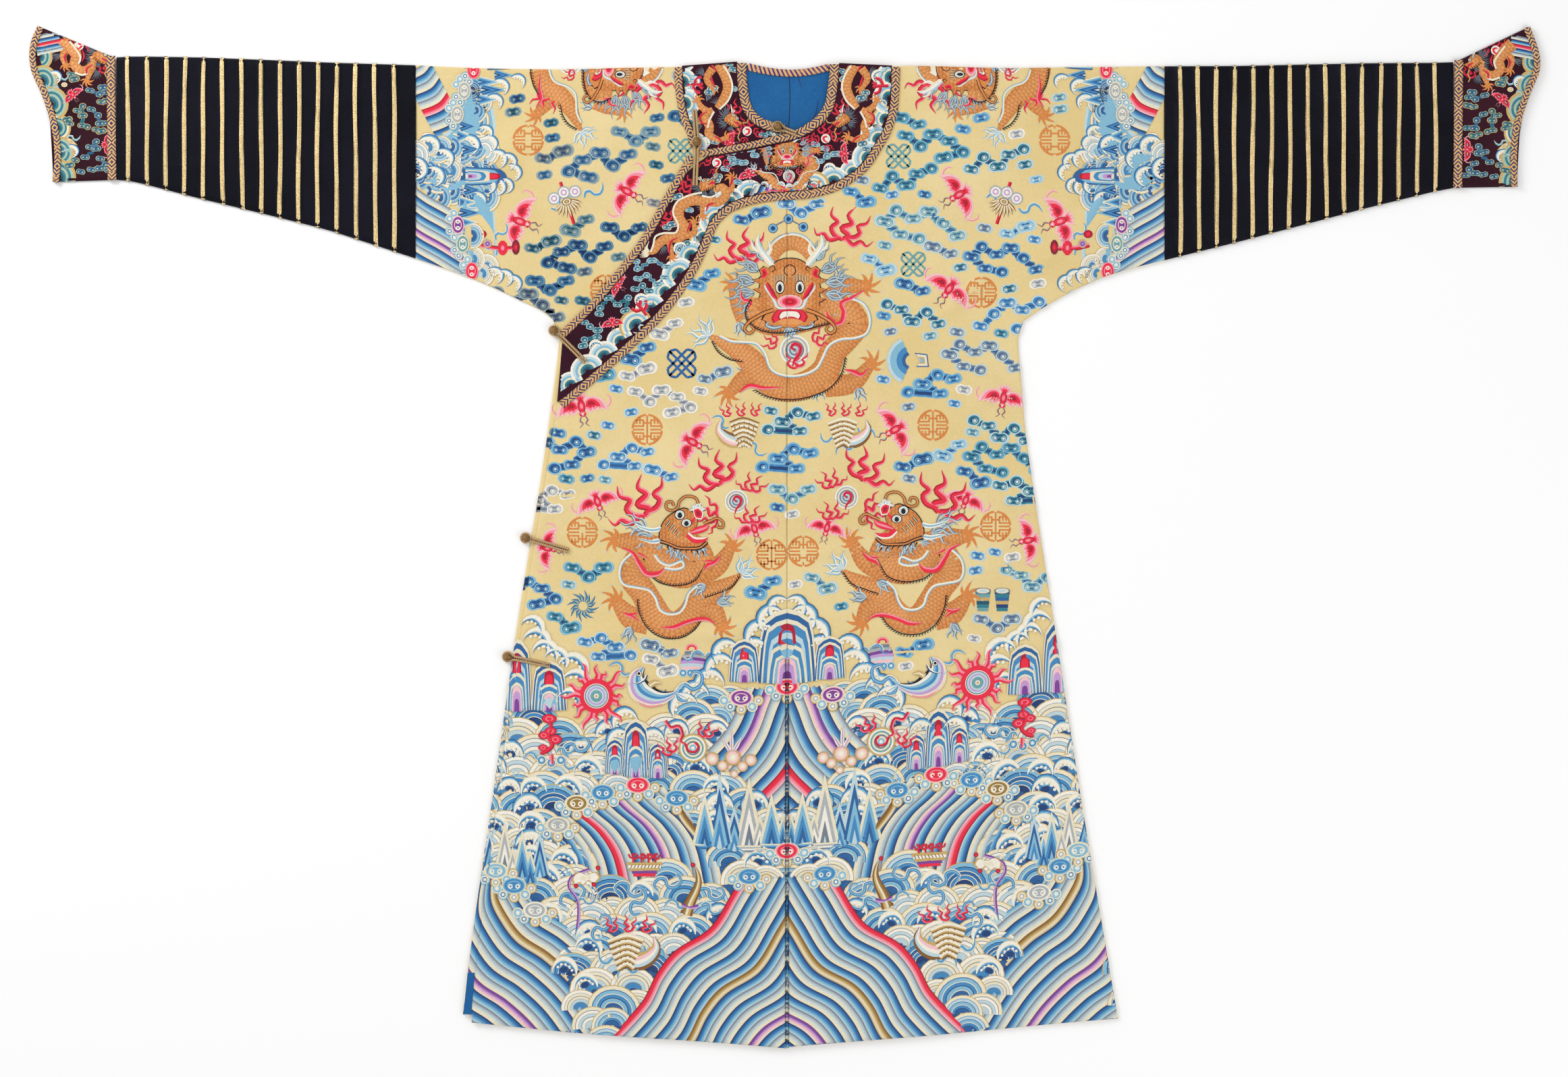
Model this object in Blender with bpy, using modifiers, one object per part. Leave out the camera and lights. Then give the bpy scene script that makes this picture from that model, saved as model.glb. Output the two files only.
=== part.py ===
"""Chinese dragon robe, laid flat with its front up, as solids.

The robe is cut from two lengths of yellow silk, each of which makes half of the back, goes over the
shoulder and comes down in front. The wearer's left half carries the large outer front, which crosses
over to the wearer's right and closes with five ball-and-loop fastenings. The wearer's right half has
the inner front, which lies under the outer one. Dark banded sleeves and flared horse-hoof cuffs are
sewn on, and a dark collar band edged with brocade binding runs round the neck and down the overlap.

Metres, +Z up. The robe lies on Z = 0 with its shoulders towards +Y and the wearer's right at -X.
The origin is under the middle of the robe's whole width and height, so the centre seam is a little
to its right.
"""

import math

import bmesh
import bpy
from mathutils import Vector
from mathutils.geometry import delaunay_2d_cdt

# ---------------------------------------------------------------- cloth and layers
SEAM_GAP = 0.0003
CLOTH = 0.0016
LINING = 0.0010
BAND_CLOTH = 0.0010
BINDING_CLOTH = 0.0012
BINDING_CROWN = 0.0008
BINDING_BULGE = 0.0005

BACK_Z = 0.0
INNER_Z = BACK_Z + CLOTH + SEAM_GAP
FRONT_Z = INNER_Z + CLOTH + SEAM_GAP
FRONT_TOP = FRONT_Z + CLOTH
INNER_TOP = INNER_Z + CLOTH

# ---------------------------------------------------------------- body, by x and y
CENTRE_X = 0.0034
SHOULDER_LEFT = (
    (-0.0622, 0.6880),
    (-0.0985, 0.6870),
    (-0.1455, 0.6830),
    (-0.2400, 0.6810),
    (-0.3340, 0.6790),
    (-0.4510, 0.6810),
    (-0.5356, 0.6850),
)
SHOULDER_RIGHT = (
    (0.0720, 0.6870),
    (0.1370, 0.6830),
    (0.1840, 0.6840),
    (0.3250, 0.6810),
    (0.4190, 0.6820),
    (0.5513, 0.6835),
)
UNDERARM_LEFT = (
    (-0.5356, 0.4045),
    (-0.4960, 0.3910),
    (-0.4490, 0.3735),
    (-0.4140, 0.3585),
    (-0.3865, 0.3450),
    (-0.3530, 0.3290),
    (-0.3365, 0.3160),
    (-0.3268, 0.2870),
)
UNDERARM_RIGHT = (
    (0.5513, 0.4020),
    (0.5110, 0.3920),
    (0.4600, 0.3765),
    (0.4240, 0.3605),
    (0.3955, 0.3450),
    (0.3690, 0.3290),
    (0.3465, 0.3135),
    (0.3386, 0.2870),
)
SIDE_RIGHT = (
    (0.3386, 0.2870),
    (0.3425, 0.2350),
    (0.3494, 0.1530),
    (0.3660, 0.0355),
    (0.3935, -0.1410),
    (0.4297, -0.3765),
    (0.4689, -0.6115),
    (0.4836, -0.6987),
)
SIDE_INNER = (
    (-0.3268, 0.2870),
    (-0.3317, 0.2430),
    (-0.3523, 0.0940),
    (-0.3856, -0.1115),
    (-0.4239, -0.3765),
    (-0.4523, -0.5715),
    (-0.4670, -0.6930),
)
SIDE_OUTER = (
    (-0.3268, 0.2705),
    (-0.3298, 0.1950),
    (-0.3739, -0.0785),
    (-0.4439, -0.5830),
    (-0.4542, -0.7046),
)
HEM_LEFT = ((-0.4542, -0.7046), (-0.2808, -0.7213), (-0.0926, -0.7340), (0.0020, -0.7419))
HEM_RIGHT = ((0.0048, -0.7400), (0.0250, -0.7379), (0.2132, -0.7232), (0.4013, -0.7056), (0.4836, -0.6987))
INNER_HEM_Y = -0.7160
BACK_HEM_Y = -0.7380
NECK_SEAM_Y = 0.5835
INNER_FRONT_EDGE_X = -0.0006
LINING_END_Y = 0.5560
VENT_TOP_Y = -0.1700
VENT_GAP = 0.0028
BACK_NECK = ((-0.0560, 0.6860), (-0.0269, 0.6800), (0.0034, 0.6770), (0.0367, 0.6790), (0.0640, 0.6850))
HEM_FACING = ((-0.4600, -0.6320), (-0.4662, -0.6922), (-0.4545, -0.6922), (-0.4495, -0.6320))

# Soft folds that stand up from the cloth: centre, heading in degrees from +X, length, width, rise.
FRONT_FOLDS = (
    # x, y, heading, length, width, rise
    (-0.190, 0.050, 62, 0.34, 0.050, 0.0038),
    (-0.250, -0.150, 8, 0.22, 0.032, 0.0030),
    (-0.140, -0.165, -14, 0.20, 0.028, 0.0026),
    (-0.300, 0.120, 70, 0.18, 0.040, 0.0030),
    (-0.090, -0.420, 96, 0.44, 0.060, 0.0040),
    (-0.270, -0.520, 102, 0.36, 0.055, 0.0038),
    (-0.380, -0.380, 98, 0.34, 0.045, 0.0030),
    (0.070, 0.210, 84, 0.30, 0.055, 0.0034),
    (0.190, 0.090, 112, 0.40, 0.055, 0.0042),
    (0.270, 0.260, 132, 0.26, 0.045, 0.0034),
    (0.110, -0.430, 84, 0.46, 0.060, 0.0040),
    (0.290, -0.380, 76, 0.44, 0.060, 0.0042),
    (0.200, -0.120, 20, 0.24, 0.035, 0.0026),
    (0.400, 0.560, 158, 0.26, 0.045, 0.0034),
    (0.420, 0.440, 24, 0.22, 0.040, 0.0030),
)
SHOULDER_FOLDS = (
    (-0.400, 0.560, 20, 0.26, 0.045, 0.0034),
    (-0.420, 0.440, 156, 0.22, 0.040, 0.0030),
    (-0.290, 0.520, 60, 0.20, 0.040, 0.0024),
)
SETTLE_WIDTH = 0.14
SHEET_STEP = 0.0300

# ---------------------------------------------------------------- collar, by the middle of each binding
NECK_RIGHT = (
    (0.0720, 0.6860),
    (0.0715, 0.6723),
    (0.0681, 0.6430),
    (0.0632, 0.6233),
    (0.0495, 0.6047),
    (0.0367, 0.5949),
    (0.0171, 0.5846),
    (-0.0024, 0.5794),
    (-0.0416, 0.5704),
    (-0.0808, 0.5627),
    (-0.1230, 0.5560),
)
NECK_CORNER = 6
NECK_LEFT = (
    (-0.0622, 0.6880),
    (-0.0622, 0.6723),
    (-0.0593, 0.6430),
    (-0.0544, 0.6233),
    (-0.0416, 0.6066),
    (-0.0221, 0.5968),
    (-0.0010, 0.5929),
)
NECK_BACK = ((-0.0535, 0.6827), (-0.0269, 0.6767), (0.0073, 0.6733), (0.0367, 0.6757), (0.0640, 0.6818))
OVERLAP_EDGE = (
    (-0.1345, 0.5515),
    (-0.1504, 0.5253),
    (-0.1730, 0.4861),
    (-0.1940, 0.4469),
    (-0.2205, 0.4077),
    (-0.2519, 0.3685),
    (-0.2857, 0.3293),
    (-0.3240, 0.2920),
)
COLLAR_EDGE = (
    (0.1612, 0.6821),
    (0.1602, 0.6429),
    (0.1573, 0.6164),
    (0.1485, 0.5890),
    (0.1348, 0.5645),
    (0.1210, 0.5429),
    (0.1034, 0.5253),
    (0.0760, 0.5086),
    (0.0367, 0.4978),
    (-0.0024, 0.4944),
    (-0.0416, 0.4900),
    (-0.0808, 0.4763),
    (-0.1004, 0.4577),
    (-0.1142, 0.4273),
    (-0.1328, 0.3881),
    (-0.1587, 0.3489),
    (-0.1916, 0.3097),
    (-0.2327, 0.2705),
    (-0.2768, 0.2313),
    (-0.3240, 0.1915),
)
SHOULDER_EDGE = (
    (-0.1539, 0.6820),
    (-0.1534, 0.6527),
    (-0.1494, 0.6233),
    (-0.1436, 0.6017),
    (-0.1357, 0.5841),
    (-0.1318, 0.5670),
)
NECK_WIDTH = 0.0130
DIAGONAL_WIDTH = 0.0085
EDGE_WIDTH = 0.0110
SHOULDER_EDGE_WIDTH = 0.0100
BACK_NECK_WIDTH = 0.0095
UNDER_BINDING = 0.0030
COLLAR_LEFT_END_X = -0.0150

# ---------------------------------------------------------------- sleeves and cuffs
SLEEVE_CLOTH = 0.0015
SLEEVE_HEIGHT = 0.0046
SLEEVE_PUFF = 0.0016
BAND_COUNT = 15
BAND_WIDTH = 0.0048
BAND_RISE = 0.0009
BAND_BEVEL = 0.0005
# label: sign of x, the innermost band's middle, the step between bands, and stations out from the
# body seam as (x, upper fold's y, lower seam's y)
SLEEVES = {
    "left": (
        -1,
        0.5669,
        0.0276,
        (
            (0.5359, 0.6850, 0.4045),
            (0.6630, 0.6890, 0.4460),
            (0.7571, 0.6930, 0.4695),
            (0.8511, 0.6965, 0.4920),
            (0.9452, 0.6980, 0.5165),
            (0.9695, 0.6965, 0.5185),
        ),
    ),
    "right": (
        1,
        0.5738,
        0.0264,
        (
            (0.5516, 0.6835, 0.4020),
            (0.6581, 0.6840, 0.4285),
            (0.7521, 0.6860, 0.4530),
            (0.8462, 0.6880, 0.4780),
            (0.9403, 0.6885, 0.5010),
            (0.9700, 0.6895, 0.5067),
        ),
    ),
}
CUFF_HEIGHT = 0.0042
CUFF_STEPS = 5
CUFF_JOINT_WIDTH = 0.0120
CUFF_EDGE_WIDTH = 0.0085
# label: sign of x, the joint's two ends, and the flared edge from the lower seam to the tip
CUFFS = {
    "left": (
        -1,
        ((0.9698, 0.5185), (0.9720, 0.6960)),
        (
            (1.0618, 0.5155),
            (1.0589, 0.5450),
            (1.0609, 0.5840),
            (1.0677, 0.6155),
            (1.0785, 0.6470),
            (1.0922, 0.6780),
            (1.0952, 0.6980),
            (1.0932, 0.7175),
            (1.0834, 0.7419),
        ),
    ),
    "right": (
        1,
        ((0.9703, 0.5070), (0.9725, 0.6895)),
        (
            (1.0628, 0.5085),
            (1.0618, 0.5450),
            (1.0638, 0.5840),
            (1.0706, 0.6155),
            (1.0814, 0.6470),
            (1.0942, 0.6780),
            (1.0952, 0.6940),
            (1.0922, 0.7095),
            (1.0804, 0.7410),
        ),
    ),
}

# ---------------------------------------------------------------- fastenings
BALL_RADIUS = 0.0066
CORD_RADIUS = 0.0019
LOOP_SPREAD = 0.0022
LOOP_POINTS = 6
# name: ball's centre, and what it lies on
BALLS = {
    "neck": ((-0.0103, 0.5955), "inner_binding"),
    "breast": ((-0.1274, 0.5733), "inner_binding"),
    "underarm": ((-0.3347, 0.2999), "inner_cloth"),
    "waist": ((-0.3760, -0.0010), "surface"),
    "hip": ((-0.4020, -0.1735), "surface"),
}
# name: the ball it holds, its sewn end, and what it lies on beside the ball and at that end
LOOPS = {
    "loop_neck": ("neck", (0.0165, 0.5850), "outer_binding", "outer_binding"),
    "loop_breast": ("breast", (-0.1299, 0.5096), "outer_binding", "outer_band"),
    "tail_breast": ("breast", (-0.1308, 0.6203), "inner_binding", "inner_binding"),
    "loop_underarm": ("underarm", (-0.2886, 0.2538), "outer_binding", "outer_band"),
    "loop_waist": ("waist", (-0.3131, -0.0196), "outer_cloth", "outer_cloth"),
    "loop_hip": ("hip", (-0.3401, -0.1862), "outer_cloth", "outer_cloth"),
}

# ---------------------------------------------------------------- colours
# name: linear RGB, roughness, metallic
FINISHES = {
    "yellow_silk": ((0.72, 0.56, 0.20), 0.45, 0.0),
    "dark_satin": ((0.008, 0.009, 0.018), 0.40, 0.0),
    "aubergine_satin": ((0.030, 0.006, 0.014), 0.45, 0.0),
    "gold_brocade": ((0.50, 0.28, 0.09), 0.50, 0.1),
    "blue_silk": ((0.012, 0.085, 0.28), 0.55, 0.0),
    "gilt_cord": ((0.30, 0.18, 0.06), 0.45, 0.2),
}

robe = bpy.data.collections.new("dragon_robe")
materials = {}


# ---------------------------------------------------------------- tools
def clear_scene():
    for thing in list(bpy.data.objects):
        bpy.data.objects.remove(thing, do_unlink=True)
    bpy.context.scene.collection.children.link(robe)


def finish(name):
    """The Principled material of that name, made the first time it is asked for."""
    if name not in materials:
        colour, roughness, metallic = FINISHES[name]
        material = bpy.data.materials.new(name)
        material.use_nodes = True
        shader = material.node_tree.nodes["Principled BSDF"]
        shader.inputs["Base Color"].default_value = (*colour, 1.0)
        shader.inputs["Roughness"].default_value = roughness
        shader.inputs["Metallic"].default_value = metallic
        material.diffuse_color = (*colour, 1.0)
        materials[name] = material
    return materials[name]


def place(name, mesh, material):
    piece = bpy.data.objects.new(name, mesh)
    piece.data.materials.append(finish(material))
    robe.objects.link(piece)
    return piece


def thicken(piece, thickness):
    """Gives an open sheet its wall, on the side that its faces point to."""
    wall = piece.modifiers.new("wall", "SOLIDIFY")
    wall.thickness = thickness
    wall.offset = 1.0
    wall.use_even_offset = False
    return piece


def curve_through(points, step):
    """Points along a smooth line through the given ones, about a step apart, ends included."""
    rows = [Vector(p) for p in points]
    slopes = []
    for i, row in enumerate(rows):
        before, after = rows[max(i - 1, 0)], rows[min(i + 1, len(rows) - 1)]
        slopes.append((after - before) / ((row - before).length + (after - row).length))
    found = []
    for i, (start, end) in enumerate(zip(rows, rows[1:])):
        reach = (end - start).length
        pieces = max(1, round(reach / step))
        for j in range(pieces):
            t = j / pieces
            spot = start.lerp(end, smooth_step(t))
            spot += reach * t * (1 - t) * ((1 - t) * slopes[i] - t * slopes[i + 1])
            found.append(spot)
    return found + [rows[-1]]


def straight_through(points, step):
    """Points along straight runs between the given ones, about a step apart, ends included."""
    rows = [Vector(p) for p in points]
    found = []
    for start, end in zip(rows, rows[1:]):
        pieces = max(1, round((end - start).length / step))
        found += [start.lerp(end, i / pieces) for i in range(pieces)]
    return found + [rows[-1]]


def beside(path, offset):
    """The path moved sideways, to its left as it runs where the offset is above 0."""
    moved = []
    for i, point in enumerate(path):
        along = (path[min(i + 1, len(path) - 1)] - path[max(i - 1, 0)]).normalized()
        moved.append(point + offset * Vector((-along.y, along.x)))
    return moved


def smooth_step(t):
    t = min(1.0, max(0.0, t))
    return t * t * (3 - 2 * t)


def y_on(points, x):
    """The y of a run of points that goes one way in x."""
    rows = sorted(points)
    if x <= rows[0][0]:
        return rows[0][1]
    for (x0, y0), (x1, y1) in zip(rows, rows[1:]):
        if x <= x1:
            return y0 + (y1 - y0) * (x - x0) / (x1 - x0)
    return rows[-1][1]


def inside(point, outline):
    """True where the point is within the closed outline."""
    x, y = point
    found = False
    for (x0, y0), (x1, y1) in zip(outline, outline[1:] + outline[:1]):
        if (y0 > y) != (y1 > y) and x < x0 + (x1 - x0) * (y - y0) / (y1 - y0):
            found = not found
    return found


def clearance(point, outline):
    """The distance from a point to the nearest side of the outline."""
    nearest = math.inf
    for start, end in zip(outline, outline[1:] + outline[:1]):
        side = end - start
        t = min(1.0, max(0.0, (point - start).dot(side) / max(side.length_squared, 1e-12)))
        nearest = min(nearest, (point - start - t * side).length)
    return nearest


def merged(edges):
    """One closed outline from edges that follow each other, without the shared ends."""
    outline = []
    for edge in edges:
        for point in edge:
            if not outline or (Vector(point) - outline[-1]).length > 1e-6:
                outline.append(Vector(point))
    if (outline[0] - outline[-1]).length < 1e-6:
        outline.pop()
    return outline


def cut_sheet(name, outline, under, spacing, thickness, material):
    """A piece of cloth cut to the outline, whose lower face follows under(x, y)."""
    lattice = []
    if spacing:
        low_x, high_x = min(p.x for p in outline), max(p.x for p in outline)
        low_y, high_y = min(p.y for p in outline), max(p.y for p in outline)
        for i in range(math.ceil((high_x - low_x) / spacing)):
            for j in range(math.ceil((high_y - low_y) / spacing)):
                stagger = spacing / 2 if j % 2 else 0.0
                point = Vector((low_x + i * spacing + stagger, low_y + (j + 0.5) * spacing))
                if inside(point, outline) and clearance(point, outline) > 0.45 * spacing:
                    lattice.append(point)
    points = outline + lattice
    sides = [(i, (i + 1) % len(outline)) for i in range(len(outline))]
    corners, _, faces, *_ = delaunay_2d_cdt(points, sides, [], 1, 1e-6)
    mesh = bpy.data.meshes.new(name)
    mesh.from_pydata([(p.x, p.y, under(p.x, p.y)) for p in corners], [], faces)
    mesh.shade_smooth()
    return thicken(place(name, mesh, material), thickness)


def binding(name, path, width, base_z, end_width=None):
    """A folded strip of brocade along the path, arched between its two edges."""
    sheet = bmesh.new()
    rows = []
    for i, point in enumerate(path):
        share = smooth_step(2 * i / (len(path) - 1) - 0.5)
        half = (width + ((end_width or width) - width) * share) / 2
        along = (path[min(i + 1, len(path) - 1)] - path[max(i - 1, 0)]).normalized()
        across = Vector((-along.y, along.x))
        row = []
        for side, rise in ((1, 0.0), (0.5, BINDING_CROWN), (-0.5, BINDING_CROWN), (-1, 0.0)):
            spot = point + side * half * across
            row.append(sheet.verts.new((spot.x, spot.y, base_z + rise)))
        rows.append(row)
    for near, far in zip(rows, rows[1:]):
        for left, right, far_right, far_left in zip(near, near[1:], far[1:], far):
            sheet.faces.new((left, right, far_right, far_left))
    mesh = bpy.data.meshes.new(name)
    sheet.to_mesh(mesh)
    sheet.free()
    mesh.shade_smooth()
    return thicken(place(name, mesh, "gold_brocade"), BINDING_CLOTH)


def folds(x, y, table):
    """How far the soft folds lift the cloth at a point."""
    rise = 0.0
    for centre_x, centre_y, heading, length, width, height in table:
        turn = math.radians(heading)
        dx, dy = x - centre_x, y - centre_y
        along = dx * math.cos(turn) + dy * math.sin(turn)
        across = dy * math.cos(turn) - dx * math.sin(turn)
        taper = max(0.0, 1 - (2 * along / length) ** 2)
        rise += height * taper * taper * math.exp(-((1.6 * across / width) ** 2))
    return rise


# ---------------------------------------------------------------- body
def right_side_x(y):
    """Where the cloth of the right front comes down to the back: the side seam, or the armhole."""
    return y_on([(point[1], point[0]) for point in SIDE_RIGHT], y)


def front_under(x, y):
    """The outer front's lower face: level over the overlap, down to the back at the right side."""
    high = smooth_step((right_side_x(y) - x) / SETTLE_WIDTH)
    return INNER_Z + (FRONT_Z - INNER_Z) * high + folds(x, y, FRONT_FOLDS)


def inner_under(x, y):
    return INNER_Z + folds(x, y, SHOULDER_FOLDS)


def flat_at(z):
    return lambda x, y: z


def build_back():
    """Two halves with a seam up the middle, face down on the surface."""
    left_x, right_x = CENTRE_X - SEAM_GAP / 2, CENTRE_X + SEAM_GAP / 2
    middle = BACK_NECK[2][1]
    left = merged([
        [(left_x, middle), *BACK_NECK[1::-1]],
        curve_through(SHOULDER_LEFT, 0.2),
        curve_through(UNDERARM_LEFT, 0.03),
        curve_through(SIDE_INNER, 0.4),
        [(left_x, BACK_HEM_Y)],
    ])
    cut_sheet("back_left", left, flat_at(BACK_Z), 0, CLOTH, "yellow_silk")
    right = merged([
        [(right_x, BACK_HEM_Y)],
        curve_through(SIDE_RIGHT, 0.4)[::-1],
        curve_through(UNDERARM_RIGHT, 0.03)[::-1],
        curve_through(SHOULDER_RIGHT, 0.2)[::-1],
        [*BACK_NECK[:2:-1], (right_x, middle)],
    ])
    cut_sheet("back_right", right, flat_at(BACK_Z), 0, CLOTH, "yellow_silk")


def build_inner_front():
    """The wearer's right half: shoulder, upper sleeve, and the inner front down to the hem."""
    outline = merged([
        [(INNER_FRONT_EDGE_X, INNER_HEM_Y), (INNER_FRONT_EDGE_X, NECK_LEFT[-1][1])],
        curve_through(NECK_LEFT, 0.015)[::-1],
        curve_through(SHOULDER_LEFT, 0.05),
        curve_through(UNDERARM_LEFT, 0.025),
        curve_through(SIDE_INNER, 0.12),
    ])
    cut_sheet("inner_front", outline, inner_under, SHEET_STEP, CLOTH, "yellow_silk")
    cut_sheet("inner_hem_facing", merged([HEM_FACING]), flat_at(INNER_TOP + SEAM_GAP), 0, LINING, "blue_silk")


def build_outer_front():
    """The outer front, in two halves with a centre seam that opens as a vent below the waist."""
    left_x, right_x = CENTRE_X - SEAM_GAP / 2, CENTRE_X + SEAM_GAP / 2
    left_vent, right_vent = CENTRE_X - VENT_GAP / 2, CENTRE_X + VENT_GAP / 2
    top = curve_through(NECK_RIGHT[NECK_CORNER:], 0.03) + curve_through(OVERLAP_EDGE, 0.03)
    left = merged([
        [(left_x, NECK_SEAM_Y)],
        [point for point in beside(top, -UNDER_BINDING) if point.x < left_x - 0.001],
        curve_through(SIDE_OUTER, 0.05),
        curve_through(HEM_LEFT, 0.05)[:-1],
        straight_through([(left_vent, HEM_LEFT[-1][1]), (left_vent, VENT_TOP_Y)], 0.05),
        straight_through([(left_x, VENT_TOP_Y + 0.01), (left_x, NECK_SEAM_Y)], 0.05),
    ])
    cut_sheet("outer_front_left", left, front_under, SHEET_STEP, CLOTH, "yellow_silk")
    right = merged([
        straight_through([(right_x, NECK_SEAM_Y), (right_x, VENT_TOP_Y + 0.01)], 0.05),
        straight_through([(right_vent, VENT_TOP_Y), (right_vent, HEM_RIGHT[0][1])], 0.05),
        curve_through(HEM_RIGHT, 0.05)[1:],
        curve_through(SIDE_RIGHT, 0.05)[::-1],
        curve_through(UNDERARM_RIGHT, 0.025)[::-1],
        curve_through(SHOULDER_RIGHT, 0.04)[::-1],
        curve_through(NECK_RIGHT[:NECK_CORNER + 1], 0.015),
    ])
    cut_sheet("outer_front_right", right, front_under, SHEET_STEP, CLOTH, "yellow_silk")


def build_neck_lining():
    """The blue lining of the back, which shows through the neck."""
    clear = 2 * SEAM_GAP
    outline = merged([
        beside(curve_through(NECK_LEFT, 0.015), clear),
        [(INNER_FRONT_EDGE_X + clear, y) for y in (NECK_LEFT[-1][1] + clear, LINING_END_Y)],
        [(0.0750, LINING_END_Y), (0.0790, 0.6830)],
        BACK_NECK[::-1],
    ])
    cut_sheet("neck_lining", outline, flat_at(INNER_Z), 0, LINING, "blue_silk")


# ---------------------------------------------------------------- collar
def build_collar():
    """The dark collar band, with the brocade that binds its edges beside it."""
    front_z, inner_z = FRONT_TOP + SEAM_GAP, INNER_TOP + SEAM_GAP
    neck_right = curve_through(NECK_RIGHT, 0.012)
    overlap = curve_through(OVERLAP_EDGE, 0.025)
    edge = curve_through(COLLAR_EDGE, 0.022)
    neck_left = curve_through(NECK_LEFT, 0.012)
    shoulder_edge = curve_through(SHOULDER_EDGE, 0.02)
    binding("neck_binding_right", neck_right, NECK_WIDTH, front_z, DIAGONAL_WIDTH)
    binding("overlap_binding", overlap, SHOULDER_EDGE_WIDTH, front_z)
    binding("collar_edge_binding", edge, EDGE_WIDTH, front_z)
    binding("neck_binding_left", neck_left, NECK_WIDTH, inner_z)
    binding("shoulder_edge_binding", shoulder_edge, SHOULDER_EDGE_WIDTH, inner_z)
    back_z = INNER_Z + LINING + SEAM_GAP
    binding("neck_binding_back", curve_through(NECK_BACK, 0.012), BACK_NECK_WIDTH, back_z)

    clear = SEAM_GAP + BINDING_BULGE
    flap = merged([
        beside(neck_right, clear + NECK_WIDTH / 2)[:-1],
        beside(overlap, clear + SHOULDER_EDGE_WIDTH / 2)[1:],
        beside(edge, -clear - EDGE_WIDTH / 2)[::-1],
    ])
    cut_sheet("collar_flap", flap[::-1], flat_at(front_z), 0, BAND_CLOTH, "aubergine_satin")
    under_flap = beside(neck_right, -UNDER_BINDING - 2 * SEAM_GAP)
    left = merged([
        beside(neck_left, -clear - NECK_WIDTH / 2),
        [point for point in under_flap if SHOULDER_EDGE[-1][0] < point.x < COLLAR_LEFT_END_X],
        beside(shoulder_edge, clear + SHOULDER_EDGE_WIDTH / 2)[::-1],
    ])
    cut_sheet("collar_left", left[::-1], flat_at(inner_z), 0, BAND_CLOTH, "aubergine_satin")


# ---------------------------------------------------------------- sleeves and cuffs
def flat_tube_ring(line, height, inset, rise, puff):
    """A flattened loop round the line: flat below, rounded at both edges, slightly full on top.

    line runs from the lower seam to the upper fold. inset moves the loop into the wall."""
    ring = []
    last = len(line) - 1

    def at(share):
        spot = share * last
        i = min(int(spot), last - 1)
        return line[i].lerp(line[i + 1], spot - i)

    start, end = line[0], line[-1]
    reach = (end - start).length
    edge = (height / 2 - inset) / reach
    first, final = inset / reach, 1 - inset / reach
    low, high = inset, height - inset
    middle = (low + high) / 2
    grow = rise / reach
    for share in (first + edge, 0.35, 0.65, final - edge):
        spot = at(share)
        ring.append((spot.x, spot.y, low))
    spot = at(min(1.0, final)) + grow * (end - start)
    ring.append((spot.x, spot.y, middle))
    for share in (final - edge, 0.8, 0.6, 0.4, 0.2, first + edge):
        spot = at(share)
        full = puff * math.sin(math.pi * min(1.0, max(0.0, share)))
        ring.append((spot.x, spot.y, high + full + rise))
    spot = at(max(0.0, first)) - grow * (end - start)
    ring.append((spot.x, spot.y, middle))
    return ring


def build_tube(name, outer, inner, material):
    """An open tube between outer and inner loops, closed at both ends by its own thickness."""
    wall = bmesh.new()
    skins = []
    for rings in (outer, inner):
        skins.append([[wall.verts.new(p) for p in ring] for ring in rings])
    for rings in skins:
        for near, far in zip(rings, rings[1:]):
            for i in range(len(near)):
                j = (i + 1) % len(near)
                wall.faces.new((near[i], near[j], far[j], far[i]))
    for end in (0, -1):
        out_ring, in_ring = skins[0][end], skins[1][end]
        for i in range(len(out_ring)):
            j = (i + 1) % len(out_ring)
            wall.faces.new((out_ring[i], out_ring[j], in_ring[j], in_ring[i]))
    bmesh.ops.recalc_face_normals(wall, faces=wall.faces)
    mesh = bpy.data.meshes.new(name)
    wall.to_mesh(mesh)
    wall.free()
    mesh.shade_smooth()
    mesh.set_sharp_from_angle(angle=math.radians(40))
    return place(name, mesh, material)


def sleeve_line(side, stations, x):
    """The straight line across a sleeve at x, from its lower seam to the fold on top."""
    fold = y_on([(row[0], row[1]) for row in stations], x)
    seam = y_on([(row[0], row[2]) for row in stations], x)
    return [Vector((side * x, seam)), Vector((side * x, fold))]


def build_sleeve(label):
    """The dark outer sleeve: a flattened tube with fifteen raised bands of couched gold."""
    side, first_band, band_step, stations = SLEEVES[label]
    places = [(stations[0][0], 0.0)]
    for i in range(BAND_COUNT):
        x = first_band + i * band_step
        half = BAND_WIDTH / 2
        places += [(x - half - BAND_BEVEL, 0.0), (x - half, BAND_RISE)]
        places += [(x + half, BAND_RISE), (x + half + BAND_BEVEL, 0.0)]
    places = [p for p in places if p[0] < stations[-1][0] - 0.001]
    places.append((stations[-1][0], 0.0))
    outer = [
        flat_tube_ring(sleeve_line(side, stations, x), SLEEVE_HEIGHT, 0.0, rise, SLEEVE_PUFF)
        for x, rise in places
    ]
    inner = [
        flat_tube_ring(sleeve_line(side, stations, row[0]), SLEEVE_HEIGHT, SLEEVE_CLOTH, 0.0, SLEEVE_PUFF)
        for row in stations
    ]
    build_tube(f"sleeve_{label}", outer, inner, "dark_satin")


def cuff_line(side, joint, edge, share, across):
    """A line across the cuff, from the joint at share 0 to the flared edge at share 1.

    across moves it outwards by that length."""
    line = []
    for i, rim in enumerate(edge):
        low_high = i / (len(edge) - 1)
        near = Vector(joint[0]).lerp(Vector(joint[1]), low_high)
        far = Vector(rim)
        spot = near.lerp(far, share) + across * (far - near).normalized()
        line.append(Vector((side * spot.x, spot.y)))
    return line


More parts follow.
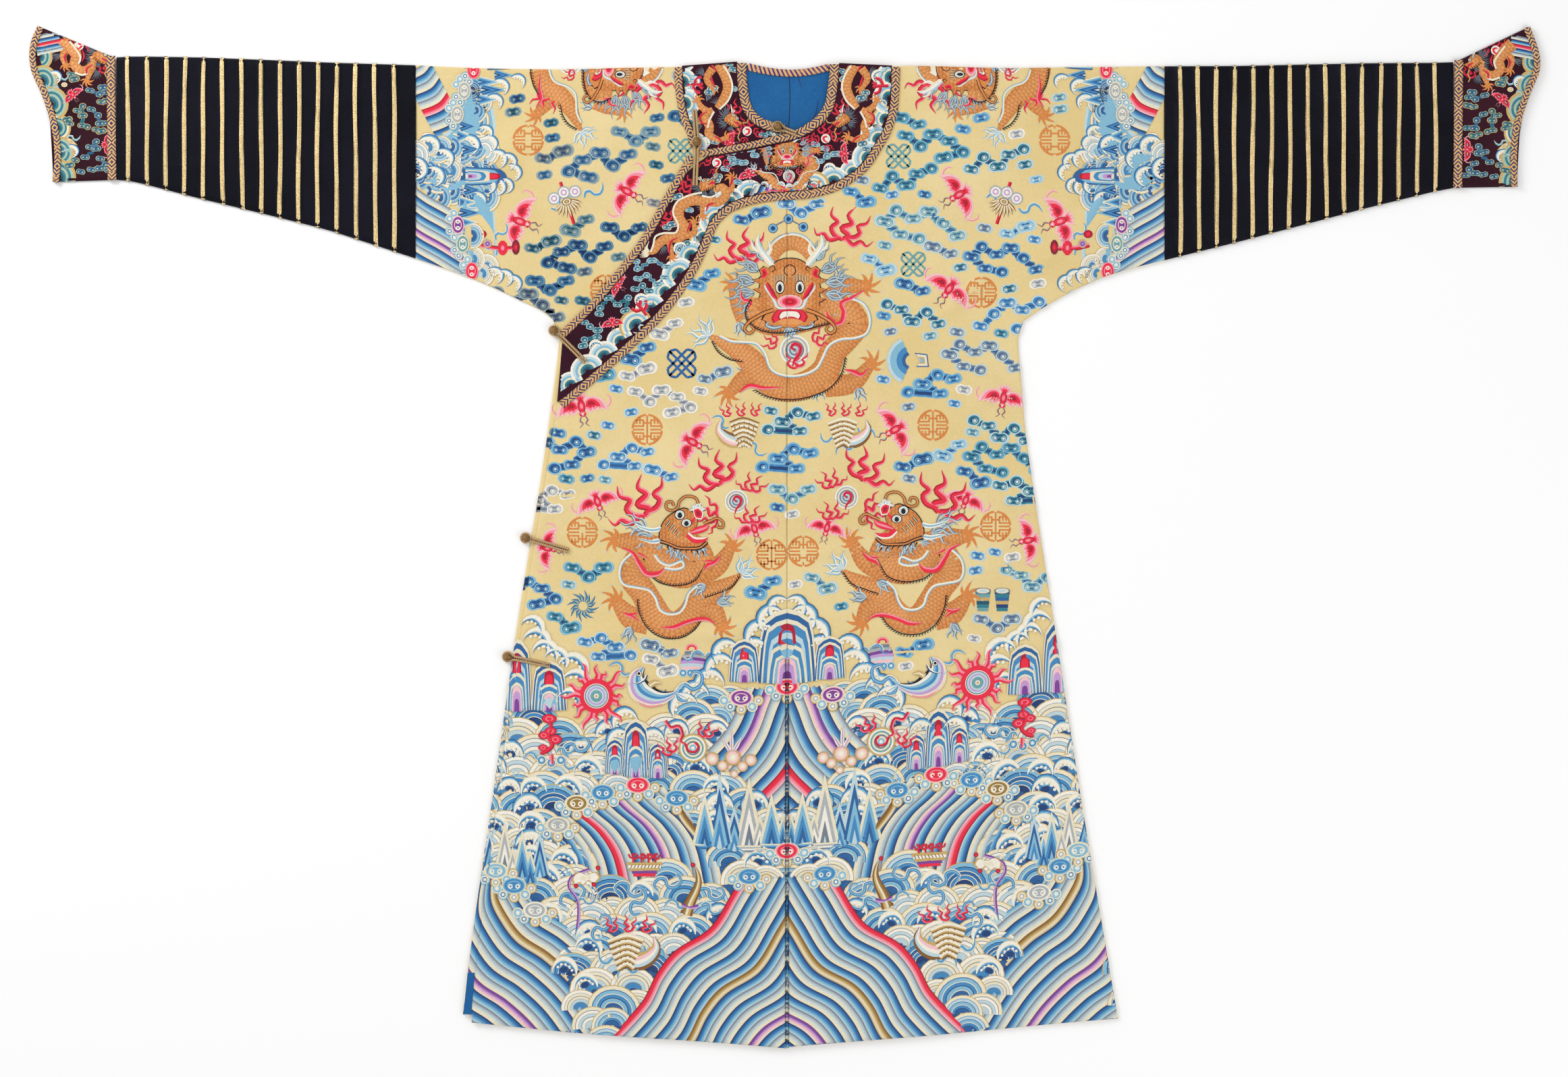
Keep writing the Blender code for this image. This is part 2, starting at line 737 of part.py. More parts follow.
def build_cuff(label):
    """A horse-hoof cuff: a short flattened tube that flares to a tip over the back of the hand."""
    side, joint, edge = CUFFS[label]
    edge = [tuple(p) for p in curve_through(edge, 0.022)]
    shares = [i / CUFF_STEPS for i in range(CUFF_STEPS + 1)]
    lines = [cuff_line(side, joint, edge, share, 0.0) for share in shares]
    outer = [flat_tube_ring(line, CUFF_HEIGHT, 0.0, 0.0, 0.0004) for line in lines]
    inner = [flat_tube_ring(line, CUFF_HEIGHT, 0.0013, 0.0, 0.0004) for line in lines]
    build_tube(f"cuff_{label}", outer, inner, "aubergine_satin")
    top = CUFF_HEIGHT + 0.0004 + SEAM_GAP
    trims = (("cuff_joint_trim", 0.0, CUFF_JOINT_WIDTH), ("cuff_edge_binding", 1.0, CUFF_EDGE_WIDTH))
    for name, share, width in trims:
        line = cuff_line(side, joint, edge, share, (0.5 - share) * width)
        binding(f"{name}_{label}", line if side < 0 else line[::-1], width, top)


# ---------------------------------------------------------------- fastenings
def build_ball(name, x, y, z):
    bpy.ops.mesh.primitive_uv_sphere_add(segments=14, ring_count=9, radius=BALL_RADIUS, location=(x, y, z))
    ball = bpy.context.object
    ball.name = name
    for owner in list(ball.users_collection):
        owner.objects.unlink(ball)
    robe.objects.link(ball)
    ball.data.shade_smooth()
    ball.data.materials.append(finish("gilt_cord"))


def build_loop(name, ball_spot, end_spot, near_z, end_z, reach):
    """A doubled cord from its sewn end to the ball, whose stem it goes round, and back."""
    start, end = Vector(ball_spot), Vector(end_spot)
    along = (start - end).normalized()
    across = Vector((-along.y, along.x))
    turn = start - reach * along
    length = (turn - end).length
    runs = []
    for i in range(LOOP_POINTS + 1):
        share = i / LOOP_POINTS
        spot = end + share * length * along
        runs.append((spot, end_z + (near_z - end_z) * smooth_step(3 * share)))
    route = [(*(spot + LOOP_SPREAD * across), z) for spot, z in runs]
    for i in range(1, 6):
        angle = math.radians(90 - 30 * i)
        spot = turn + LOOP_SPREAD * (math.cos(angle) * along + math.sin(angle) * across)
        route.append((*spot, near_z))
    route += [(*(spot - LOOP_SPREAD * across), z) for spot, z in reversed(runs)]
    curve = bpy.data.curves.new(name, "CURVE")
    curve.dimensions = "3D"
    curve.bevel_depth = CORD_RADIUS
    curve.bevel_resolution = 1
    curve.use_fill_caps = True
    spline = curve.splines.new("POLY")
    spline.points.add(len(route) - 1)
    for point, spot in zip(spline.points, route):
        point.co = (*spot, 1.0)
    loop = bpy.data.objects.new(name, curve)
    curve.materials.append(finish("gilt_cord"))
    robe.objects.link(loop)


def build_fastenings():
    """Five knotted balls on the inner side, each caught by a loop that is sewn to the outer front."""
    binding_height = BINDING_CROWN + BINDING_CLOTH
    tops = {
        "surface": -SEAM_GAP,
        "inner_cloth": INNER_TOP,
        "inner_binding": INNER_TOP + SEAM_GAP + binding_height,
        "outer_cloth": FRONT_TOP,
        "outer_band": FRONT_TOP + SEAM_GAP + BAND_CLOTH,
        "outer_binding": FRONT_TOP + SEAM_GAP + binding_height,
    }
    cord = SEAM_GAP + CORD_RADIUS
    for name, (spot, rest) in BALLS.items():
        build_ball(f"ball_{name}", *spot, tops[rest] + SEAM_GAP + BALL_RADIUS)
    for name, (ball, end, near_rest, end_rest) in LOOPS.items():
        ball_spot, ball_rest = BALLS[ball]
        near_z, end_z = tops[near_rest] + cord, tops[end_rest] + cord
        level = tops[ball_rest] + SEAM_GAP + BALL_RADIUS - near_z
        touching = math.sqrt((BALL_RADIUS + CORD_RADIUS + SEAM_GAP) ** 2 - level**2)
        build_loop(name, ball_spot, end, near_z, end_z, touching + LOOP_SPREAD)


clear_scene()
build_back()
build_inner_front()
build_outer_front()
build_neck_lining()
build_collar()
for label in ("left", "right"):
    build_sleeve(label)
    build_cuff(label)
build_fastenings()
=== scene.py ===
"""A Chinese dragon robe, laid flat with its front up: the looks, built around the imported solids.

Metres, +Z up. Shoulders are towards +Y and the wearer's right is at -X. Motifs are drawn in
millimetres in the same axes.
"""

import math
import random

import bmesh
import bpy
import numpy as np
from mathutils.bvhtree import BVHTree
from mathutils.geometry import delaunay_2d_cdt
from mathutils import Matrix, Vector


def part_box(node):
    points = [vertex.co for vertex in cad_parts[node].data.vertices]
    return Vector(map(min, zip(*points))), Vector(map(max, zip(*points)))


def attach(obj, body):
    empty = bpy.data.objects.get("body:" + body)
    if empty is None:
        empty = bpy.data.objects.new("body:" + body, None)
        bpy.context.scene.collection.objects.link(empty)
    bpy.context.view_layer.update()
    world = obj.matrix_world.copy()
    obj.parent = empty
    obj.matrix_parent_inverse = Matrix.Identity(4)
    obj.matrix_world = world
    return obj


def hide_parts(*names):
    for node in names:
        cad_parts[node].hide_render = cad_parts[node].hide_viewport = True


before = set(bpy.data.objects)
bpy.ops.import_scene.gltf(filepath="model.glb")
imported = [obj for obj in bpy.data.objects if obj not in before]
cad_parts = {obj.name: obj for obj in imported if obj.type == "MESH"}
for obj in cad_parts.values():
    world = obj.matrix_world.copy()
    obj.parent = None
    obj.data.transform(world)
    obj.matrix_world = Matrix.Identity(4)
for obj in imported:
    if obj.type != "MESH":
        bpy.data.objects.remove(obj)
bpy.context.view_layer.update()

MM = 0.001

# ---------------------------------------------------------------- view, floor and light
# The robe lies on a plain white studio floor and is seen from straight above, under large soft
# lamps. One is stronger and lower than the rest, so that creases and thread throw a soft shade.
LENS_MM, SENSOR_MM = 100.0, 36.0
VIEW_WIDTH = 2.2765
VIEW_CENTRE = (-0.001, -0.002)
VIEW_HEIGHT = VIEW_WIDTH * LENS_MM / SENSOR_MM


def linear(colour):
    """An sRGB hex colour as linear red, green, blue and alpha."""
    parts = [int(colour[i:i + 2], 16) / 255 for i in (1, 3, 5)]
    return (*(p / 12.92 if p <= 0.04045 else ((p + 0.055) / 1.055) ** 2.4 for p in parts), 1.0)


def add(tree, kind, settings=None, **links):
    """Adds a node. settings go on it or on its sockets, and links join a socket to another's output."""
    node = tree.nodes.new(kind)
    for name, value in (settings or {}).items():
        if hasattr(node, name):
            setattr(node, name, value)
        else:
            node.inputs[int(name) if name.isdigit() else name].default_value = value
    for name, source in links.items():
        socket = node.inputs[int(name[1:]) if name[1:].isdigit() else name.replace("_", " ")]
        tree.links.new(source, socket)
    return node


def new_material(name, settings):
    """A material with its Principled shader set, and that shader and the node tree."""
    material = bpy.data.materials.new(name)
    material.use_nodes = True
    tree = material.node_tree
    shader = tree.nodes["Principled BSDF"]
    for socket, value in settings.items():
        shader.inputs[socket].default_value = value
    return material, tree, shader


def new_piece(name, points, faces, material, smooth=True):
    """A mesh piece in its place, that rides with the robe."""
    mesh = bpy.data.meshes.new(name)
    mesh.from_pydata([tuple(p) for p in points], [], [tuple(f) for f in faces])
    mesh.materials.append(material)
    if smooth:
        mesh.shade_smooth()
    piece = bpy.data.objects.new(name, mesh)
    bpy.context.scene.collection.objects.link(piece)
    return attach(piece, "root")


camera = bpy.data.objects.new("camera", bpy.data.cameras.new("camera"))
camera.data.lens = LENS_MM
camera.data.sensor_width = SENSOR_MM
camera.location = (*VIEW_CENTRE, VIEW_HEIGHT)
bpy.context.scene.collection.objects.link(camera)
bpy.context.scene.camera = camera
bpy.context.scene.view_settings.view_transform = "Standard"

# Matt white paper, a little rough.
floor_paper, paper_tree, paper_shader = new_material("matt_white_paper", {"Roughness": 0.9})
paper_grain = add(paper_tree, "ShaderNodeTexNoise", {"Scale": 900.0})
paper_bump = add(paper_tree, "ShaderNodeBump", {"Strength": 0.05, "Distance": 0.0002},
                 Height=paper_grain.outputs["Fac"])
paper_tree.links.new(paper_bump.outputs["Normal"], paper_shader.inputs["Normal"])
paper_shader.inputs["Base Color"].default_value = linear("#FFFFFF")
paper_shader.inputs["Specular IOR Level"].default_value = 0.1
FLOOR_HALF, FLOOR_DROP = 9.0, 0.0004
SQUARE = ((-1, -1), (1, -1), (1, 1), (-1, 1))
floor_corners = [(x * FLOOR_HALF, y * FLOOR_HALF, -FLOOR_DROP) for x, y in SQUARE]
floor = new_piece("floor", floor_corners, [(0, 1, 2, 3)], floor_paper, smooth=False)

# name: place, what it points at, size, power in watts
LAMPS = {
    "key_lamp": ((-2.6, 2.4, 2.0), (0.0, 0.0, 0.0), 1.6, 62.0),
    "fill_lamp": ((2.4, -1.6, 3.0), (0.0, 0.0, 0.0), 3.0, 30.0),
}
for name, (place, aim, size, power) in LAMPS.items():
    lamp = bpy.data.objects.new(name, bpy.data.lights.new(name, "AREA"))
    lamp.data.size = size
    lamp.data.energy = power
    lamp.location = place
    towards = np.array(aim) - np.array(place)
    lamp.rotation_euler = Vector(towards).to_track_quat("-Z", "Y").to_euler()
    bpy.context.scene.collection.objects.link(lamp)
STUDIO_LIGHT = 0.72
studio = bpy.data.worlds.new("studio")
studio.use_nodes = True
studio_air = studio.node_tree.nodes["Background"].inputs
studio_air["Color"].default_value = linear("#FFFFFF")
studio_air["Strength"].default_value = STUDIO_LIGHT
bpy.context.scene.world = studio

# ---------------------------------------------------------------- silk panels
# The robe's body is pale gold-yellow silk: two lengths that each make half of the back and a front.
# The panels are cut flat, seamed up the centre, and turned in at their edges, so an edge is a soft
# roll. The cloth has the shallow creases of something kept folded and then laid out.
SEAM_GAP = 0.0003
FRONT_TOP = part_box("collar_flap")[0].z - SEAM_GAP
INNER_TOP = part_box("collar_left")[0].z - SEAM_GAP
CLOTH = 0.0016
CENTRE_X = 0.0034
SETTLE_WIDTH = 0.14
CORNER_TURN = math.radians(38)
EDGE_ROLL = 0.0011
# The large soft folds, then the smaller creases: middle, heading in degrees, length, width, rise.
FRONT_FOLDS = (
    (-0.175, -0.158, -3, 0.42, 0.012, -0.0019), (0.200, -0.166, 3, 0.46, 0.012, -0.0019),
    (-0.085, 0.478, 14, 0.17, 0.010, -0.0019), (0.075, 0.482, -10, 0.16, 0.010, -0.0019),
    (-0.105, 0.300, 2, 0.16, 0.011, -0.0019), (0.250, 0.455, -24, 0.15, 0.011, -0.0019),
    (-0.315, 0.060, 10, 0.12, 0.010, -0.0019), (0.335, -0.045, -8, 0.14, 0.010, -0.0019),
    (-0.210, -0.330, 5, 0.22, 0.012, -0.0019), (0.220, -0.350, -4, 0.24, 0.012, -0.0019),
    (-0.190, 0.050, 62, 0.34, 0.050, 0.0056),
    (-0.250, -0.150, 8, 0.22, 0.032, 0.0044),
    (-0.140, -0.165, -14, 0.20, 0.028, 0.0038),
    (-0.300, 0.120, 70, 0.18, 0.040, 0.0044),
    (-0.090, -0.420, 96, 0.44, 0.060, 0.006),
    (-0.270, -0.520, 102, 0.36, 0.055, 0.0056),
    (-0.380, -0.380, 98, 0.34, 0.045, 0.0044),
    (0.070, 0.210, 84, 0.30, 0.055, 0.005),
    (0.190, 0.090, 112, 0.40, 0.055, 0.0062),
    (0.270, 0.260, 132, 0.26, 0.045, 0.005),
    (0.110, -0.430, 84, 0.46, 0.060, 0.006),
    (0.290, -0.380, 76, 0.44, 0.060, 0.0062),
    (0.200, -0.120, 20, 0.24, 0.035, 0.0038),
    (0.400, 0.560, 158, 0.26, 0.045, 0.005),
    (0.420, 0.440, 24, 0.22, 0.040, 0.0044),
    (-0.060, 0.150, 4, 0.16, 0.010, 0.0026),
    (-0.230, 0.010, -6, 0.20, 0.012, 0.0031),
    (-0.100, -0.140, 8, 0.24, 0.012, 0.0034),
    (-0.300, -0.230, -4, 0.17, 0.012, 0.0028),
    (0.130, 0.330, -32, 0.16, 0.014, 0.0028),
    (0.260, 0.350, 40, 0.18, 0.012, 0.0031),
    (0.300, 0.200, 18, 0.12, 0.010, 0.0026),
    (0.320, 0.050, -12, 0.14, 0.012, 0.0028),
    (0.090, -0.020, 6, 0.20, 0.010, 0.0026),
    (0.340, -0.160, 10, 0.18, 0.012, 0.0031),
    (0.230, -0.270, -6, 0.20, 0.012, 0.0026),
    (0.070, -0.290, 14, 0.14, 0.010, 0.0023),
    (0.320, 0.610, 4, 0.20, 0.014, 0.0034),
    (0.460, 0.500, -8, 0.14, 0.012, 0.0028),
    (0.380, 0.400, 34, 0.12, 0.010, 0.0028),
    (-0.020, 0.430, 12, 0.12, 0.010, 0.002),
    (-0.120, 0.350, -28, 0.12, 0.010, 0.0023),
)
SHOULDER_FOLDS = (
    (-0.400, 0.560, 20, 0.26, 0.045, 0.0042),
    (-0.420, 0.440, 156, 0.22, 0.040, 0.0037),
    (-0.290, 0.520, 60, 0.20, 0.040, 0.003),
    (-0.330, 0.610, -4, 0.18, 0.012, 0.0023),
    (-0.460, 0.500, 10, 0.15, 0.012, 0.0021),
    (-0.340, 0.420, -36, 0.14, 0.012, 0.0023),
    (-0.250, 0.600, 16, 0.12, 0.010, 0.0019),
    (-0.400, 0.400, -30, 0.10, 0.010, 0.0019),
)


def smooth_step(t):
    """Eases from 0 to 1 as t goes from 0 to 1."""
    t = np.clip(t, 0.0, 1.0)
    return t * t * (3 - 2 * t)


def folds(x, y, table):
    """How far the folds and creases of the table lift the cloth."""
    rise = np.zeros_like(x)
    for middle_x, middle_y, heading, length, width, height in table:
        turn = math.radians(heading)
        dx, dy = x - middle_x, y - middle_y
        along = dx * math.cos(turn) + dy * math.sin(turn)
        across = dy * math.cos(turn) - dx * math.sin(turn)
        taper = np.clip(1 - (2 * along / length) ** 2, 0.0, None)
        rise += height * taper**2 * np.exp(-((1.6 * across / width) ** 2))
    return rise


def rim(node):
    """The outline of a solid's top, in order and anticlockwise, from the frame."""
    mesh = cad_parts[node].data
    mesh.calc_loop_triangles()
    sides = {}
    keys = [tuple(round(c, 6) for c in v.co) for v in mesh.vertices]
    for triangle in mesh.loop_triangles:
        if triangle.normal.z > 0.3:
            corners = [keys[i] for i in triangle.vertices]
            for start, end in zip(corners, corners[1:] + corners[:1]):
                if (end, start) in sides:
                    del sides[end, start]
                else:
                    sides[start, end] = True
    follow = {start[:2]: end[:2] for start, end in sides}
    loop = [max(follow)]
    while follow[loop[-1]] != loop[0]:
        loop.append(follow[loop[-1]])
    return np.array(loop)


def along_curve(points, step, closed=False, corner=CORNER_TURN):
    """Points a step apart on a smooth line through the given ones, which keeps sharper turns sharp."""
    rows = np.array(points, float)
    before, after = np.roll(rows, 1, 0), np.roll(rows, -1, 0)
    if not closed:
        before[0], after[-1] = rows[0], rows[-1]
    back, ahead = rows - before, after - rows
    far_back, far_ahead = np.linalg.norm(back, axis=1), np.maximum(np.linalg.norm(ahead, axis=1), 1e-9)
    slope = (after - before) / (far_back + far_ahead)[:, None]
    turn = np.abs(np.arctan2(back[:, 0] * ahead[:, 1] - back[:, 1] * ahead[:, 0], (back * ahead).sum(1)))
    found = []
    last = len(rows) if closed else len(rows) - 1
    for i in range(last):
        j = (i + 1) % len(rows)
        start, end, reach = rows[i], rows[j], far_ahead[i]
        leave = (end - start) / reach if turn[i] > corner else slope[i]
        arrive = (end - start) / reach if turn[j] > corner else slope[j]
        t = (np.arange(max(1, round(reach / step))) / max(1, round(reach / step)))[:, None]
        spot = start + (end - start) * t * t * (3 - 2 * t)
        found.append(spot + reach * t * (1 - t) * ((1 - t) * leave - t * arrive))
    if not closed:
        found.append(rows[-1:])
    return np.concatenate(found)


def across_of(path, closed=False):
    """The direction to the left of the path at each of its points."""
    if closed:
        run = np.roll(path, -1, 0) - np.roll(path, 1, 0)
    else:
        run = np.gradient(path, axis=0)
    run /= np.maximum(np.linalg.norm(run, axis=1), 1e-12)[:, None]
    return np.stack((-run[:, 1], run[:, 0]), 1)


def within(points, outline):
    """Which points are inside the closed outline."""
    x, y = points[:, 0, None], points[:, 1, None]
    x0, y0 = outline.T
    x1, y1 = np.roll(outline, -1, 0).T
    with np.errstate(divide="ignore", invalid="ignore"):
        crossing = ((y0 > y) != (y1 > y)) & (x < x0 + (x1 - x0) * (y - y0) / (y1 - y0))
    return crossing.sum(1) % 2 == 1


def cut_cloth(name, outline, top, step, thick, material, roll=EDGE_ROLL):
    """A panel: its outline, two rings inside it that round the edge over, and a lattice between."""
    edge = along_curve(outline, step, closed=True)
    inward = across_of(edge, closed=True)
    rings = [edge, edge + inward * roll, edge + inward * 3 * roll]
    low, high = edge.min(0), edge.max(0)
    rows, columns = int((high[1] - low[1]) / (0.87 * step)) + 1, int((high[0] - low[0]) / step) + 1
    i, j = np.meshgrid(np.arange(columns), np.arange(rows))
    lattice = np.stack((low[0] + (i + 0.5 * (j % 2)) * step, low[1] + j * 0.87 * step), -1).reshape(-1, 2)
    lattice = lattice[within(lattice, rings[2] + inward * 0.35 * step)]
    xy = np.concatenate((*rings, lattice))
    drop = np.zeros(len(xy))
    drop[:len(edge)] = roll
    drop[len(edge):2 * len(edge)] = 0.2 * roll
    sides = [(k, (k + 1) % len(edge)) for k in range(len(edge))]
    corners, _, faces, origins, *_ = delaunay_2d_cdt([Vector(p) for p in xy.tolist()], sides, [], 1, 1e-7)
    spots = np.array([tuple(c) for c in corners])
    falls = np.array([drop[o[0]] if o else 0.0 for o in origins])
    z = top(spots[:, 0], spots[:, 1]) - falls
    piece = new_piece(name, np.column_stack((spots, z)), faces, material)
    wall = piece.modifiers.new("wall", "SOLIDIFY")
    wall.thickness = thick
    wall.offset = -1.0
    return piece


def cut_area(outline):
    """The area inside a closed outline."""
    x, y = outline.T
    return abs(float(np.dot(x, np.roll(y, -1)) - np.dot(y, np.roll(x, -1)))) / 2


def declare_cloth(outline):
    """Works out the panel's flat cut, the smallest rectangle it can be cut from, and its own area, and keeps
    neither.
    """
    turns = np.radians(np.arange(0, 90, 2))
    sizes = [np.ptp(outline @ np.array(((math.cos(a), -math.sin(a)), (math.sin(a), math.cos(a)))), 0)
             for a in turns]
    size = min(sizes, key=np.prod)
    area = min(cut_area(outline), float(size.prod()))


rims = {node: rim(node) for node in (
    "back_left", "back_right", "inner_front", "outer_front_left", "outer_front_right",
    "collar_flap", "collar_left", "neck_lining", "inner_hem_facing")}
right = rims["outer_front_right"]
SIDE_TOP_Y = 0.287
right_side = right[(right[:, 0] > 0.3) & (right[:, 1] <= SIDE_TOP_Y + 0.001)]
right_side = right_side[np.argsort(right_side[:, 1])]


def front_top(x, y):
    """The outer front's upper face: level over the overlap, down to the back at the right side."""
    side = np.interp(y, right_side[:, 1], right_side[:, 0])
    high = smooth_step((side - x) / SETTLE_WIDTH)
    return INNER_TOP + (FRONT_TOP - INNER_TOP) * high + folds(x, y, FRONT_FOLDS)


def inner_top(x, y):
    """The inner front's upper face."""
    return INNER_TOP + folds(x, y, SHOULDER_FOLDS)


# Pale gold-yellow silk, plain woven: a soft sheen, and a little uneven in its dye. Real threads lie
# about 0.1 mm apart. They are drawn ten times as coarse, so that the weave shows.
SILK_THREAD, SILK_DEPTH = 0.0011, 0.00012
silk, silk_tree, silk_shader = new_material(
    "yellow_silk_weave",
    {"Roughness": 0.5, "Sheen Weight": 0.15, "Sheen Roughness": 0.4, "Specular IOR Level": 0.35}
)


def weave(tree, shader, thread, depth, colours, noise_scale=6.0):
    """Warp and weft as a bump, a thread apart, over a colour that drifts between the given ones."""
    spots = 0.35
    place = add(tree, "ShaderNodeTexCoord").outputs["Object"]
    drift = add(tree, "ShaderNodeTexNoise", {"Scale": noise_scale, "Detail": 5.0, "Roughness": 0.6},
                Vector=place)
    fine = add(tree, "ShaderNodeTexNoise", {"Scale": noise_scale * 40, "Detail": 2.0}, Vector=place)
    both = add(tree, "ShaderNodeMath", {"operation": "MULTIPLY_ADD", "1": spots},
               _0=fine.outputs["Fac"], _2=drift.outputs["Fac"])
    ramp = add(tree, "ShaderNodeValToRGB", _0=both.outputs[0])
    ramp.color_ramp.elements[0].position = 0.35 + spots / 2
    ramp.color_ramp.elements[1].position = 0.65 + spots / 2
    ramp.color_ramp.elements[0].color = linear(colours[0])
    ramp.color_ramp.elements[1].color = linear(colours[1])
    lines = []
    for axis in ("X", "Y"):
        wave = add(tree, "ShaderNodeTexWave", {"bands_direction": axis, "Scale": math.pi / (10 * thread),
                                               "Distortion": 0.6, "Detail": 1.0}, Vector=place)
        lines.append(wave.outputs["Fac"])
    cloth = add(tree, "ShaderNodeMath", {"operation": "ADD"}, _0=lines[0], _1=lines[1])
    bump = add(tree, "ShaderNodeBump", {"Strength": 0.6, "Distance": depth}, Height=cloth.outputs[0])
    tree.links.new(ramp.outputs["Color"], shader.inputs["Base Color"])
    tree.links.new(bump.outputs["Normal"], shader.inputs["Normal"])
    return ramp


weave(silk_tree, silk_shader, SILK_THREAD, SILK_DEPTH, ("#E2C888", "#EAD49B"))
FRONT_STEP, BACK_STEP = 0.0085, 0.03
panels = {
    "outer_front_left": (front_top, FRONT_STEP),
    "outer_front_right": (front_top, FRONT_STEP),
    "inner_front": (inner_top, FRONT_STEP),
    "back_left": (lambda x, y: np.full_like(x, CLOTH), BACK_STEP),
    "back_right": (lambda x, y: np.full_like(x, CLOTH), BACK_STEP),
}
for node, (top, step) in panels.items():
    outline = rims[node]
    panel = cut_cloth(f"{node}_silk", outline, top, step, CLOTH - EDGE_ROLL / 2, silk)
    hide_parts(node)
    declare_cloth(outline)

# ---------------------------------------------------------------- collar
# The collar band is dark aubergine satin, cut to the curve of the neck and down the overlap, and
# laid on the silk. Brocade bindings cover its edges.
SATIN_THREAD, SATIN_DEPTH = 0.0009, 0.00008
BAND_STEP, BAND_CLOTH, BAND_ROLL = 0.009, 0.0007, 0.0003
UNDER_BINDING = 0.0022
# Aubergine satin: woven dense and smooth, so it is a deep, quiet colour with a broad soft shine.
aubergine, aubergine_tree, aubergine_shader = new_material(
    "aubergine_satin", {"Roughness": 0.45, "Specular IOR Level": 0.12}
)
weave(aubergine_tree, aubergine_shader, SATIN_THREAD, SATIN_DEPTH, ("#2B0B1A", "#3A1224"), 9.0)
for node in ("collar_flap", "collar_left"):
    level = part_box(node)[1].z
    turned_under = rims[node] - across_of(rims[node], True) * UNDER_BINDING
    band = cut_cloth(f"{node}_satin", turned_under, lambda x, y, z=level: np.full_like(x, z),
                     BAND_STEP, BAND_CLOTH, aubergine, roll=BAND_ROLL)
    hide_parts(node)
    declare_cloth(rims[node])

# ---------------------------------------------------------------- blue lining
# Plain blue silk lines the robe. It shows through the neck, with its own centre seam, and at the
# inner front's corner.
LINING_STEP, LINING_CLOTH, LINING_DEPTH = 0.004, 0.0007, 0.0001
# Blue silk: plain woven and dyed in the piece, clear in colour and nearly matt.
blue_silk, blue_tree, blue_shader = new_material(
    "blue_silk_lining", {"Roughness": 0.55, "Specular IOR Level": 0.15}
)
weave(blue_tree, blue_shader, SILK_THREAD, LINING_DEPTH, ("#185890", "#22659F"))
NECK_CREASES = (
    (0.020, 0.640, 80, 0.07, 0.006, 0.0006),
    (0.040, 0.650, 60, 0.06, 0.008, 0.0005),
    (-0.025, 0.625, 100, 0.07, 0.008, 0.0005),
    (CENTRE_X, 0.630, 90, 0.16, 0.0024, -0.0006),
)
for node in ("neck_lining", "inner_hem_facing"):
    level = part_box(node)[1].z
    lining = cut_cloth(f"{node}_silk", rims[node],
                       lambda x, y, z=level: z + folds(x, y, NECK_CREASES),
                       LINING_STEP, LINING_CLOTH, blue_silk, roll=BAND_ROLL)
    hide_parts(node)
    declare_cloth(rims[node])

# ---------------------------------------------------------------- embroidery: how it is made
# Flat floss silk in satin stitch, laid side by side over the ground, each motif in three or four
# shades. Gold motifs are couched: a wrapped gold thread laid in pairs. All of it is drawn here as
# ribbons, blobs and sheaves in millimetres, and settled onto the cloth below it.
FLOSS_DYES = {
    "navy": "#1B3F74", "deep": "#2B629B", "blue": "#4389BE", "sky": "#85BAD3", "pale": "#BFD6DB",
    "white": "#F4EEDF", "cream": "#ECE1C3", "grey": "#AEB3B6", "slate": "#76808E", "violet": "#A79CC0",
    "teal": "#6FA3A6", "gold": "#DB8845", "amber": "#E79C5A", "bronze": "#855A2E", "brown": "#9C7A3E",
    "tan": "#CBAA68", "red": "#EC2844", "crimson": "#B3142E", "pink": "#F58FA0", "rose": "#F7C3C6",
    "purple": "#7E4296", "lilac": "#C39BD0", "black": "#14161C", "green": "#7FA08A",
    "ink": "#172C54", "maroon": "#7A1530", "sea": "#2E7C8C", "lagoon": "#1D5468", "sage": "#A9BFA9",
}
TINTS = {name: linear(code)[:3] for name, code in FLOSS_DYES.items()}
EDGE_SINK = 0.14
SEAM_X, SEAM_HALF = CENTRE_X / MM, 0.25
# Which of the threads below a patch of stitches is worked in.
FLOSS, COUCHED, DULL, BRAID = 0, 1, 2, 3


def new_work():
    """Stitches that aren't sewn down yet."""
    return {"xy": [], "lift": [], "tint": [], "uv": [], "quads": [], "kinds": [], "count": 0}


def stitch(work, xy, lift, tint, uv, quads, kind):
    """Adds a patch of stitches: its points, how high they are, and its four-cornered faces."""
    work["xy"].append(xy)
    work["lift"].append(lift)
    work["tint"].append(tint)
    work["uv"].append(uv)
    work["quads"].append(quads + work["count"])
    work["kinds"].append(np.full(len(quads), kind))
    work["count"] += len(xy)


def put(points, spot):
    """Points of a motif moved to the spot: x, y, turn in degrees, size, and -1 where it is mirrored."""
    x, y, turn, size, flip = (*spot, 0, 1, 1)[:2] + (*spot[2:], *(0, 1, 1)[len(spot) - 2:])
    a = math.radians(turn)
    rows = np.array(points, float)
    flat = rows[:, :2] * (size * flip, size)
    turned = flat @ np.array(((math.cos(a), math.sin(a)), (-math.sin(a), math.cos(a)))) + (x, y)
    return np.column_stack((turned, rows[:, 2:] * size))


def grid_quads(rows, columns, closed=False, skip=1):
    """Faces between neighbouring rows. Every skip-th gap between columns has no face."""
    last = rows if closed else rows - 1
    i, j = np.meshgrid(np.arange(last), np.arange(columns - 1), indexing="ij")
    i, j = i.ravel(), j.ravel()
    keep = (j % skip) != skip - 1 if skip > 1 else np.ones(len(j), bool)
    i, j = i[keep], j[keep]
    n = (i + 1) % rows
    return np.column_stack((i * columns + j, i * columns + j + 1, n * columns + j + 1, n * columns + j))


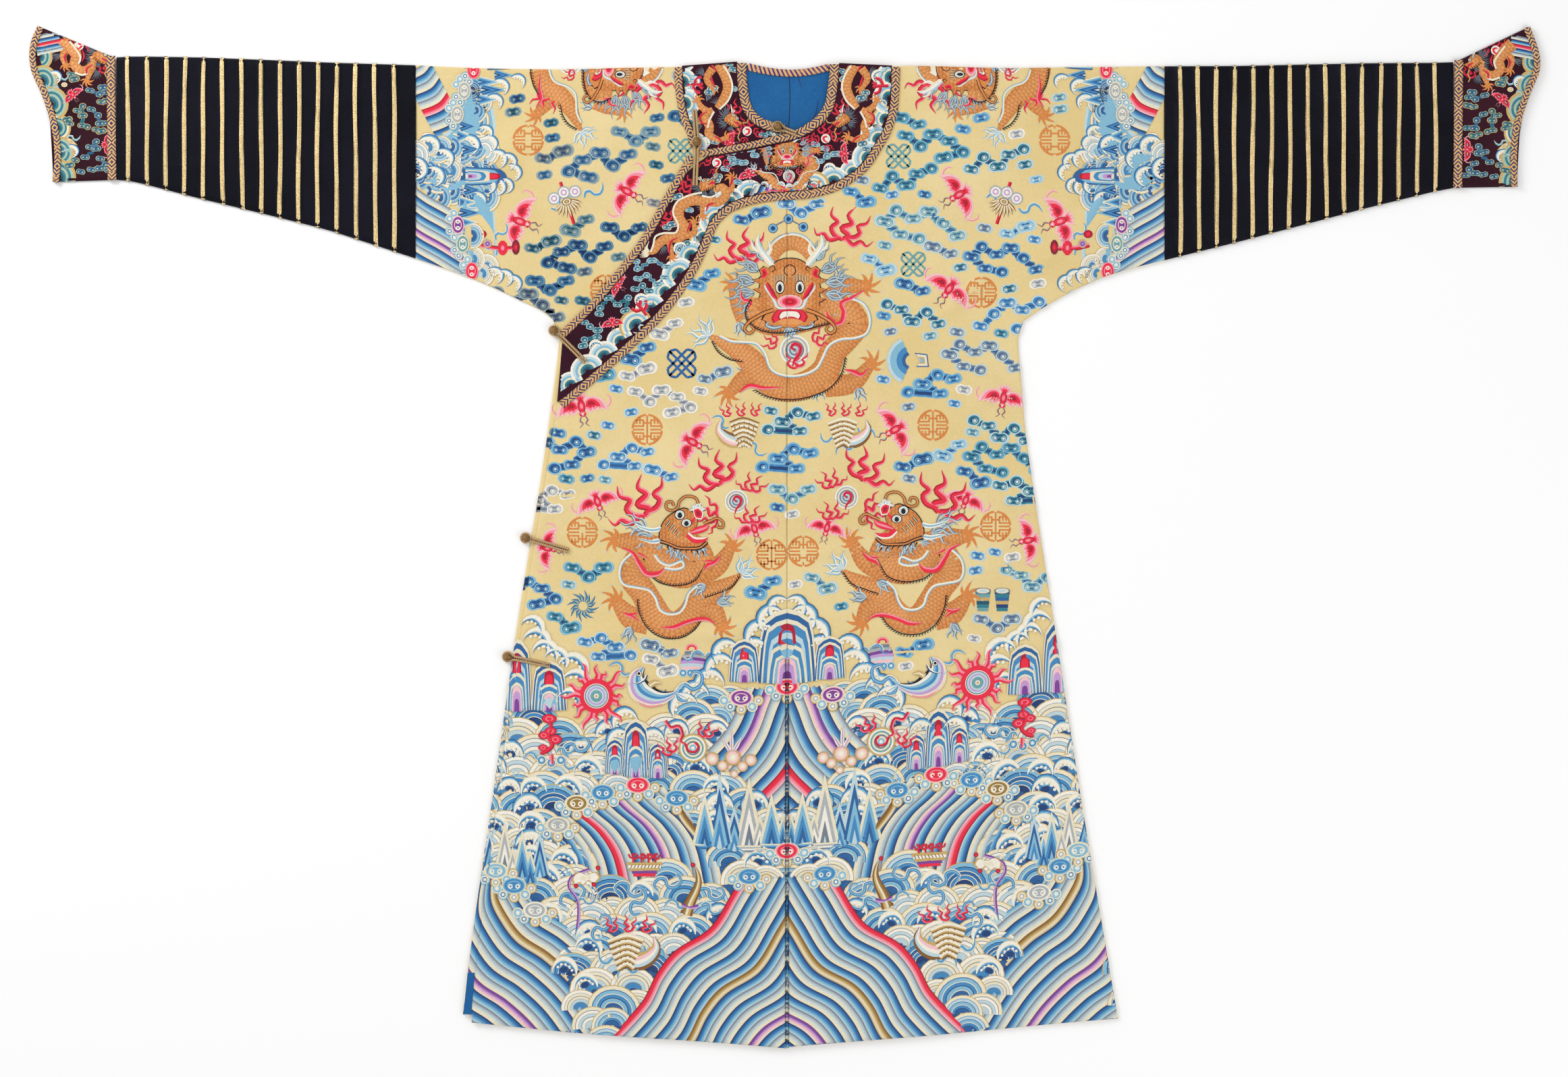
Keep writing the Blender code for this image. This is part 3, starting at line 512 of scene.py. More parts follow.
def ribbon(work, path, tints, lift, wide=None, spot=None, rise=0.2, step=3.0, closed=False, soft=False,
           kind=FLOSS, lanes=None, sink=EDGE_SINK):
    """A band of stitches along a path, its tints side by side from left to right."""
    rows = np.array(path, float)
    if rows.shape[1] == 2:
        rows = np.column_stack((rows, np.full(len(rows), wide)))
    if spot is not None:
        rows = put(rows, spot)
    rows = along_curve(rows, step, closed, math.pi)
    centre, width = rows[:, :2], rows[:, 2]
    side = across_of(centre, closed)
    run = np.concatenate(([0], np.cumsum(np.linalg.norm(np.diff(centre, axis=0), axis=1))))
    count = len(tints)
    if soft:
        share = np.linspace(1, -1, count)
        colours = [TINTS[t] for t in tints]
    else:
        bounds = np.linspace(1, -1, count + 1) if lanes is None else np.array(lanes)
        share = np.repeat(bounds, 2)[1:-1]
        colours = [TINTS[t] for t in tints for _ in (0, 1)]
    n, m = len(centre), len(share)
    xy = centre[:, None, :] + side[:, None, :] * (share[None, :, None] * width[:, None, None] / 2)
    height = lift + rise * (1 - share**2)
    height[0] -= sink
    height[-1] -= sink
    uv = np.stack((np.broadcast_to(run[:, None], (n, m)), share[None] * width[:, None] / 2), -1)
    stitch(work, xy.reshape(-1, 2), np.tile(height, n), np.tile(colours, (n, 1)), uv.reshape(-1, 2),
           grid_quads(n, m, closed, 1 if soft else 2), kind)


def blob(work, outline, tints, lift, shares=None, spot=None, rise=0.25, step=3.0, soft=False,
         corner=math.radians(70), middle=None, kind=FLOSS, sink=EDGE_SINK):
    """A filled shape: rings of tints from its rim to its middle, padded up in the middle."""
    edge = np.array(outline, float)
    if spot is not None:
        edge = put(edge, spot)
    if step:
        edge = along_curve(edge, step, True, corner)
    centre = edge.mean(0) if middle is None else put([middle], spot or (0, 0))[0]
    count = len(tints)
    if shares is None:
        shares = np.linspace(1, 0, count) if soft else np.linspace(1, 0, count + 1)
    shares = np.array(shares, float)
    if soft:
        share = np.append(shares, 0.0) if shares[-1] > 0 else shares
        colours = [TINTS[t] for t in tints] + ([TINTS[tints[-1]]] if shares[-1] > 0 else [])
    else:
        bounds = np.append(shares, 0.0) if len(shares) == count else shares
        share = np.repeat(bounds, 2)[1:-1]
        colours = [TINTS[t] for t in tints for _ in (0, 1)]
    n, m = len(edge), len(share)
    xy = centre + (edge[:, None, :] - centre) * share[None, :, None]
    height = lift + rise * (1 - share**2)
    height[0] -= sink
    stitch(work, xy.reshape(-1, 2), np.tile(height, n), np.tile(colours, (n, 1)), xy.reshape(-1, 2),
           grid_quads(n, m, True, 1 if soft else 2), kind)


def ring_points(x, y, wide, high=None, sides=12, start=0.0, end=360.0):
    """Points round an oval, or on a part of it."""
    full = abs(end - start) >= 360
    angles = np.radians(np.linspace(start, end, sides + 1)[:-1] if full else np.linspace(start, end, sides))
    high = wide if high is None else high
    return np.column_stack((x + wide / 2 * np.cos(angles), y + high / 2 * np.sin(angles)))


def disc(work, x, y, wide, tints, lift, high=None, shares=None, spot=None, rise=0.2, sides=12, kind=FLOSS,
         sink=0.06):
    """A round or oval spot, in rings of tints."""
    blob(work, ring_points(x, y, wide, high, sides), tints, lift, shares, spot, rise, None, kind=kind,
         middle=(x, y) if spot is not None else None, sink=sink)


def mirrored(work, shear=0.0):
    """The same stitches on the other side of the centre seam, raised in step with how far out they are."""
    other = {key: list(value) if isinstance(value, list) else value for key, value in work.items()}
    flipped = []
    for xy in work["xy"]:
        far = SEAM_X - xy[:, 0]
        flipped.append(np.column_stack((SEAM_X + far, xy[:, 1] + shear * np.maximum(far, 0))))
    other["xy"] = flipped
    return other


def moved(work, dx, dy):
    """The same stitches, shifted."""
    return {**work, "xy": [xy + (dx, dy) for xy in work["xy"]]}


def merged(*works):
    """One work from several."""
    whole = new_work()
    for work in works:
        for key in ("xy", "lift", "tint", "uv", "kinds"):
            whole[key] += work[key]
        whole["quads"] += [quads + whole["count"] for quads in work["quads"]]
        whole["count"] += work["count"]
    return whole


def nearest_on(points, outline):
    """For each point, the nearest place on the closed outline, and the outward direction there."""
    start, run = outline, np.roll(outline, -1, 0) - outline
    length = np.maximum((run**2).sum(1), 1e-12)
    found = np.empty_like(points)
    for k, point in enumerate(points):
        t = np.clip(((point - start) * run).sum(1) / length, 0, 1)
        spots = start + run * t[:, None]
        found[k] = spots[((spots - point) ** 2).sum(1).argmin()]
    return found


def face_of(node, step=0.008):
    """The outline of a solid's upper face, in millimetres."""
    return along_curve(rims[node], step, True) / MM


def within_box(xy, outline):
    """Which points are inside the box round the outline."""
    low, high = outline.min(0), outline.max(0)
    return ((xy > low) & (xy < high)).all(1)


def settle(work, grounds):
    """Points moved in from beyond the cloth's edge, and the height of the cloth below each."""
    xy = np.concatenate(work["xy"])
    z = np.zeros(len(xy))
    free = np.ones(len(xy), bool)
    for outline, top in grounds:
        hit = free & within_box(xy, outline)
        hit[hit] = within(xy[hit], outline)
        z[hit] = top(xy[hit, 0] * MM, xy[hit, 1] * MM) / MM
        free &= ~hit
    rows = np.flatnonzero(free)
    if len(rows):
        best = np.full(len(rows), np.inf)
        moved = xy[rows].copy()
        for outline, top in grounds:
            spots = nearest_on(xy[rows], outline)
            far = ((spots - xy[rows]) ** 2).sum(1)
            closer = far < best
            best[closer] = far[closer]
            moved[closer] = spots[closer]
            z[rows[closer]] = top(spots[closer, 0] * MM, spots[closer, 1] * MM) / MM - EDGE_ROLL / MM / 2
        xy[rows] = moved
    return xy, z, free


def thread_material(name, settings, pitch, depth, wear, scales=None):
    """Thread laid side by side, pitch millimetres apart: its own colour, worn in places, and ribbed."""
    material, tree, shader = new_material(name, settings)
    tint = add(tree, "ShaderNodeAttribute", {"attribute_name": "tint"})
    place = add(tree, "ShaderNodeTexCoord").outputs["Object"]
    uneven = add(tree, "ShaderNodeTexNoise", {"Scale": 420.0, "Detail": 3.0}, Vector=place)
    strength = add(tree, "ShaderNodeMapRange", {"From Min": 0.3, "From Max": 0.7, "To Min": 1 - wear,
                                                "To Max": 1 + wear}, Value=uneven.outputs["Fac"])
    worn = add(tree, "ShaderNodeVectorMath", {"operation": "SCALE"}, _0=tint.outputs["Color"],
               Scale=strength.outputs["Result"])
    across = add(tree, "ShaderNodeUVMap", {"uv_map": "thread"})
    ribs = add(tree, "ShaderNodeTexWave", {"bands_direction": "X", "Scale": math.pi / (10 * pitch),
                                           "Distortion": 0.8, "Detail": 1.0}, Vector=across.outputs["UV"])
    bump = add(tree, "ShaderNodeBump", {"Strength": 0.5, "Distance": depth}, Height=ribs.outputs["Fac"])
    colour = worn.outputs["Vector"]
    if scales:
        colour = scale_lines(tree, across.outputs["UV"], colour, *scales)
    tree.links.new(colour, shader.inputs["Base Color"])
    tree.links.new(bump.outputs["Normal"], shader.inputs["Normal"])
    return material


def scale_lines(tree, uv, colour, long, wide, dark):
    """Darkens a colour along the edges of scales that overlap down the length of the ribbon."""
    parts = add(tree, "ShaderNodeSeparateXYZ", _0=uv)
    rows = add(tree, "ShaderNodeMath", {"operation": "DIVIDE", "1": long}, _0=parts.outputs["X"])
    row = add(tree, "ShaderNodeMath", {"operation": "FLOOR"}, _0=rows.outputs[0])
    down = add(tree, "ShaderNodeMath", {"operation": "FRACT"}, _0=rows.outputs[0])
    half = add(tree, "ShaderNodeMath", {"operation": "MULTIPLY", "1": 0.5}, _0=row.outputs[0])
    over = add(tree, "ShaderNodeMath", {"operation": "DIVIDE", "1": wide}, _0=parts.outputs["Y"])
    moved = add(tree, "ShaderNodeMath", {"operation": "ADD"}, _0=over.outputs[0], _1=half.outputs[0])
    side = add(tree, "ShaderNodeMath", {"operation": "FRACT"}, _0=moved.outputs[0])
    off = add(tree, "ShaderNodeMath", {"operation": "SUBTRACT", "1": 0.5}, _0=side.outputs[0])
    spot = add(tree, "ShaderNodeCombineXYZ", _0=down.outputs[0], _1=off.outputs[0])
    stretch = add(tree, "ShaderNodeVectorMath", {"operation": "MULTIPLY", "1": (0.62, 1.0, 0.0)},
                  _0=spot.outputs["Vector"])
    far = add(tree, "ShaderNodeVectorMath", {"operation": "LENGTH"}, _0=stretch.outputs["Vector"])
    line = add(tree, "ShaderNodeMapRange", {"From Min": 0.40, "From Max": 0.52, "To Min": 1.0,
                                            "To Max": dark}, Value=far.outputs["Value"])
    shaded = add(tree, "ShaderNodeVectorMath", {"operation": "SCALE"}, _0=colour,
                 Scale=line.outputs["Result"])
    return shaded.outputs["Vector"]


# Floss silk: untwisted, so satin stitches catch the light along the thread and read as fine ribs.
# Real strands are finer than the ribs, which are as coarse as they need to be to show.
floss = thread_material("floss_silk_thread", {"Roughness": 0.42, "Specular IOR Level": 0.3},
                        pitch=0.55, depth=0.00018, wear=0.07)
# Couched gold: paper-gold wound on silk, dulled by age, caught down along the edges of scales. Each
# scale's length and width in millimetres, and how dark its edge is.
couched = thread_material("couched_gold_thread",
                          {"Roughness": 0.40, "Metallic": 0.12, "Specular IOR Level": 0.35},
                          pitch=0.9, depth=0.00025, wear=0.10, scales=(5.2, 6.4, 0.72))
# Matt gold: the same thread laid singly, so it shines less and shows its wear more.
dull_floss = thread_material("matt_gold_thread",
                             {"Roughness": 0.5, "Metallic": 0.1, "Specular IOR Level": 0.3},
                             pitch=0.9, depth=0.00022, wear=0.12)
THREADS = [floss, couched, dull_floss]
ON_THE_CLOTH = 0.05


def sew(name, work, grounds, hidden=None, cut=None):
    """Makes a piece of the stitches, settled on the cloth. Those below the hidden outline are left
    out, and cut is the side of the centre seam that is kept."""
    xy, ground, free = settle(work, grounds)
    lift = np.concatenate(work["lift"])
    lift[free] = np.minimum(lift[free], ON_THE_CLOTH)
    quads = np.concatenate(work["quads"])
    kinds = np.concatenate(work["kinds"])
    tint = np.concatenate(work["tint"])
    uv = np.concatenate(work["uv"])
    keep = ~free[quads].all(1)
    if hidden is not None:
        under = within(xy, hidden)
        keep &= ~under[quads].all(1)
    if cut is not None:
        beyond = (xy[:, 0] - SEAM_X) * cut < SEAM_HALF
        xy[beyond, 0] = SEAM_X + SEAM_HALF * cut
        keep &= ~beyond[quads].all(1)
    quads, kinds = quads[keep], kinds[keep]
    spots = np.column_stack((xy, ground + lift)) * MM
    corner = spots[quads]
    turn = np.cross(corner[:, 2] - corner[:, 0], corner[:, 3] - corner[:, 1])[:, 2]
    quads[turn < 0] = quads[turn < 0][:, ::-1]
    mesh = bpy.data.meshes.new(name)
    used, quads = np.unique(quads, return_inverse=True)
    quads = quads.reshape(-1, 4)
    mesh.from_pydata(spots[used].tolist(), [], quads.tolist())
    colours = np.column_stack((tint[used], np.ones(len(used)))).astype(np.float32)
    mesh.color_attributes.new("tint", "FLOAT_COLOR", "POINT").data.foreach_set("color", colours.ravel())
    places = mesh.uv_layers.new(name="thread")
    places.data.foreach_set("uv", uv[used][quads].astype(np.float32).ravel())
    for material in THREADS:
        mesh.materials.append(material)
    mesh.polygons.foreach_set("material_index", kinds)
    mesh.shade_smooth()
    mesh.validate()
    piece = bpy.data.objects.new(name, mesh)
    bpy.context.scene.collection.objects.link(piece)
    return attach(piece, "root")


# The cloth that embroidery settles on: outline in millimetres, and the height of its face.
fronts = {node: face_of(node) for node in ("outer_front_left", "outer_front_right", "inner_front")}
outer_grounds = [(fronts["outer_front_left"], front_top), (fronts["outer_front_right"], front_top)]
inner_grounds = [(fronts["inner_front"], inner_top)]
collar_cover = face_of("collar_flap")

# ---------------------------------------------------------------- hem: water, waves and mountains
# The lowest third of the robe is water: rolling waves in rows, with curling foam, and sheaves of
# striped deep water that meet in a point at the centre seam. Satin stitch throughout.
STRIPES = {
    "b": ("ink", "navy", "deep", "blue", "sky", "pale"),
    "g": ("slate", "slate", "grey", "pale", "cream", "cream"),
    "r": ("maroon", "crimson", "red", "red", "pink", "rose"),
    "p": ("ink", "purple", "purple", "lilac", "rose", "cream"),
    "n": ("bronze", "bronze", "brown", "tan", "cream", "tan"),
}
# Where the six tints of a stripe lie across it: a fine dark edge first.
STRIPE_LANES = (0.0, 0.07, 0.26, 0.48, 0.72, 1.0)


def even(path, count):
    """So many points, evenly spaced on a smooth line through the given ones."""
    line = along_curve(path, 2.0, False, math.pi)
    run = np.concatenate(([0], np.cumsum(np.linalg.norm(np.diff(line, axis=0), axis=1))))
    share = np.linspace(0, run[-1], count)
    return np.column_stack([np.interp(share, run, line[:, k]) for k in range(2)])


STRIPE_STEP, STRIPE_PADDING = 5.0, 0.08


def sheaf(work, line, shift, stripes, region, lift):
    """Stripes of water side by side, each shaded across and padded. They keep to the region."""
    path = along_curve(line, STRIPE_STEP, False, math.pi)
    run = np.concatenate(([0], np.cumsum(np.linalg.norm(np.diff(path, axis=0), axis=1))))
    lanes = len(STRIPES["b"])
    share = np.concatenate([k + np.array(STRIPE_LANES) for k in range(len(stripes))]) / len(stripes)
    colours = [TINTS[t] for letter in stripes for t in STRIPES[letter]]
    n, m = len(path), len(share)
    xy = path[:, None] + np.array(shift) * share[None, :, None]
    height = lift + STRIPE_PADDING * np.abs(np.sin(math.pi * len(stripes) * share))
    uv = np.stack((np.broadcast_to(run[:, None], (n, m)),
                   np.broadcast_to(share * np.hypot(*shift), (n, m))), -1)
    quads = grid_quads(n, m, False, lanes)
    flat = xy.reshape(-1, 2)
    keep = within(flat[quads].mean(1), np.array(region, float))
    stitch(work, flat, np.tile(height, n), np.tile(colours, (n, 1)), uv.reshape(-1, 2), quads[keep], FLOSS)


# Across a wave: broad bands of floss, each under a fine dark line, inside a couched edge.
WAVE_LANES = (1.0, 0.92, 0.62, 0.55, 0.28, 0.21, -0.06, -0.13, -0.42, -0.49, -1.0)
WAVES = (
    ("tan", "cream", "slate", "white", "grey", "pale", "slate", "white", "grey", "pale"),
    ("tan", "cream", "deep", "sky", "cream", "blue", "navy", "sky", "cream", "deep"),
    ("tan", "cream", "blue", "pale", "deep", "sky", "cream", "blue", "navy", "deep"),
    ("tan", "white", "grey", "cream", "slate", "cream", "grey", "pale", "slate", "blue"),
    ("tan", "sky", "navy", "blue", "cream", "deep", "cream", "blue", "cream", "navy"),
)


def dome(work, x, y, reach, turn, tints, lift):
    """One rolling wave: arcs of thread one inside another."""
    angles = np.radians(np.linspace(-12, 192, 13))
    mid, wide = reach * 0.56, reach * 0.88
    path = np.column_stack((mid * np.cos(angles), 0.85 * mid * np.sin(angles), np.full(13, wide)))
    ribbon(work, path[::-1], tints, lift, spot=(x, y, turn), rise=0.0, step=reach, sink=0.0,
           lanes=WAVE_LANES if len(tints) + 1 == len(WAVE_LANES) else None)


def curl(work, x, y, size, turn, flip, lift=0.55, deep=True):
    """Foam that curls off a wave like a claw: a blue back, a white hollow and a row of drops."""
    spot = (x, y, turn, size, flip)
    if deep:
        disc(work, 0.05, -0.30, 1.25, ("deep", "navy"), lift - 0.02, 0.85, (1, 0.6), spot, 0.0, 9)
    claw = ((-0.95, -1.0, 0.10), (-0.98, -0.35, 0.52), (-0.62, 0.32, 0.74), (0.02, 0.62, 0.66),
            (0.62, 0.42, 0.42), (1.02, -0.06, 0.16), (1.10, -0.42, 0.02))
    ribbon(work, claw, ("navy", "blue", "sky", "cream", "white", "cream"), lift, spot=spot, rise=0.05,
           step=size * 0.3, lanes=(1, 0.84, 0.52, 0.22, 0.1, -0.7, -1), sink=0.03)
    for dx, dy in ((-0.66, -0.52), (-0.50, -0.14), (-0.20, 0.14), (0.18, 0.22), (0.54, 0.06)):
        disc(work, dx, dy, 0.27, ("white",), lift + 0.06, spot=spot, rise=0.05, sides=6)


def inside_any(x, y, shapes):
    """Whether the place is inside one of the shapes."""
    return any(within(np.array([(x, y)]), np.array(shape))[0] for shape in shapes)


WATER = [(-512, -260.5), (-394.5, -257), (-355, -264.5), (-294.5, -278.5), (-252.5, -272.5), (-169, -276.5),
         (-130, -260.5), (-100.5, -239), (-71, -219.5), (17, -223.5), (17, -788), (-512, -788)]
WATER_TOP, WATER_END = max(y for _, y in WATER), -748.5
WAVE_STEP, WAVE_ROW, WAVE_RISE = 55.0, 26.0, 0.06


def wave_lift(y):
    """How high a wave lies: each row overlaps the row above it."""
    return 0.12 + WAVE_RISE * max(0.0, WATER_TOP - y) / WAVE_ROW


# Sheaves: one stripe's line, the way the rest follow it, their order, where they show, and the height
# down the robe at which waves begin to overlap them.
SHEAVES = (
    (((-388.5, -372.5), (-355, -407.5), (-324, -435), (-302.5, -469.5), (-288.5, -529)), (199, 24.5),
     "bggbrgbgbpgbgbg",
     ((-349.5, -431), (-318, -402), (-267, -364.5), (-155.5, -362.5), (-124, -435), (-115, -456.5),
      (-73, -494), (-98.5, -515.5), (-169, -494), (-288.5, -515.5), (-302.5, -469.5), (-324, -435)),
     -456.5),
    (((-41.5, -175.5), (-59.5, -219.5), (-74, -258.5), (-90.5, -286), (-120, -317.5)), (166.5, -110),
     "gbpgbgbrgbgbgb",
     ((-86, -239), (-61, -219.5), (17, -219.5), (17, -401), (-22, -401), (-61, -364.5), (-124, -325.5),
      (-100.5, -288)), -327.5),
    (((-365, -391), (-379, -435), (-382.5, -476.5), (-370, -505.5), (-345.5, -538), (-306, -564.5),
      (-265, -603.5), (-223, -665.5), (-193.5, -719.5)), (-174.5, -196), "bgbgnbgbgbgpbgbgbgbg",
     ((-492.5, -494), (-409, -502), (-355, -533), (-318, -564.5), (-296.5, -592), (-318, -621.5),
      (-310, -658.5), (-277, -699.5), (-249.5, -741), (-492.5, -748.5)), -587),
    (((-22, -420.5), (-46.5, -464.5), (-75, -513.5), (-108.5, -566.5), (-159, -600), (-184.5, -631),
      (-208, -675), (-277, -748.5)), (192, -166.5), "rgbgbgbnbgbgbgpbgbgrb",
     ((-104.5, -494), (17, -494), (17, -768.5), (-277, -768.5), (-245.5, -721.5), (-208, -672.5),
      (-186.5, -629), (-163, -596), (-110, -564.5), (-81, -515.5)), -827),
)


BACKING_CELL = 7.0


def backing(work, region, tint, lift):
    """Plain floss under the waves, so that no ground shows between them."""
    low, high = np.min(region, 0), np.max(region, 0)
    n, m = (int(far / BACKING_CELL) + 2 for far in high - low)
    i, j = np.meshgrid(np.arange(n), np.arange(m), indexing="ij")
    flat = (low + np.stack((i, j), -1) * BACKING_CELL).reshape(-1, 2)
    quads = grid_quads(n, m)
    keep = within(flat[quads].mean(1), np.array(region, float))
    stitch(work, flat, np.full(len(flat), lift), np.tile(TINTS[tint], (len(flat), 1)), flat, quads[keep],
           FLOSS)


hem = new_work()
backing(hem, WATER, "deep", 0.06)
for line, shift, stripes, region, level in SHEAVES:
    sheaf(hem, line, shift, stripes, region, wave_lift(level))
sheaf_regions = [region for *_, region, _ in SHEAVES]
ribbon(hem, ((-156.5, -384), (-147.5, -405.5), (-126, -433)), STRIPES["n"], 0.8, 12.0)
seeds = random.Random(7)
rolled = []
for row in range(21):
    y = WATER_TOP + 4 - row * WAVE_ROW
    for k in range(12):
        x = WATER[0][0] - 10 + (k + 0.5 * (row % 2)) * WAVE_STEP + seeds.uniform(-7, 7)
        spot_y = y + seeds.uniform(-4, 4)
        reach, turn = seeds.uniform(34, 40), seeds.uniform(-22, 22)
        kind, foam, flip = seeds.choice((0, 0, 1, 1, 2, 3, 3, 4)), seeds.random(), seeds.choice((-1, 1))
        covered = inside_any(x, spot_y + 6, sheaf_regions)
        if covered or not inside_any(x, spot_y, (WATER,)) or x > SEAM_X + 20:
            continue
        lift = wave_lift(y) + 0.012 * (k % 2)
        dome(hem, x, spot_y, reach, turn, WAVES[kind], lift)
        rolled.append((x, spot_y, reach))
        if foam < 0.46:
            curl(hem, x + flip * 15, spot_y + 12, seeds.uniform(15, 19), -flip * seeds.uniform(0, 30), flip,
                 lift + 0.05)
# Wherever the rows leave water bare, one more wave rolls up.
SEARCH_STEP = 9.0
for y in np.arange(WATER_TOP - 8, WATER_END, -SEARCH_STEP):
    for x in np.arange(WATER[0][0], SEAM_X + 4, SEARCH_STEP):
        bare = all((x - a) ** 2 + ((y - b) / 0.85) ** 2 > (0.94 * r) ** 2 or y < b - 8
                   for a, b, r in rolled)
        if bare and inside_any(x, y, (WATER,)) and not inside_any(x, y, sheaf_regions):
            reach = seeds.uniform(28, 33)
            rolled.append((x, y - 14, reach))
            turn, kind = seeds.uniform(-15, 15), seeds.choice((0, 1, 2, 3))
            lift = wave_lift(y - 14) - 0.02 + 0.004 * (len(rolled) % 7)
            dome(hem, x, y - 14, reach, turn, WAVES[kind], lift)


def arch(work, spot, wide, high, tints, lift=0.9, shares=None):
    """A peak: pointed arches one inside another, on a common base."""
    outline = ((-0.5, 0), (-0.46, 0.45), (-0.38, 0.84), (-0.20, 0.95), (0, 1), (0.20, 0.95), (0.38, 0.84),
               (0.46, 0.45), (0.5, 0))
    shape = np.array(outline) * (wide, high)
    blob(work, shape, tints, lift, shares, spot, 0.1, wide * 0.3, corner=math.radians(60), middle=(0, 0),
         sink=0.05)


PEAK = ("cream", "deep", "cream", "blue", "pale", "blue", "cream", "sky")


def peak(work, x, y, wide, high, lift):
    """A mountain: a tall arch with a red tip, and a lower arch in front of it with a purple foot."""
    # Each arch: how far up its base is, its width, its height, its tints, its lift and its rings.
    arches = (
        (0, 1, 1, PEAK, 0, (1, 0.94, 0.86, 0.80, 0.68, 0.60, 0.52, 0.46)),
        (0.52, 0.30, 0.28, ("crimson", "red"), 0.12, (1, 0.7)),
        (-0.01, 0.66, 0.54, ("cream", "blue", "cream", "sky", "pale"), 0.2, (1, 0.90, 0.74, 0.66, 0.52)),
        (-0.02, 0.34, 0.36, ("rose", "lilac", "purple"), 0.34, (1, 0.8, 0.5)),
    )
    for base, across, up, tints, over, shares in arches:
        arch(work, (x, y + high * base, 0), wide * across, high * up, tints, lift + over, shares)


CHEVRON = ((-0.5, 0), (0, 1), (0.5, 0))


def rock(work, x, y, wide, high, tints, lift, turn=0, rise=0.1, sink=0.03):
    """A rock: chevrons of thread one inside another."""
    blob(work, np.array(CHEVRON) * (wide, high), tints, lift, None, (x, y, turn), rise, None,
         middle=(0, -high * 0.12), sink=sink)


for x, y, wide, high in (
    (-388.5, -251, 44, 104), (-341.5, -251, 52, 72), (-58.5, -209.5, 46, 62), (3.5, -211.5, 88, 108),
    (-216, -347, 40, 84), (-246.5, -343, 30, 52), (-184, -349, 30, 52),
):
    peak(hem, x, y, wide, high, 1.45)
for x, y, size, turn in (
    (-22, -113.5, 14, 20), (-37.5, -136, 15, 10), (-43.5, -160.5, 14, 0), (-10.5, -98, 12, 30),
    (-86.5, -162.5, 14, 15), (-94.5, -184, 15, 5), (-108.5, -206, 15, -5), (-365, -126.5, 12, -15),
    (-359, -147, 14, -10), (-347.5, -162.5, 13, 0), (-306, -184, 15, -10), (-300.5, -208, 15, -20),
    (-310, -233, 13, -20), (-330, -172.5, 12, -10), (-130, -223.5, 14, 0), (-232, -260.5, 13, 0),
    (-147.5, -239, 14, 10), (-241.5, -290, 12, 10), (-190.5, -290, 12, -10),
):
    curl(hem, x, y, size * 1.3, turn, 1 if x > SEAM_X - 250 else -1, 1.35, False)
ROCKS = (("cream", "sky", "blue", "deep", "sky"), ("pale", "deep", "sky", "blue", "pale"),
         ("cream", "grey", "white", "slate", "pale"))
for k, (x, y, wide, high) in enumerate((
    (-116, -445, 36, 76), (-94.5, -441, 40, 100), (-51.5, -447, 42, 100), (-19, -445, 38, 74),
    (-73, -449, 34, 60), (-36, -451, 30, 50), (-2.5, -445, 26, 44), (-428, -484, 28, 62),
    (-406, -484, 30, 74), (-380.5, -488, 30, 64), (-355, -488, 28, 62), (-394.5, -496, 26, 48),
    (-369, -498, 26, 46),
)):
    rock(hem, x, y, wide, high, ROCKS[k % 3], 1.2 + 0.03 * (k % 4))


def spiral_cloud(work, x, y, size, tints, lift):
    """A round lobe of a cloud, with a light rim, a darker ring and a white middle."""
    disc(work, x, y, size, (*tints, "white"), lift, shares=(1, 0.76, 0.50, 0.28), rise=0.1, sides=11)


PUFFS = (("cream", "sky", "pale"), ("tan", "cream", "grey"), ("sky", "cream", "blue"))


def ruyi(work, x, y, tint, pale, lift):
    """A wish-granting head: two curls under one brow, among small clouds."""
    for k, (dx, dy) in enumerate(((-25, -4), (25, -4), (-16, -13), (16, -13), (0, -17))):
        spiral_cloud(work, x + dx, y + dy, 16, PUFFS[k % 3], lift - 0.12 + 0.015 * k)
    disc(work, 0, 0, 36, ("cream", pale, tint, pale, tint), lift, 25, (1, 0.92, 0.80, 0.56, 0.46), (x, y),
         0.12, 18)
    for side in (-5, 5):
        disc(work, side, -1, 7.5, ("white", tint), lift + 0.15, shares=(1, 0.42), spot=(x, y), rise=0.05,
             sides=9)


for x, y, tint, pale in (
    (-63, -233, "purple", "rose"), (3.5, -217.5, "red", "pink"), (-213, -359.5, "red", "pink"),
    (-264, -370.5, "blue", "sky"), (-156.5, -378.5, "blue", "sky"), (-301.5, -386, "brown", "cream"),
    (-329, -417.5, "grey", "cream"), (-392.5, -505.5, "blue", "sky"), (-51.5, -492, "blue", "sky"),
    (3.5, -455.5, "red", "pink"), (-419, -484, "sky", "cream"), (-362, -541, "grey", "white"),
):
    ruyi(hem, x, y, tint, pale, 1.75)

# ---------------------------------------------------------------- lucky things
# Small emblems lie on the waves and the yellow ground: shells, fish, flaming wheels, coral, bells,
# cups and the like, each in a few shades, with silk streamers that wave beside them.
ON_WATER, ON_WAVES = 1.6, 1.4
STREAM = ("cream", "sky", "blue", "sky")


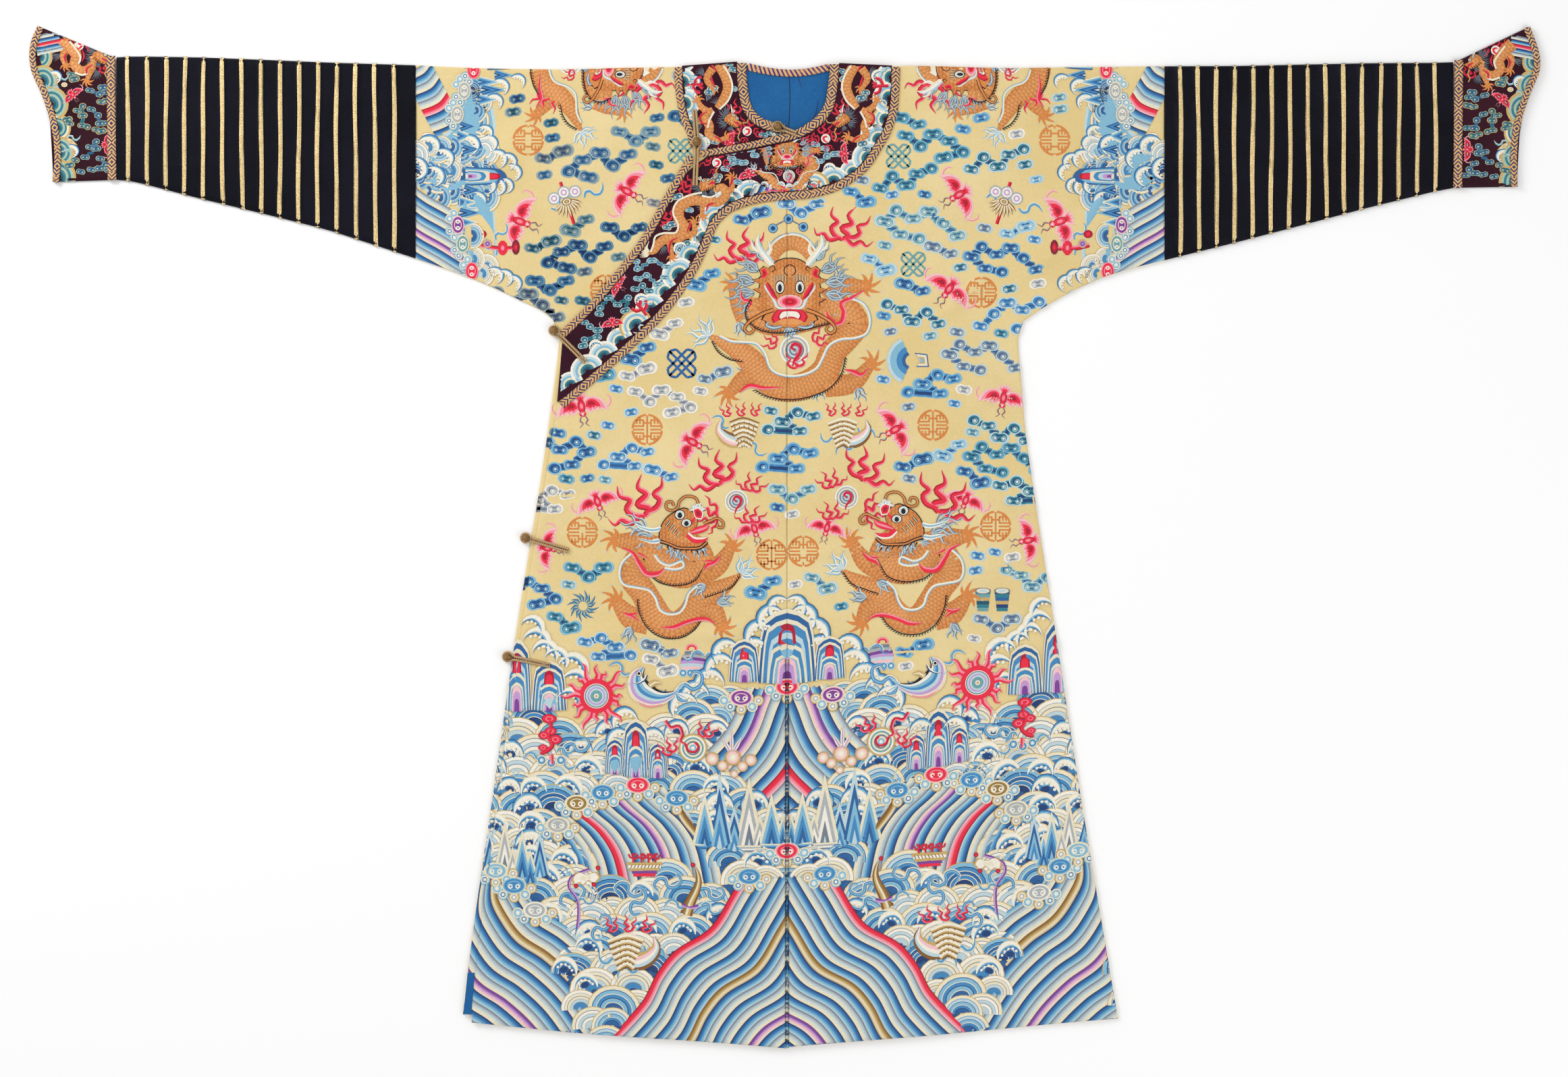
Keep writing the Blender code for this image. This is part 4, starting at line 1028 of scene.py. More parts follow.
def flame(work, spot, lift, tongues=4, tints=("crimson", "red", "red", "pink")):
    """A branching flame: wavy tongues that taper to a point."""
    shapes = (
        ((0, 0, 7), (8, 7, 8), (-4, 15, 8.5), (9, 24, 7.5), (1, 34, 5.5), (9, 48, 0.6)),
        ((0, 0, 6.5), (-12, 4, 7.5), (-18, 13, 7.5), (-11, 22, 6.5), (-22, 30, 4.5), (-22, 42, 0.6)),
        ((2, 4, 6.5), (16, 6, 7.5), (22, 14, 7), (17, 22, 6), (28, 28, 4.5), (31, 40, 0.6)),
        ((-4, 2, 6), (-18, -4, 7), (-27, 3, 5.5), (-36, -1, 3.5), (-42, 8, 0.6)),
        ((4, 2, 6), (16, -5, 7), (25, 2, 5.5), (34, -3, 3.5), (42, 6, 0.6)),
    )
    for k in range(tongues):
        ribbon(work, shapes[k], tints, lift + 0.03 * k, spot=spot, rise=0.12, step=4)


def streamer(work, spot, lift, tints=STREAM):
    """A silk ribbon that is tied to a lucky thing, and waves."""
    path = ((0, 0, 4), (7, 6, 6.5), (15, 3, 6.5), (17, -6, 6), (25, -11, 6), (34, -7, 5), (40, 1, 1))
    ribbon(work, path, tints, lift, spot=spot, rise=0.08, step=4)


def conch(work, spot, lift):
    """A ribbed shell, with flames above it and streamers beside it."""
    *_, turn, size, flip = spot
    for place, lean, side in (((-18, 6), 150, 1), ((14, -18), -30, 1), ((-10, -20), 210, -1)):
        streamer(work, (*put([place], spot)[0], turn + lean, size * 0.75, flip * side), lift)
    horn = ((-30, 18, 2), (-33, 4, 12), (-24, -8, 20), (-12, -14, 22), (0, -16, 16))
    ribbon(work, horn, ("bronze", "pale", "white", "rose", "tan"), lift + 0.1, spot=spot, rise=0.2, step=5)
    for k in range(6):
        wide, high = 22 - 2.4 * k, 15 - 7 * k
        rib = ((-wide + 6, high - 3, 7), (4, high + 3, 8.5), (wide + 6, high - 4, 6))
        ribbon(work, rib, ("bronze", "tan", "white", "cream"), lift + 0.2 + 0.03 * k, spot=spot, rise=0.15,
               step=6)
        for j in range(-2, 3):
            side = 5 + j * wide * 0.36
            ribbon(work, ((side, high + 2.5 - abs(j)), (side + 1, high - 3 - abs(j))), ("bronze",),
                   lift + 0.42 + 0.03 * k, 1.3, spot, 0.0, 20)
    for dx, lean in ((-17, 18), (3, 0), (22, -18)):
        flame(work, (*put([(dx, 24)], spot)[0], turn + lean * flip, size * 0.46, flip), lift + 0.1, 2)


def wheel(work, x, y, size, lift):
    """A wheel in a ring of flame."""
    for k in range(16):
        a = math.radians(22.5 * k)
        ahead = np.array((math.cos(a), math.sin(a)))
        side = np.array((-ahead[1], ahead[0])) * (1 if k % 2 else -1)
        reach = size * (0.78 + 0.14 * (k % 3))
        path = [(*((x, y) + ahead * size * 0.42), 9), (*((x, y) + ahead * size * 0.62 + side * 2.5), 7),
                (*((x, y) + ahead * reach * 0.86 - side * 2), 4.5),
                (*((x, y) + ahead * reach + side * 2), 0.6)]
        ribbon(work, path, ("red", "pink"), lift, rise=0.05, step=5)
    disc(work, x, y, size,
         ("red", "red", "white", "slate", "pale", "lilac", "pale", "teal", "white", "tan"), lift + 0.1,
         shares=(1, 0.84, 0.72, 0.68, 0.62, 0.52, 0.44, 0.34, 0.14, 0.08), sides=24)


def coral(work, x, y, turn, size, lift):
    """A small branch of red coral."""
    for path in (((0, 0), (0, 14), (-2, 24)), ((0, 8), (9, 12), (12, 20)), ((0, 12), (-9, 14), (-12, 22)),
                 ((0, 18), (6, 24))):
        ribbon(work, path, ("crimson", "red"), lift, 5.0, (x, y, turn, size), 0.15, 5)


def branch(work, x, y, lift):
    """A branch of red coral in knots, with streamers."""
    spot = (x, y)
    for dx, dy, wide, high in ((-1, 44, 22, 14), (1, 26, 18, 12), (8, 14, 20, 14), (-9, 20, 16, 12),
                               (-10, 2, 14, 10)):
        disc(work, dx, dy, wide, ("crimson", "red", "pink", "red"), lift + 0.15, high, (1, 0.86, 0.5, 0.36),
             spot, 0.1, 12)
    ribbon(work, ((0, 42, 6), (2, 30, 5), (-2, 18, 6), (4, 6, 6), (-6, -4, 6), (-14, -6, 4)),
           ("crimson", "red", "red"), lift + 0.2, spot=spot, rise=0.1, step=5)
    ribbon(work, ((2, -8, 6), (3, -22, 6)), ("red", "pink"), lift + 0.2, spot=spot, rise=0.1, step=8)
    for dx, dy, turn in ((10, -4, 20), (-10, -10, 190), (12, -14, -20)):
        streamer(work, (x + dx, y + dy, turn, 0.7), lift)
    for dx, dy in ((-12, -16), (2, -20), (16, -16)):
        spiral_cloud(work, x + dx, y + dy, 15, ("cream", "blue", "sky"), lift + 0.05)


def fish(work, spot, lift):
    """A carp that leaps from the water."""
    ribbon(work,
           ((-4, 34, 5), (-14, 18, 26), (-9, -2, 38), (8, -13, 34), (26, -15, 22), (42, -10, 11),
            (52, -4, 4)), ("black", "white", "sky", "blue", "pale", "lilac", "cream"), lift, spot=spot,
           rise=0.15, step=4)
    for path in (((46, -5, 3), (56, 2, 6), (62, 8, 1)), ((46, -6, 3), (58, -12, 6), (66, -16, 1)),
                 ((-12, 6, 4), (-24, 4, 6), (-30, 12, 1)), ((0, 0, 4), (8, 8, 6), (18, 8, 1))):
        ribbon(work, path, ("white", "sky", "white"), lift - 0.05, spot=spot, rise=0.1, step=4)
    ribbon(work, ((-26, 10), (-22, -10), (0, -28), (26, -26)), ("pink",), lift + 0.1, 3.0, spot, 0.05, 5)
    for k in range(6):
        wide = 17 - 1.6 * k
        scale = ring_points(-9 + 7.5 * k, 4 - 5 * k + 0.8 * k * k, wide, wide, 5, 150 + 12 * k, 290 + 12 * k)
        ribbon(work, scale, ("deep",), lift + 0.16, 1.6, spot, 0.03, 6)
    ribbon(work, ((2, 22, 3), (-3, 13, 5), (-14, 8, 4), (-22, 10, 1)), ("navy", "white"), lift + 0.2,
           spot=spot, rise=0.05, step=5)
    ribbon(work, ((6, 4, 10), (16, 10, 8), (26, 8, 1)), ("tan", "cream", "tan"), lift + 0.12, spot=spot,
           rise=0.1, step=5)
    disc(work, -11, 24, 10, ("black", "white", "black"), lift + 0.28, shares=(1, 0.82, 0.5), spot=spot,
         rise=0.1, sides=10)
    streamer(work, (*put([(-26, 24)], spot)[0], 160, 0.8, spot[4]), lift - 0.05)


def bell(work, spot, lift):
    """A striped stone chime on a red loop, over small clouds, with streamers."""
    *_, size, flip = spot
    streamer(work, (*put([(-16, 2)], spot)[0], 180, size * 0.9, -flip), lift - 0.05)
    streamer(work, (*put([(20, 2)], spot)[0], 10, size * 0.8, flip), lift - 0.05)
    for k in range(6):
        high = 9 - k * 5
        half = math.sqrt(max(0.0, 1 - ((high + 14) / 30) ** 2)) * 22 if high > -14 else 20
        tint = ("slate", "grey", "purple", "lilac", "pale", "rose")[k]
        ribbon(work, ((-half + 1, high - 1), (0, high), (half, high - 3)), (tint,), lift + 0.02 * k, 5.6,
               spot, 0.1, 12)
    ribbon(work, ring_points(-2, 15, 15, 12, 9, -20, 200), ("red", "pink"), lift + 0.1, 5.0, spot, 0.1, 5)
    for dx in (-16, -4, 8, 18):
        spiral_cloud(work, *put([(dx, -22 - (dx % 3))], spot)[0], 14 * size, ("pale", "blue", "sky"),
                     lift + 0.05)


def altar(work, x, y, lift):
    """A low gilt altar, with coral on it."""
    steps = ((26, 8, "tan"), (24, 4, "white"), (22, 0, "tan"), (18, -4, "purple"), (16, -8, "red"))
    for k, (half, high, tint) in enumerate(steps):
        ribbon(work, ((-half, high), (half, high)), (tint,), lift + 0.01 * k, 4.4, (x, y), 0.1, 20)
    for k in range(9):
        ribbon(work, ((-20 + 5 * k, 2), (-17.5 + 5 * k, 7)), ("bronze",), lift + 0.2, 1.2, (x, y), 0.02, 20)
    for dx in (-16, -4, 6, 16):
        coral(work, x + dx, y + 10, 0, 0.55, lift + 0.05)


def sceptre(work, x, y, lift):
    """A curved sceptre with a cloud-shaped head and red beads."""
    spot = (x, y)
    ribbon(work, ((0, -52), (2, -30), (0, -10), (-12, 8), (-10, 20), (2, 28), (18, 34)),
           ("purple", "lilac"), lift, 4.5, spot, 0.1, 5)
    blob(work,
         ((2, 30), (14, 26), (28, 30), (34, 22), (26, 14), (16, 18), (8, 10), (0, 16), (-6, 10), (-8, 22)),
         ("tan", "white", "cream"), lift + 0.1, (1, 0.86, 0.4), spot, 0.1, 4, middle=(12, 22))
    for dx, dy in ((30, 36), (-2, 10), (24, 12)):
        disc(work, dx, dy, 7, ("crimson", "red"), lift + 0.25, spot=spot, sides=9)
    streamer(work, (x, y - 14, 20, 0.7), lift - 0.05)


def horn(work, x, y, lift):
    """A horn cup, bound with a purple band."""
    spot = (x, y)
    ribbon(work, ((-14, -36, 18), (-8, -18, 16), (0, -2, 13), (4, 12, 9), (2, 26, 5), (-2, 34, 1)),
           ("bronze", "brown", "cream", "tan", "bronze"), lift, spot=spot, rise=0.2, step=5)
    ribbon(work, ((-20, -22), (-8, -26), (4, -24)), ("purple", "lilac"), lift + 0.22, 5.5, spot, 0.1, 6)
    disc(work, -4, 36, 7, ("crimson", "red"), lift + 0.2, spot=spot, sides=9)
    for dx, turn in ((-14, 185), (8, -10)):
        streamer(work, (x + dx, y - 22, turn, 0.8), lift - 0.05)


def bloom(work, x, y, lift):
    """A cloud like a flower, in rose and cream, with pale leaves."""
    for dx, dy, size in ((-28, 2, 20), (2, 4, 24), (28, 0, 18), (-13, -8, 16), (16, -9, 16), (4, -20, 12)):
        spiral_cloud(work, x + dx, y + dy, size, ("tan", "rose", "cream"), lift)
    for turn, reach in ((60, 30), (90, 38), (118, 28)):
        a = math.radians(turn)
        path = ((0, 8, 2), (reach * 0.5 * math.cos(a), 8 + reach * 0.5 * math.sin(a), 6),
                (reach * math.cos(a), 8 + reach * math.sin(a), 0.6))
        ribbon(work, path, ("cream", "lilac", "white"), lift - 0.05, spot=(x, y), rise=0.1, step=5)


def scroll(work, x, y, turn, size, lift):
    """A loose curl of cloud ribbon on the water."""
    ribbon(work,
           ((-14, -6, 4), (-18, 4, 6), (-8, 12, 7), (4, 8, 7), (4, -4, 7), (14, -10, 7), (26, -4, 6),
            (24, 6, 5), (16, 6, 3)), ("cream", "blue", "sky", "blue"), lift, spot=(x, y, turn, size),
           rise=0.08, step=4)


wheel(hem, -273, -230.5, 50, ON_WATER + 0.1)
branch(hem, -340.5, -307.5, ON_WATER)
scroll(hem, -139.5, -221.5, 60, 1.1, ON_WATER - 0.1)
for spot in ((-165, -315.5, 20, 0.55), (-118, -290, -20, 0.55)):
    flame(hem, spot, ON_WATER, 3)
# A disc of striped floss, tied with red.
ribbon(hem,
       ((-173, -266.5), (-165, -276.5), (-153.5, -274.5), (-148.5, -286), (-151.5, -296), (-143.5, -300)),
       ("crimson", "red", "pink"), 1.75, 5.0, rise=0.1, step=4)
disc(hem, -133, -306, 42, ("tan", "white", "teal", "cream", "slate", "cream", "sky", "white"), 1.65, sides=20)
ribbon(hem, ((-143.5, -300), (-139.5, -309.5), (-130, -311.5), (-125, -304), (-130, -298)),
       ("red", "crimson"), 1.9, 5.0, rise=0.1, step=4)
bloom(hem, -77, -323.5, ON_WATER)
for x, y, turn in ((-306, -307.5, 30), (-230, -511.5, 0), (-174, -503.5, 20), (-213, -533, 80),
                   (-267, -570.5, 70), (-112, -518.5, 10), (-311, -523.5, 40)):
    scroll(hem, x, y, turn, 0.9, ON_WAVES)
altar(hem, -203.5, -482, ON_WATER)
sceptre(hem, -300.5, -515.5, ON_WATER)
horn(hem, -129, -511.5, ON_WATER)
conch(hem, (-224, -600, 0, 1.15, -1), ON_WATER)
fish(hem, (-201.5, -219.5, 0, 0.9, 1), ON_WATER)
bell(hem, (-133, -175.5, 0, 0.9, 1), 0.5)
# The centre seam's own dark line, from the top of the water to the hem.
SEAM_LINE = (-176.5, -735)
ribbon(hem, [(SEAM_X - 1.4, y) for y in np.linspace(*SEAM_LINE, 40)], ("black",), 2.5, 2.2, rise=0.1, step=20)


def canopy(work, spot, lift):
    """A canopy on a red pole, with a fringe of petals and streamers."""
    ribbon(work, ((0, 34), (0, -30)), ("crimson", "red"), lift - 0.1, 5.0, spot, 0.1, 20)
    for k, dx in enumerate((-16, 16, 0)):
        spiral_cloud(work, *put([(dx, 14 + 4 * (k == 2))], spot)[0], 19 * spot[3],
                     ("grey", "white", "lilac"), lift + 0.02 * k)
    for k in range(9):
        a = math.radians(200 + 17.5 * k)
        ribbon(work,
               ((4 * math.cos(a), 6, 3), (15 * math.cos(a), 4 + 13 * math.sin(a), 5.5),
                (22 * math.cos(a), 3 + 22 * math.sin(a), 0.8)), ("bronze", "cream", "tan"), lift + 0.1,
               spot=spot, rise=0.1, step=6)
    disc(work, 0, 4, 15, ("bronze", "cream", "bronze", "tan"), lift + 0.25, 11, (1, 0.8, 0.5, 0.35), spot,
         0.1, 12)
    for dx, lean in ((-24, 190), (26, 20)):
        streamer(work, (*put([(dx, 2)], spot)[0], spot[2] + lean, 0.85 * spot[3], 1 if dx > 0 else -1),
                 lift - 0.05)


def fan(work, spot, lift):
    """A pale blue fan, with a lozenge for its tassel."""
    for reach, tints in ((27, ("sky", "pale")), (19, ("blue", "sky")), (12, ("deep", "blue"))):
        ribbon(work, ring_points(0, 0, 2 * reach, None, 9, 115, 245), tints, lift + 0.01 * reach, 8.5, spot,
               0.1, 5)
    blob(work, ((4, 10), (20, 8), (22, -8), (6, -8), (10, 0)), ("deep", "cream", "tan", "sky"), lift + 0.1,
         (1, 0.84, 0.5, 0.3), spot, 0.1, None)


def sprig(work, x, y, size, lift):
    """A round plant of narrow leaves."""
    for k in range(16):
        a, b = math.radians(22.5 * k), math.radians(22.5 * k + 18)
        near, far = size * 0.14, size * (0.5 if k % 2 else 0.42)
        ribbon(work, ((x + near * math.cos(a), y + near * math.sin(a), 1.5),
                      (x + far * 0.6 * math.cos(a), y + far * 0.6 * math.sin(a), 4.0),
                      (x + far * math.cos(b), y + far * math.sin(b), 0.6)), ("teal", "deep"), lift, rise=0.05,
               step=6)


def cups(work, x, y, lift):
    """A pair of small striped cups, side by side."""
    for dx, tints in ((-14, ("sea", "teal", "tan", "lagoon")), (14, ("navy", "sea", "deep", "tan"))):
        for k in range(6):
            ribbon(work, ((dx - 11 + k * 0.6, 12 - 5 * k), (dx + 11 - k * 0.6, 12 - 5 * k)),
                   (tints[k % 4],), lift, 5.0, (x, y), 0.05, 30)
        disc(work, dx, 14, 24, ("slate", "cream", "pale"), lift + 0.1, 9, (1, 0.8, 0.5), (x, y), 0.1, 12)


def red_branch(work, spot, lift):
    """A red sceptre with a double head, tied with blue streamers."""
    ribbon(work, ((-28, 4, 6), (-10, 0, 7), (10, -1, 7), (20, 0, 6)), ("crimson", "red", "pink"), lift,
           spot=spot, rise=0.15, step=6)
    for dx, dy, wide, high, tints in ((4, 0, 15, 22, ("red", "red", "pink")),
                                      (23, 1, 12, 22, ("maroon", "crimson", "red")),
                                      (-26, 20, 14, 12, ("crimson", "red"))):
        disc(work, dx, dy, wide, tints, lift + 0.1, high, None, spot, 0.15, 10)
    disc(work, -18, 6, 13, ("tan", "lilac", "purple", "lilac"), lift + 0.15, spot=spot, rise=0.1, sides=12)
    for dx, dy, lean in ((-6, 12, 60), (-6, -10, -60)):
        streamer(work, (*put([(dx, dy)], spot)[0], spot[2] + lean, 0.7 * spot[3], 1 if dy > 0 else -1),
                 lift - 0.05)

# ---------------------------------------------------------------- ground: clouds, bats and roundels
# Between the dragons the yellow silk is strewn with knotted clouds in blues and greys, each a chain
# of curled heads on a stepped band, with red bats, gold fret roundels and lucky things among them.
ON_SILK, OVER_SILK = 0.3, 0.35
CLOUD_SHADES = (
    ("sky", "blue", "navy"), ("sky", "deep", "navy"), ("pale", "sea", "navy"), ("sky", "sea", "navy"),
    ("pale", "blue", "deep"), ("pale", "teal", "deep"), ("white", "grey", "slate"),
    ("pale", "slate", "deep"), ("pale", "sky", "deep"),
)


def cloud_head(work, x, y, size, turn, shades, lift, thin=False, single=False):
    """Two curls side by side under one brow, or a single curl, in a light rim."""
    rim, ring, dark = shades
    spot = (x, y, turn, size)
    lobes = ((-17, -2), (-15.5, 6), (-8, 10.5), (0, 8.5), (8, 10.5), (15.5, 6), (17, -2), (11, -8.5),
             (0, -8.0), (-11, -8.5))
    if single:
        lobes = ((-11, -3), (-10, 5), (-3, 10), (6, 9), (11.5, 3), (9, -6), (0, -9))
    blob(work, lobes, (rim, rim, ring, dark, ring), lift,
         (1, 0.90, 0.84, 0.6, 0.3) if thin else (1, 0.84, 0.76, 0.46, 0.24), spot, 0.1, 4.5, sink=0.06)
    for side in (0.2,) if single else (-1, 1):
        disc(work, 7.0 * side, -0.4, 9.4, (ring, rim, dark, "white") if thin else (rim, ring, rim, "white"),
             lift + 0.08, 8.6, (1, 0.74, 0.50, 0.30), spot, 0.08, 12, sink=0.02)


def pearl(work, spot, lift):
    """The flaming pearl: rings of thread round a red comma."""
    disc(work, 0, 0, 44, ("white", "grey", "cream", "slate", "pale", "slate", "pale", "slate"), lift,
         spot=spot, rise=0.15, sides=20)
    comma = ((0, 0, 3), (-5, 4, 5), (0, 9, 5), (8, 5, 5), (7, -5, 5), (0, -14, 4), (-3, -23, 2))
    ribbon(work, comma, ("red", "crimson", "red"), lift + 0.25, spot=spot, step=3)


def bat(work, spot, lift, tints=("rose", "pink", "red", "crimson")):
    """A red bat on the wing: two curved wings, a fan of a tail, and a tassel in its mouth."""
    for side in (-1, 1):
        wing = ((0, -4), (5 * side, 10), (15 * side, 15), (27 * side, 12), (37 * side, 2), (41 * side, -11),
                (35 * side, -7), (31 * side, -9), (27 * side, -5), (22 * side, -10), (18 * side, -6),
                (13 * side, -11), (8 * side, -7))
        blob(work, wing, tints, lift, (1, 0.80, 0.56, 0.3), spot, 0.1, 5, middle=(14 * side, 5),
             corner=math.radians(50), sink=0.05)
        for k in range(5):
            ribbon(work,
                   (((8 + 4 * k) * side, 6 - 0.5 * k, 1), ((11 + 4.6 * k) * side, 1 - 0.8 * k, 2.6),
                    ((13 + 5 * k) * side, -2 - k, 0.6)), ("white",), lift + 0.14, spot=spot, rise=0.03,
                   step=6)
        ribbon(work, ((38 * side, -6, 2), (44 * side, 0, 3.4), (45 * side, 9, 2.6), (40 * side, 14, 0.6)),
               ("rose", "pink"), lift, spot=spot, rise=0.05, step=5)
    blob(work,
         ((-5, 6), (-10, 16), (-12, 22), (-6, 19), (-3, 25), (0, 20), (3, 25), (6, 19), (12, 22), (10, 16),
          (5, 6)), tints[:3], lift + 0.04, (1, 0.74, 0.45), spot, 0.1, 5, middle=(0, 12),
         corner=math.radians(50), sink=0.05)
    disc(work, 0, 2, 12, ("crimson", "red", "pink"), lift + 0.18, 22, (1, 0.8, 0.4), spot, 0.15, 12)
    disc(work, 0, -10, 11, ("red", "pink", "rose"), lift + 0.24, 9, (1, 0.7, 0.4), spot, 0.1, 10)
    for side in (-1, 1):
        disc(work, 2.6 * side, -11, 2.4, ("black",), lift + 0.36, spot=spot, rise=0.02, sides=6)
        ribbon(work, ((3 * side, -14, 1.4), (6 * side, -20, 2.6), (2 * side, -25, 2), (8 * side, -30, 0.6)),
               ("crimson", "teal"), lift + 0.1, spot=spot, rise=0.05, step=4)


def roundel(work, x, y, size, lift):
    """A gold fret in a ring: bars and corners only, and nothing that can be read."""
    r = size / 2
    for a in range(4):
        arc = ring_points(0, 0, size * 0.93, None, 9, 90 * a + 5, 90 * a + 85)
        ribbon(work, arc, ("gold",), lift, 3.0, (x, y), 0.15, 5, kind=DULL)
    bars = [((0, -r * 0.9), (0, r * 0.9)), ((-r * 0.9, 0), (-r * 0.2, 0)), ((r * 0.2, 0), (r * 0.9, 0))]
    for sx in (-1, 1):
        for sy in (-1, 1):
            bars += [((sx * r * 0.2, sy * r * 0.22), (sx * r * 0.84, sy * r * 0.22)),
                     ((sx * r * 0.24, sy * r * 0.22), (sx * r * 0.24, sy * r * 0.62)),
                     ((sx * r * 0.24, sy * r * 0.60), (sx * r * 0.64, sy * r * 0.60)),
                     ((sx * r * 0.46, sy * r * 0.36), (sx * r * 0.46, sy * r * 0.78)),
                     ((sx * r * 0.66, sy * r * 0.36), (sx * r * 0.66, sy * r * 0.62)),
                     ((0, sy * r * 0.42), (sx * r * 0.24, sy * r * 0.42))]
    for start, end in bars:
        ribbon(work, (start, end), ("gold",), lift, 2.4, (x, y), 0.12, 30, kind=DULL)


def knot(work, x, y, size, tints, lift):
    """An endless knot: crossed loops, in place of any seal."""
    for turn in (0, 90):
        for k in (-1, 0, 1):
            ribbon(work, ((-size * 0.5, k * size * 0.22), (size * 0.5, k * size * 0.22)), tints,
                   lift + 0.04 * k, size * 0.09, (x, y, 45 + turn), 0.1, 8)
        for side in (-1, 1):
            for end in (-size, size):
                ribbon(work, ((end * 0.5, side * size * 0.22), (end * 0.62, 0), (end * 0.5, 0)), tints, lift,
                       size * 0.09, (x, y, 45 + turn), 0.1, 4)


# Bats: place, turn and size. Roundels: place. Knots: place, width and tint.
BATS = (
    (-271, 50, 20, 0.85), (-43.5, 11, 15, 0.8), (262, 52, -20, 0.8), (61, 12, -15, 0.75),
    (-132, 137, 60, 0.95), (158.5, 155, -60, 0.95), (-294.5, 188, 10, 0.95), (317, 200, -10, 0.9),
    (237.5, 358.5, -35, 0.95), (251.5, 496, -60, 0.95), (-227, 501, 60, 0.95), (-382.5, 457.5, 70, 1.0),
    (397.5, 457.5, -70, 1.0), (-342.5, -16.5, 80, 0.8), (351.5, -5, -80, 0.85),
)
ROUNDEL_WIDE = 46
ROUNDELS = (
    (-372, 576), (391.5, 576), (-260, 358.5), (285.5, 355), (-199.5, 156),
    (215, 162.5), (-293.5, 7), (306, 15.5), (-19, -25.5), (27, -20.5),
)
KNOTS = (
    (-151.5, 560.5, 34, "teal"), (165, 552.5, 34, "teal"), (186.5, 396, 34, "teal"),
    (-149.5, 252, 40, "deep"),
)
GROUND = [(-419, 692), (429, 692), (468, 358.5), (335.5, 319.5), (331, 231.5), (360, -4), (389.5, -200),
          (311, -185), (272, -160.5), (135, -200), (3.5, -239), (-120, -200), (-257, -175.5), (-355, -200),
          (-389.5, -200), (-355, 35.5), (-331, 192), (-326, 300), (-453, 358.5)]
ground, clouds = new_work(), new_work()
for spot in BATS:
    bat(ground, spot, ON_SILK)
for x, y in ROUNDELS:
    roundel(ground, x, y, ROUNDEL_WIDE, ON_SILK)
for x, y, size, tint in KNOTS:
    knot(ground, x, y, size, (tint,), ON_SILK)
for x, y, flip in ((-315, 483, 1), (317, 483, -1)):
    canopy(ground, (x, y, 18 * flip, 1.0, flip), OVER_SILK)
for x, y, flip in ((-64, 153, 1), (89.5, 153, -1)):
    conch(ground, (x, y, 0, 0.95, flip), ON_SILK)
fan(ground, (184, 256, 0, 1.15), OVER_SILK)
sprig(ground, -292.5, -100, 46, OVER_SILK)
cups(ground, 301.5, -92, OVER_SILK)
for x, y, flip in ((-413, 419.5, 1), (414, 419.5, -1)):
    red_branch(ground, (x, y, 0, 1.0, flip), OVER_SILK)

# ---------------------------------------------------------------- dragons
# Gold dragons, couched in pairs of wrapped thread caught down in scales: one faces out from the
# chest, and two below it turn to a pearl. Manes, horns and flames are floss silk.
# Couched gold bodies: plain gold at both edges and lighter amber down the middle. This is painted shade on
# the rounded edges and a painted lighter crown.
GOLD_EDGE_SHADED = ("gold", "amber", "amber", "gold")


def ticked(work, path, lift, spot, side=1):
    """A dark edge with short ticks across it, along a dragon's belly."""
    line = along_curve(put(path, spot), 4.0, False, math.pi)
    ribbon(work, line, ("black",), lift, 1.4, rise=0.05, step=8)
    for place, out in zip(line, across_of(line)):
        lean = np.array((out[1], -out[0])) * 0.8
        ribbon(work, (place, place + (out + lean) * 3.4 * side), ("black",), lift, 1.1, rise=0.05, step=30)


def fin(work, path, lift, spot):
    """The pale fringe along a dragon's back."""
    ribbon(work, path, ("sky", "white", "cream"), lift, 4.2, spot, 0.1, 5)


def paw(work, x, y, heading, lift, spot):
    """Five claws spread from a paw."""
    reach = 22
    for k, length in enumerate((0.75, 1.0, 1.05, 0.95, 0.8)):
        a = math.radians(heading + (k - 2) * 44)
        bend = math.radians(heading + (k - 2) * 44 + 16)
        tip = (x + reach * length * math.cos(bend), y + reach * length * math.sin(bend), 1.2)
        claw = ((x, y, 7), (x + reach * 0.5 * math.cos(a), y + reach * 0.5 * math.sin(a), 5), tip)
        ribbon(work, claw, ("gold",), lift, spot=spot, rise=0.1, step=5, kind=DULL)
        nail = (tip[0] + 3.5 * math.cos(bend + 0.5), tip[1] + 3.5 * math.sin(bend + 0.5), 0.5)
        ribbon(work, ((tip[0], tip[1], 2.0), nail), ("pale",), lift + 0.05, spot=spot, rise=0.05, step=9)
    disc(work, x, y, 15, ("gold",), lift + 0.03, spot=spot, rise=0.15, kind=DULL)


def ankle(path):
    """Where a leg ends, and the way it points there."""
    (x0, y0, _), (x1, y1, _) = path[-2:]
    return x1, y1, math.degrees(math.atan2(y1 - y0, x1 - x0))


def leg(work, path, lift, spot):
    """A leg, couched like the body, and its paw."""
    # Gold at the edges, amber down the middle: painted shade on the leg's rounded sides.
    ribbon(work, path, ("gold", "amber", "gold"), lift, spot=spot, rise=0.2, step=5, soft=True, kind=COUCHED)
    paw(work, *ankle(path), lift + 0.05, spot)


def strands(work, x, y, heading, spread, count, reach, lift, tints=("slate", "pale"), spot=None):
    """Locks of hair, fanned from a place."""
    for k in range(count):
        a = math.radians(heading + spread * (k / max(1, count - 1) - 0.5))
        far = reach * (0.75 + 0.25 * ((k * 7) % 3) / 2)
        side = 0.22 * far * (1 if k % 2 else -1)
        dx, dy = math.cos(a), math.sin(a)
        path = ((x, y, 3.0),
                (x + dx * far * 0.4 - dy * side * 0.5, y + dy * far * 0.4 + dx * side * 0.5, 4.2),
                (x + dx * far * 0.75 + dy * side * 0.4, y + dy * far * 0.75 - dx * side * 0.4, 3.0),
                (x + dx * far, y + dy * far, 0.5))
        ribbon(work, path, tints, lift, spot=spot, rise=0.08, step=4)


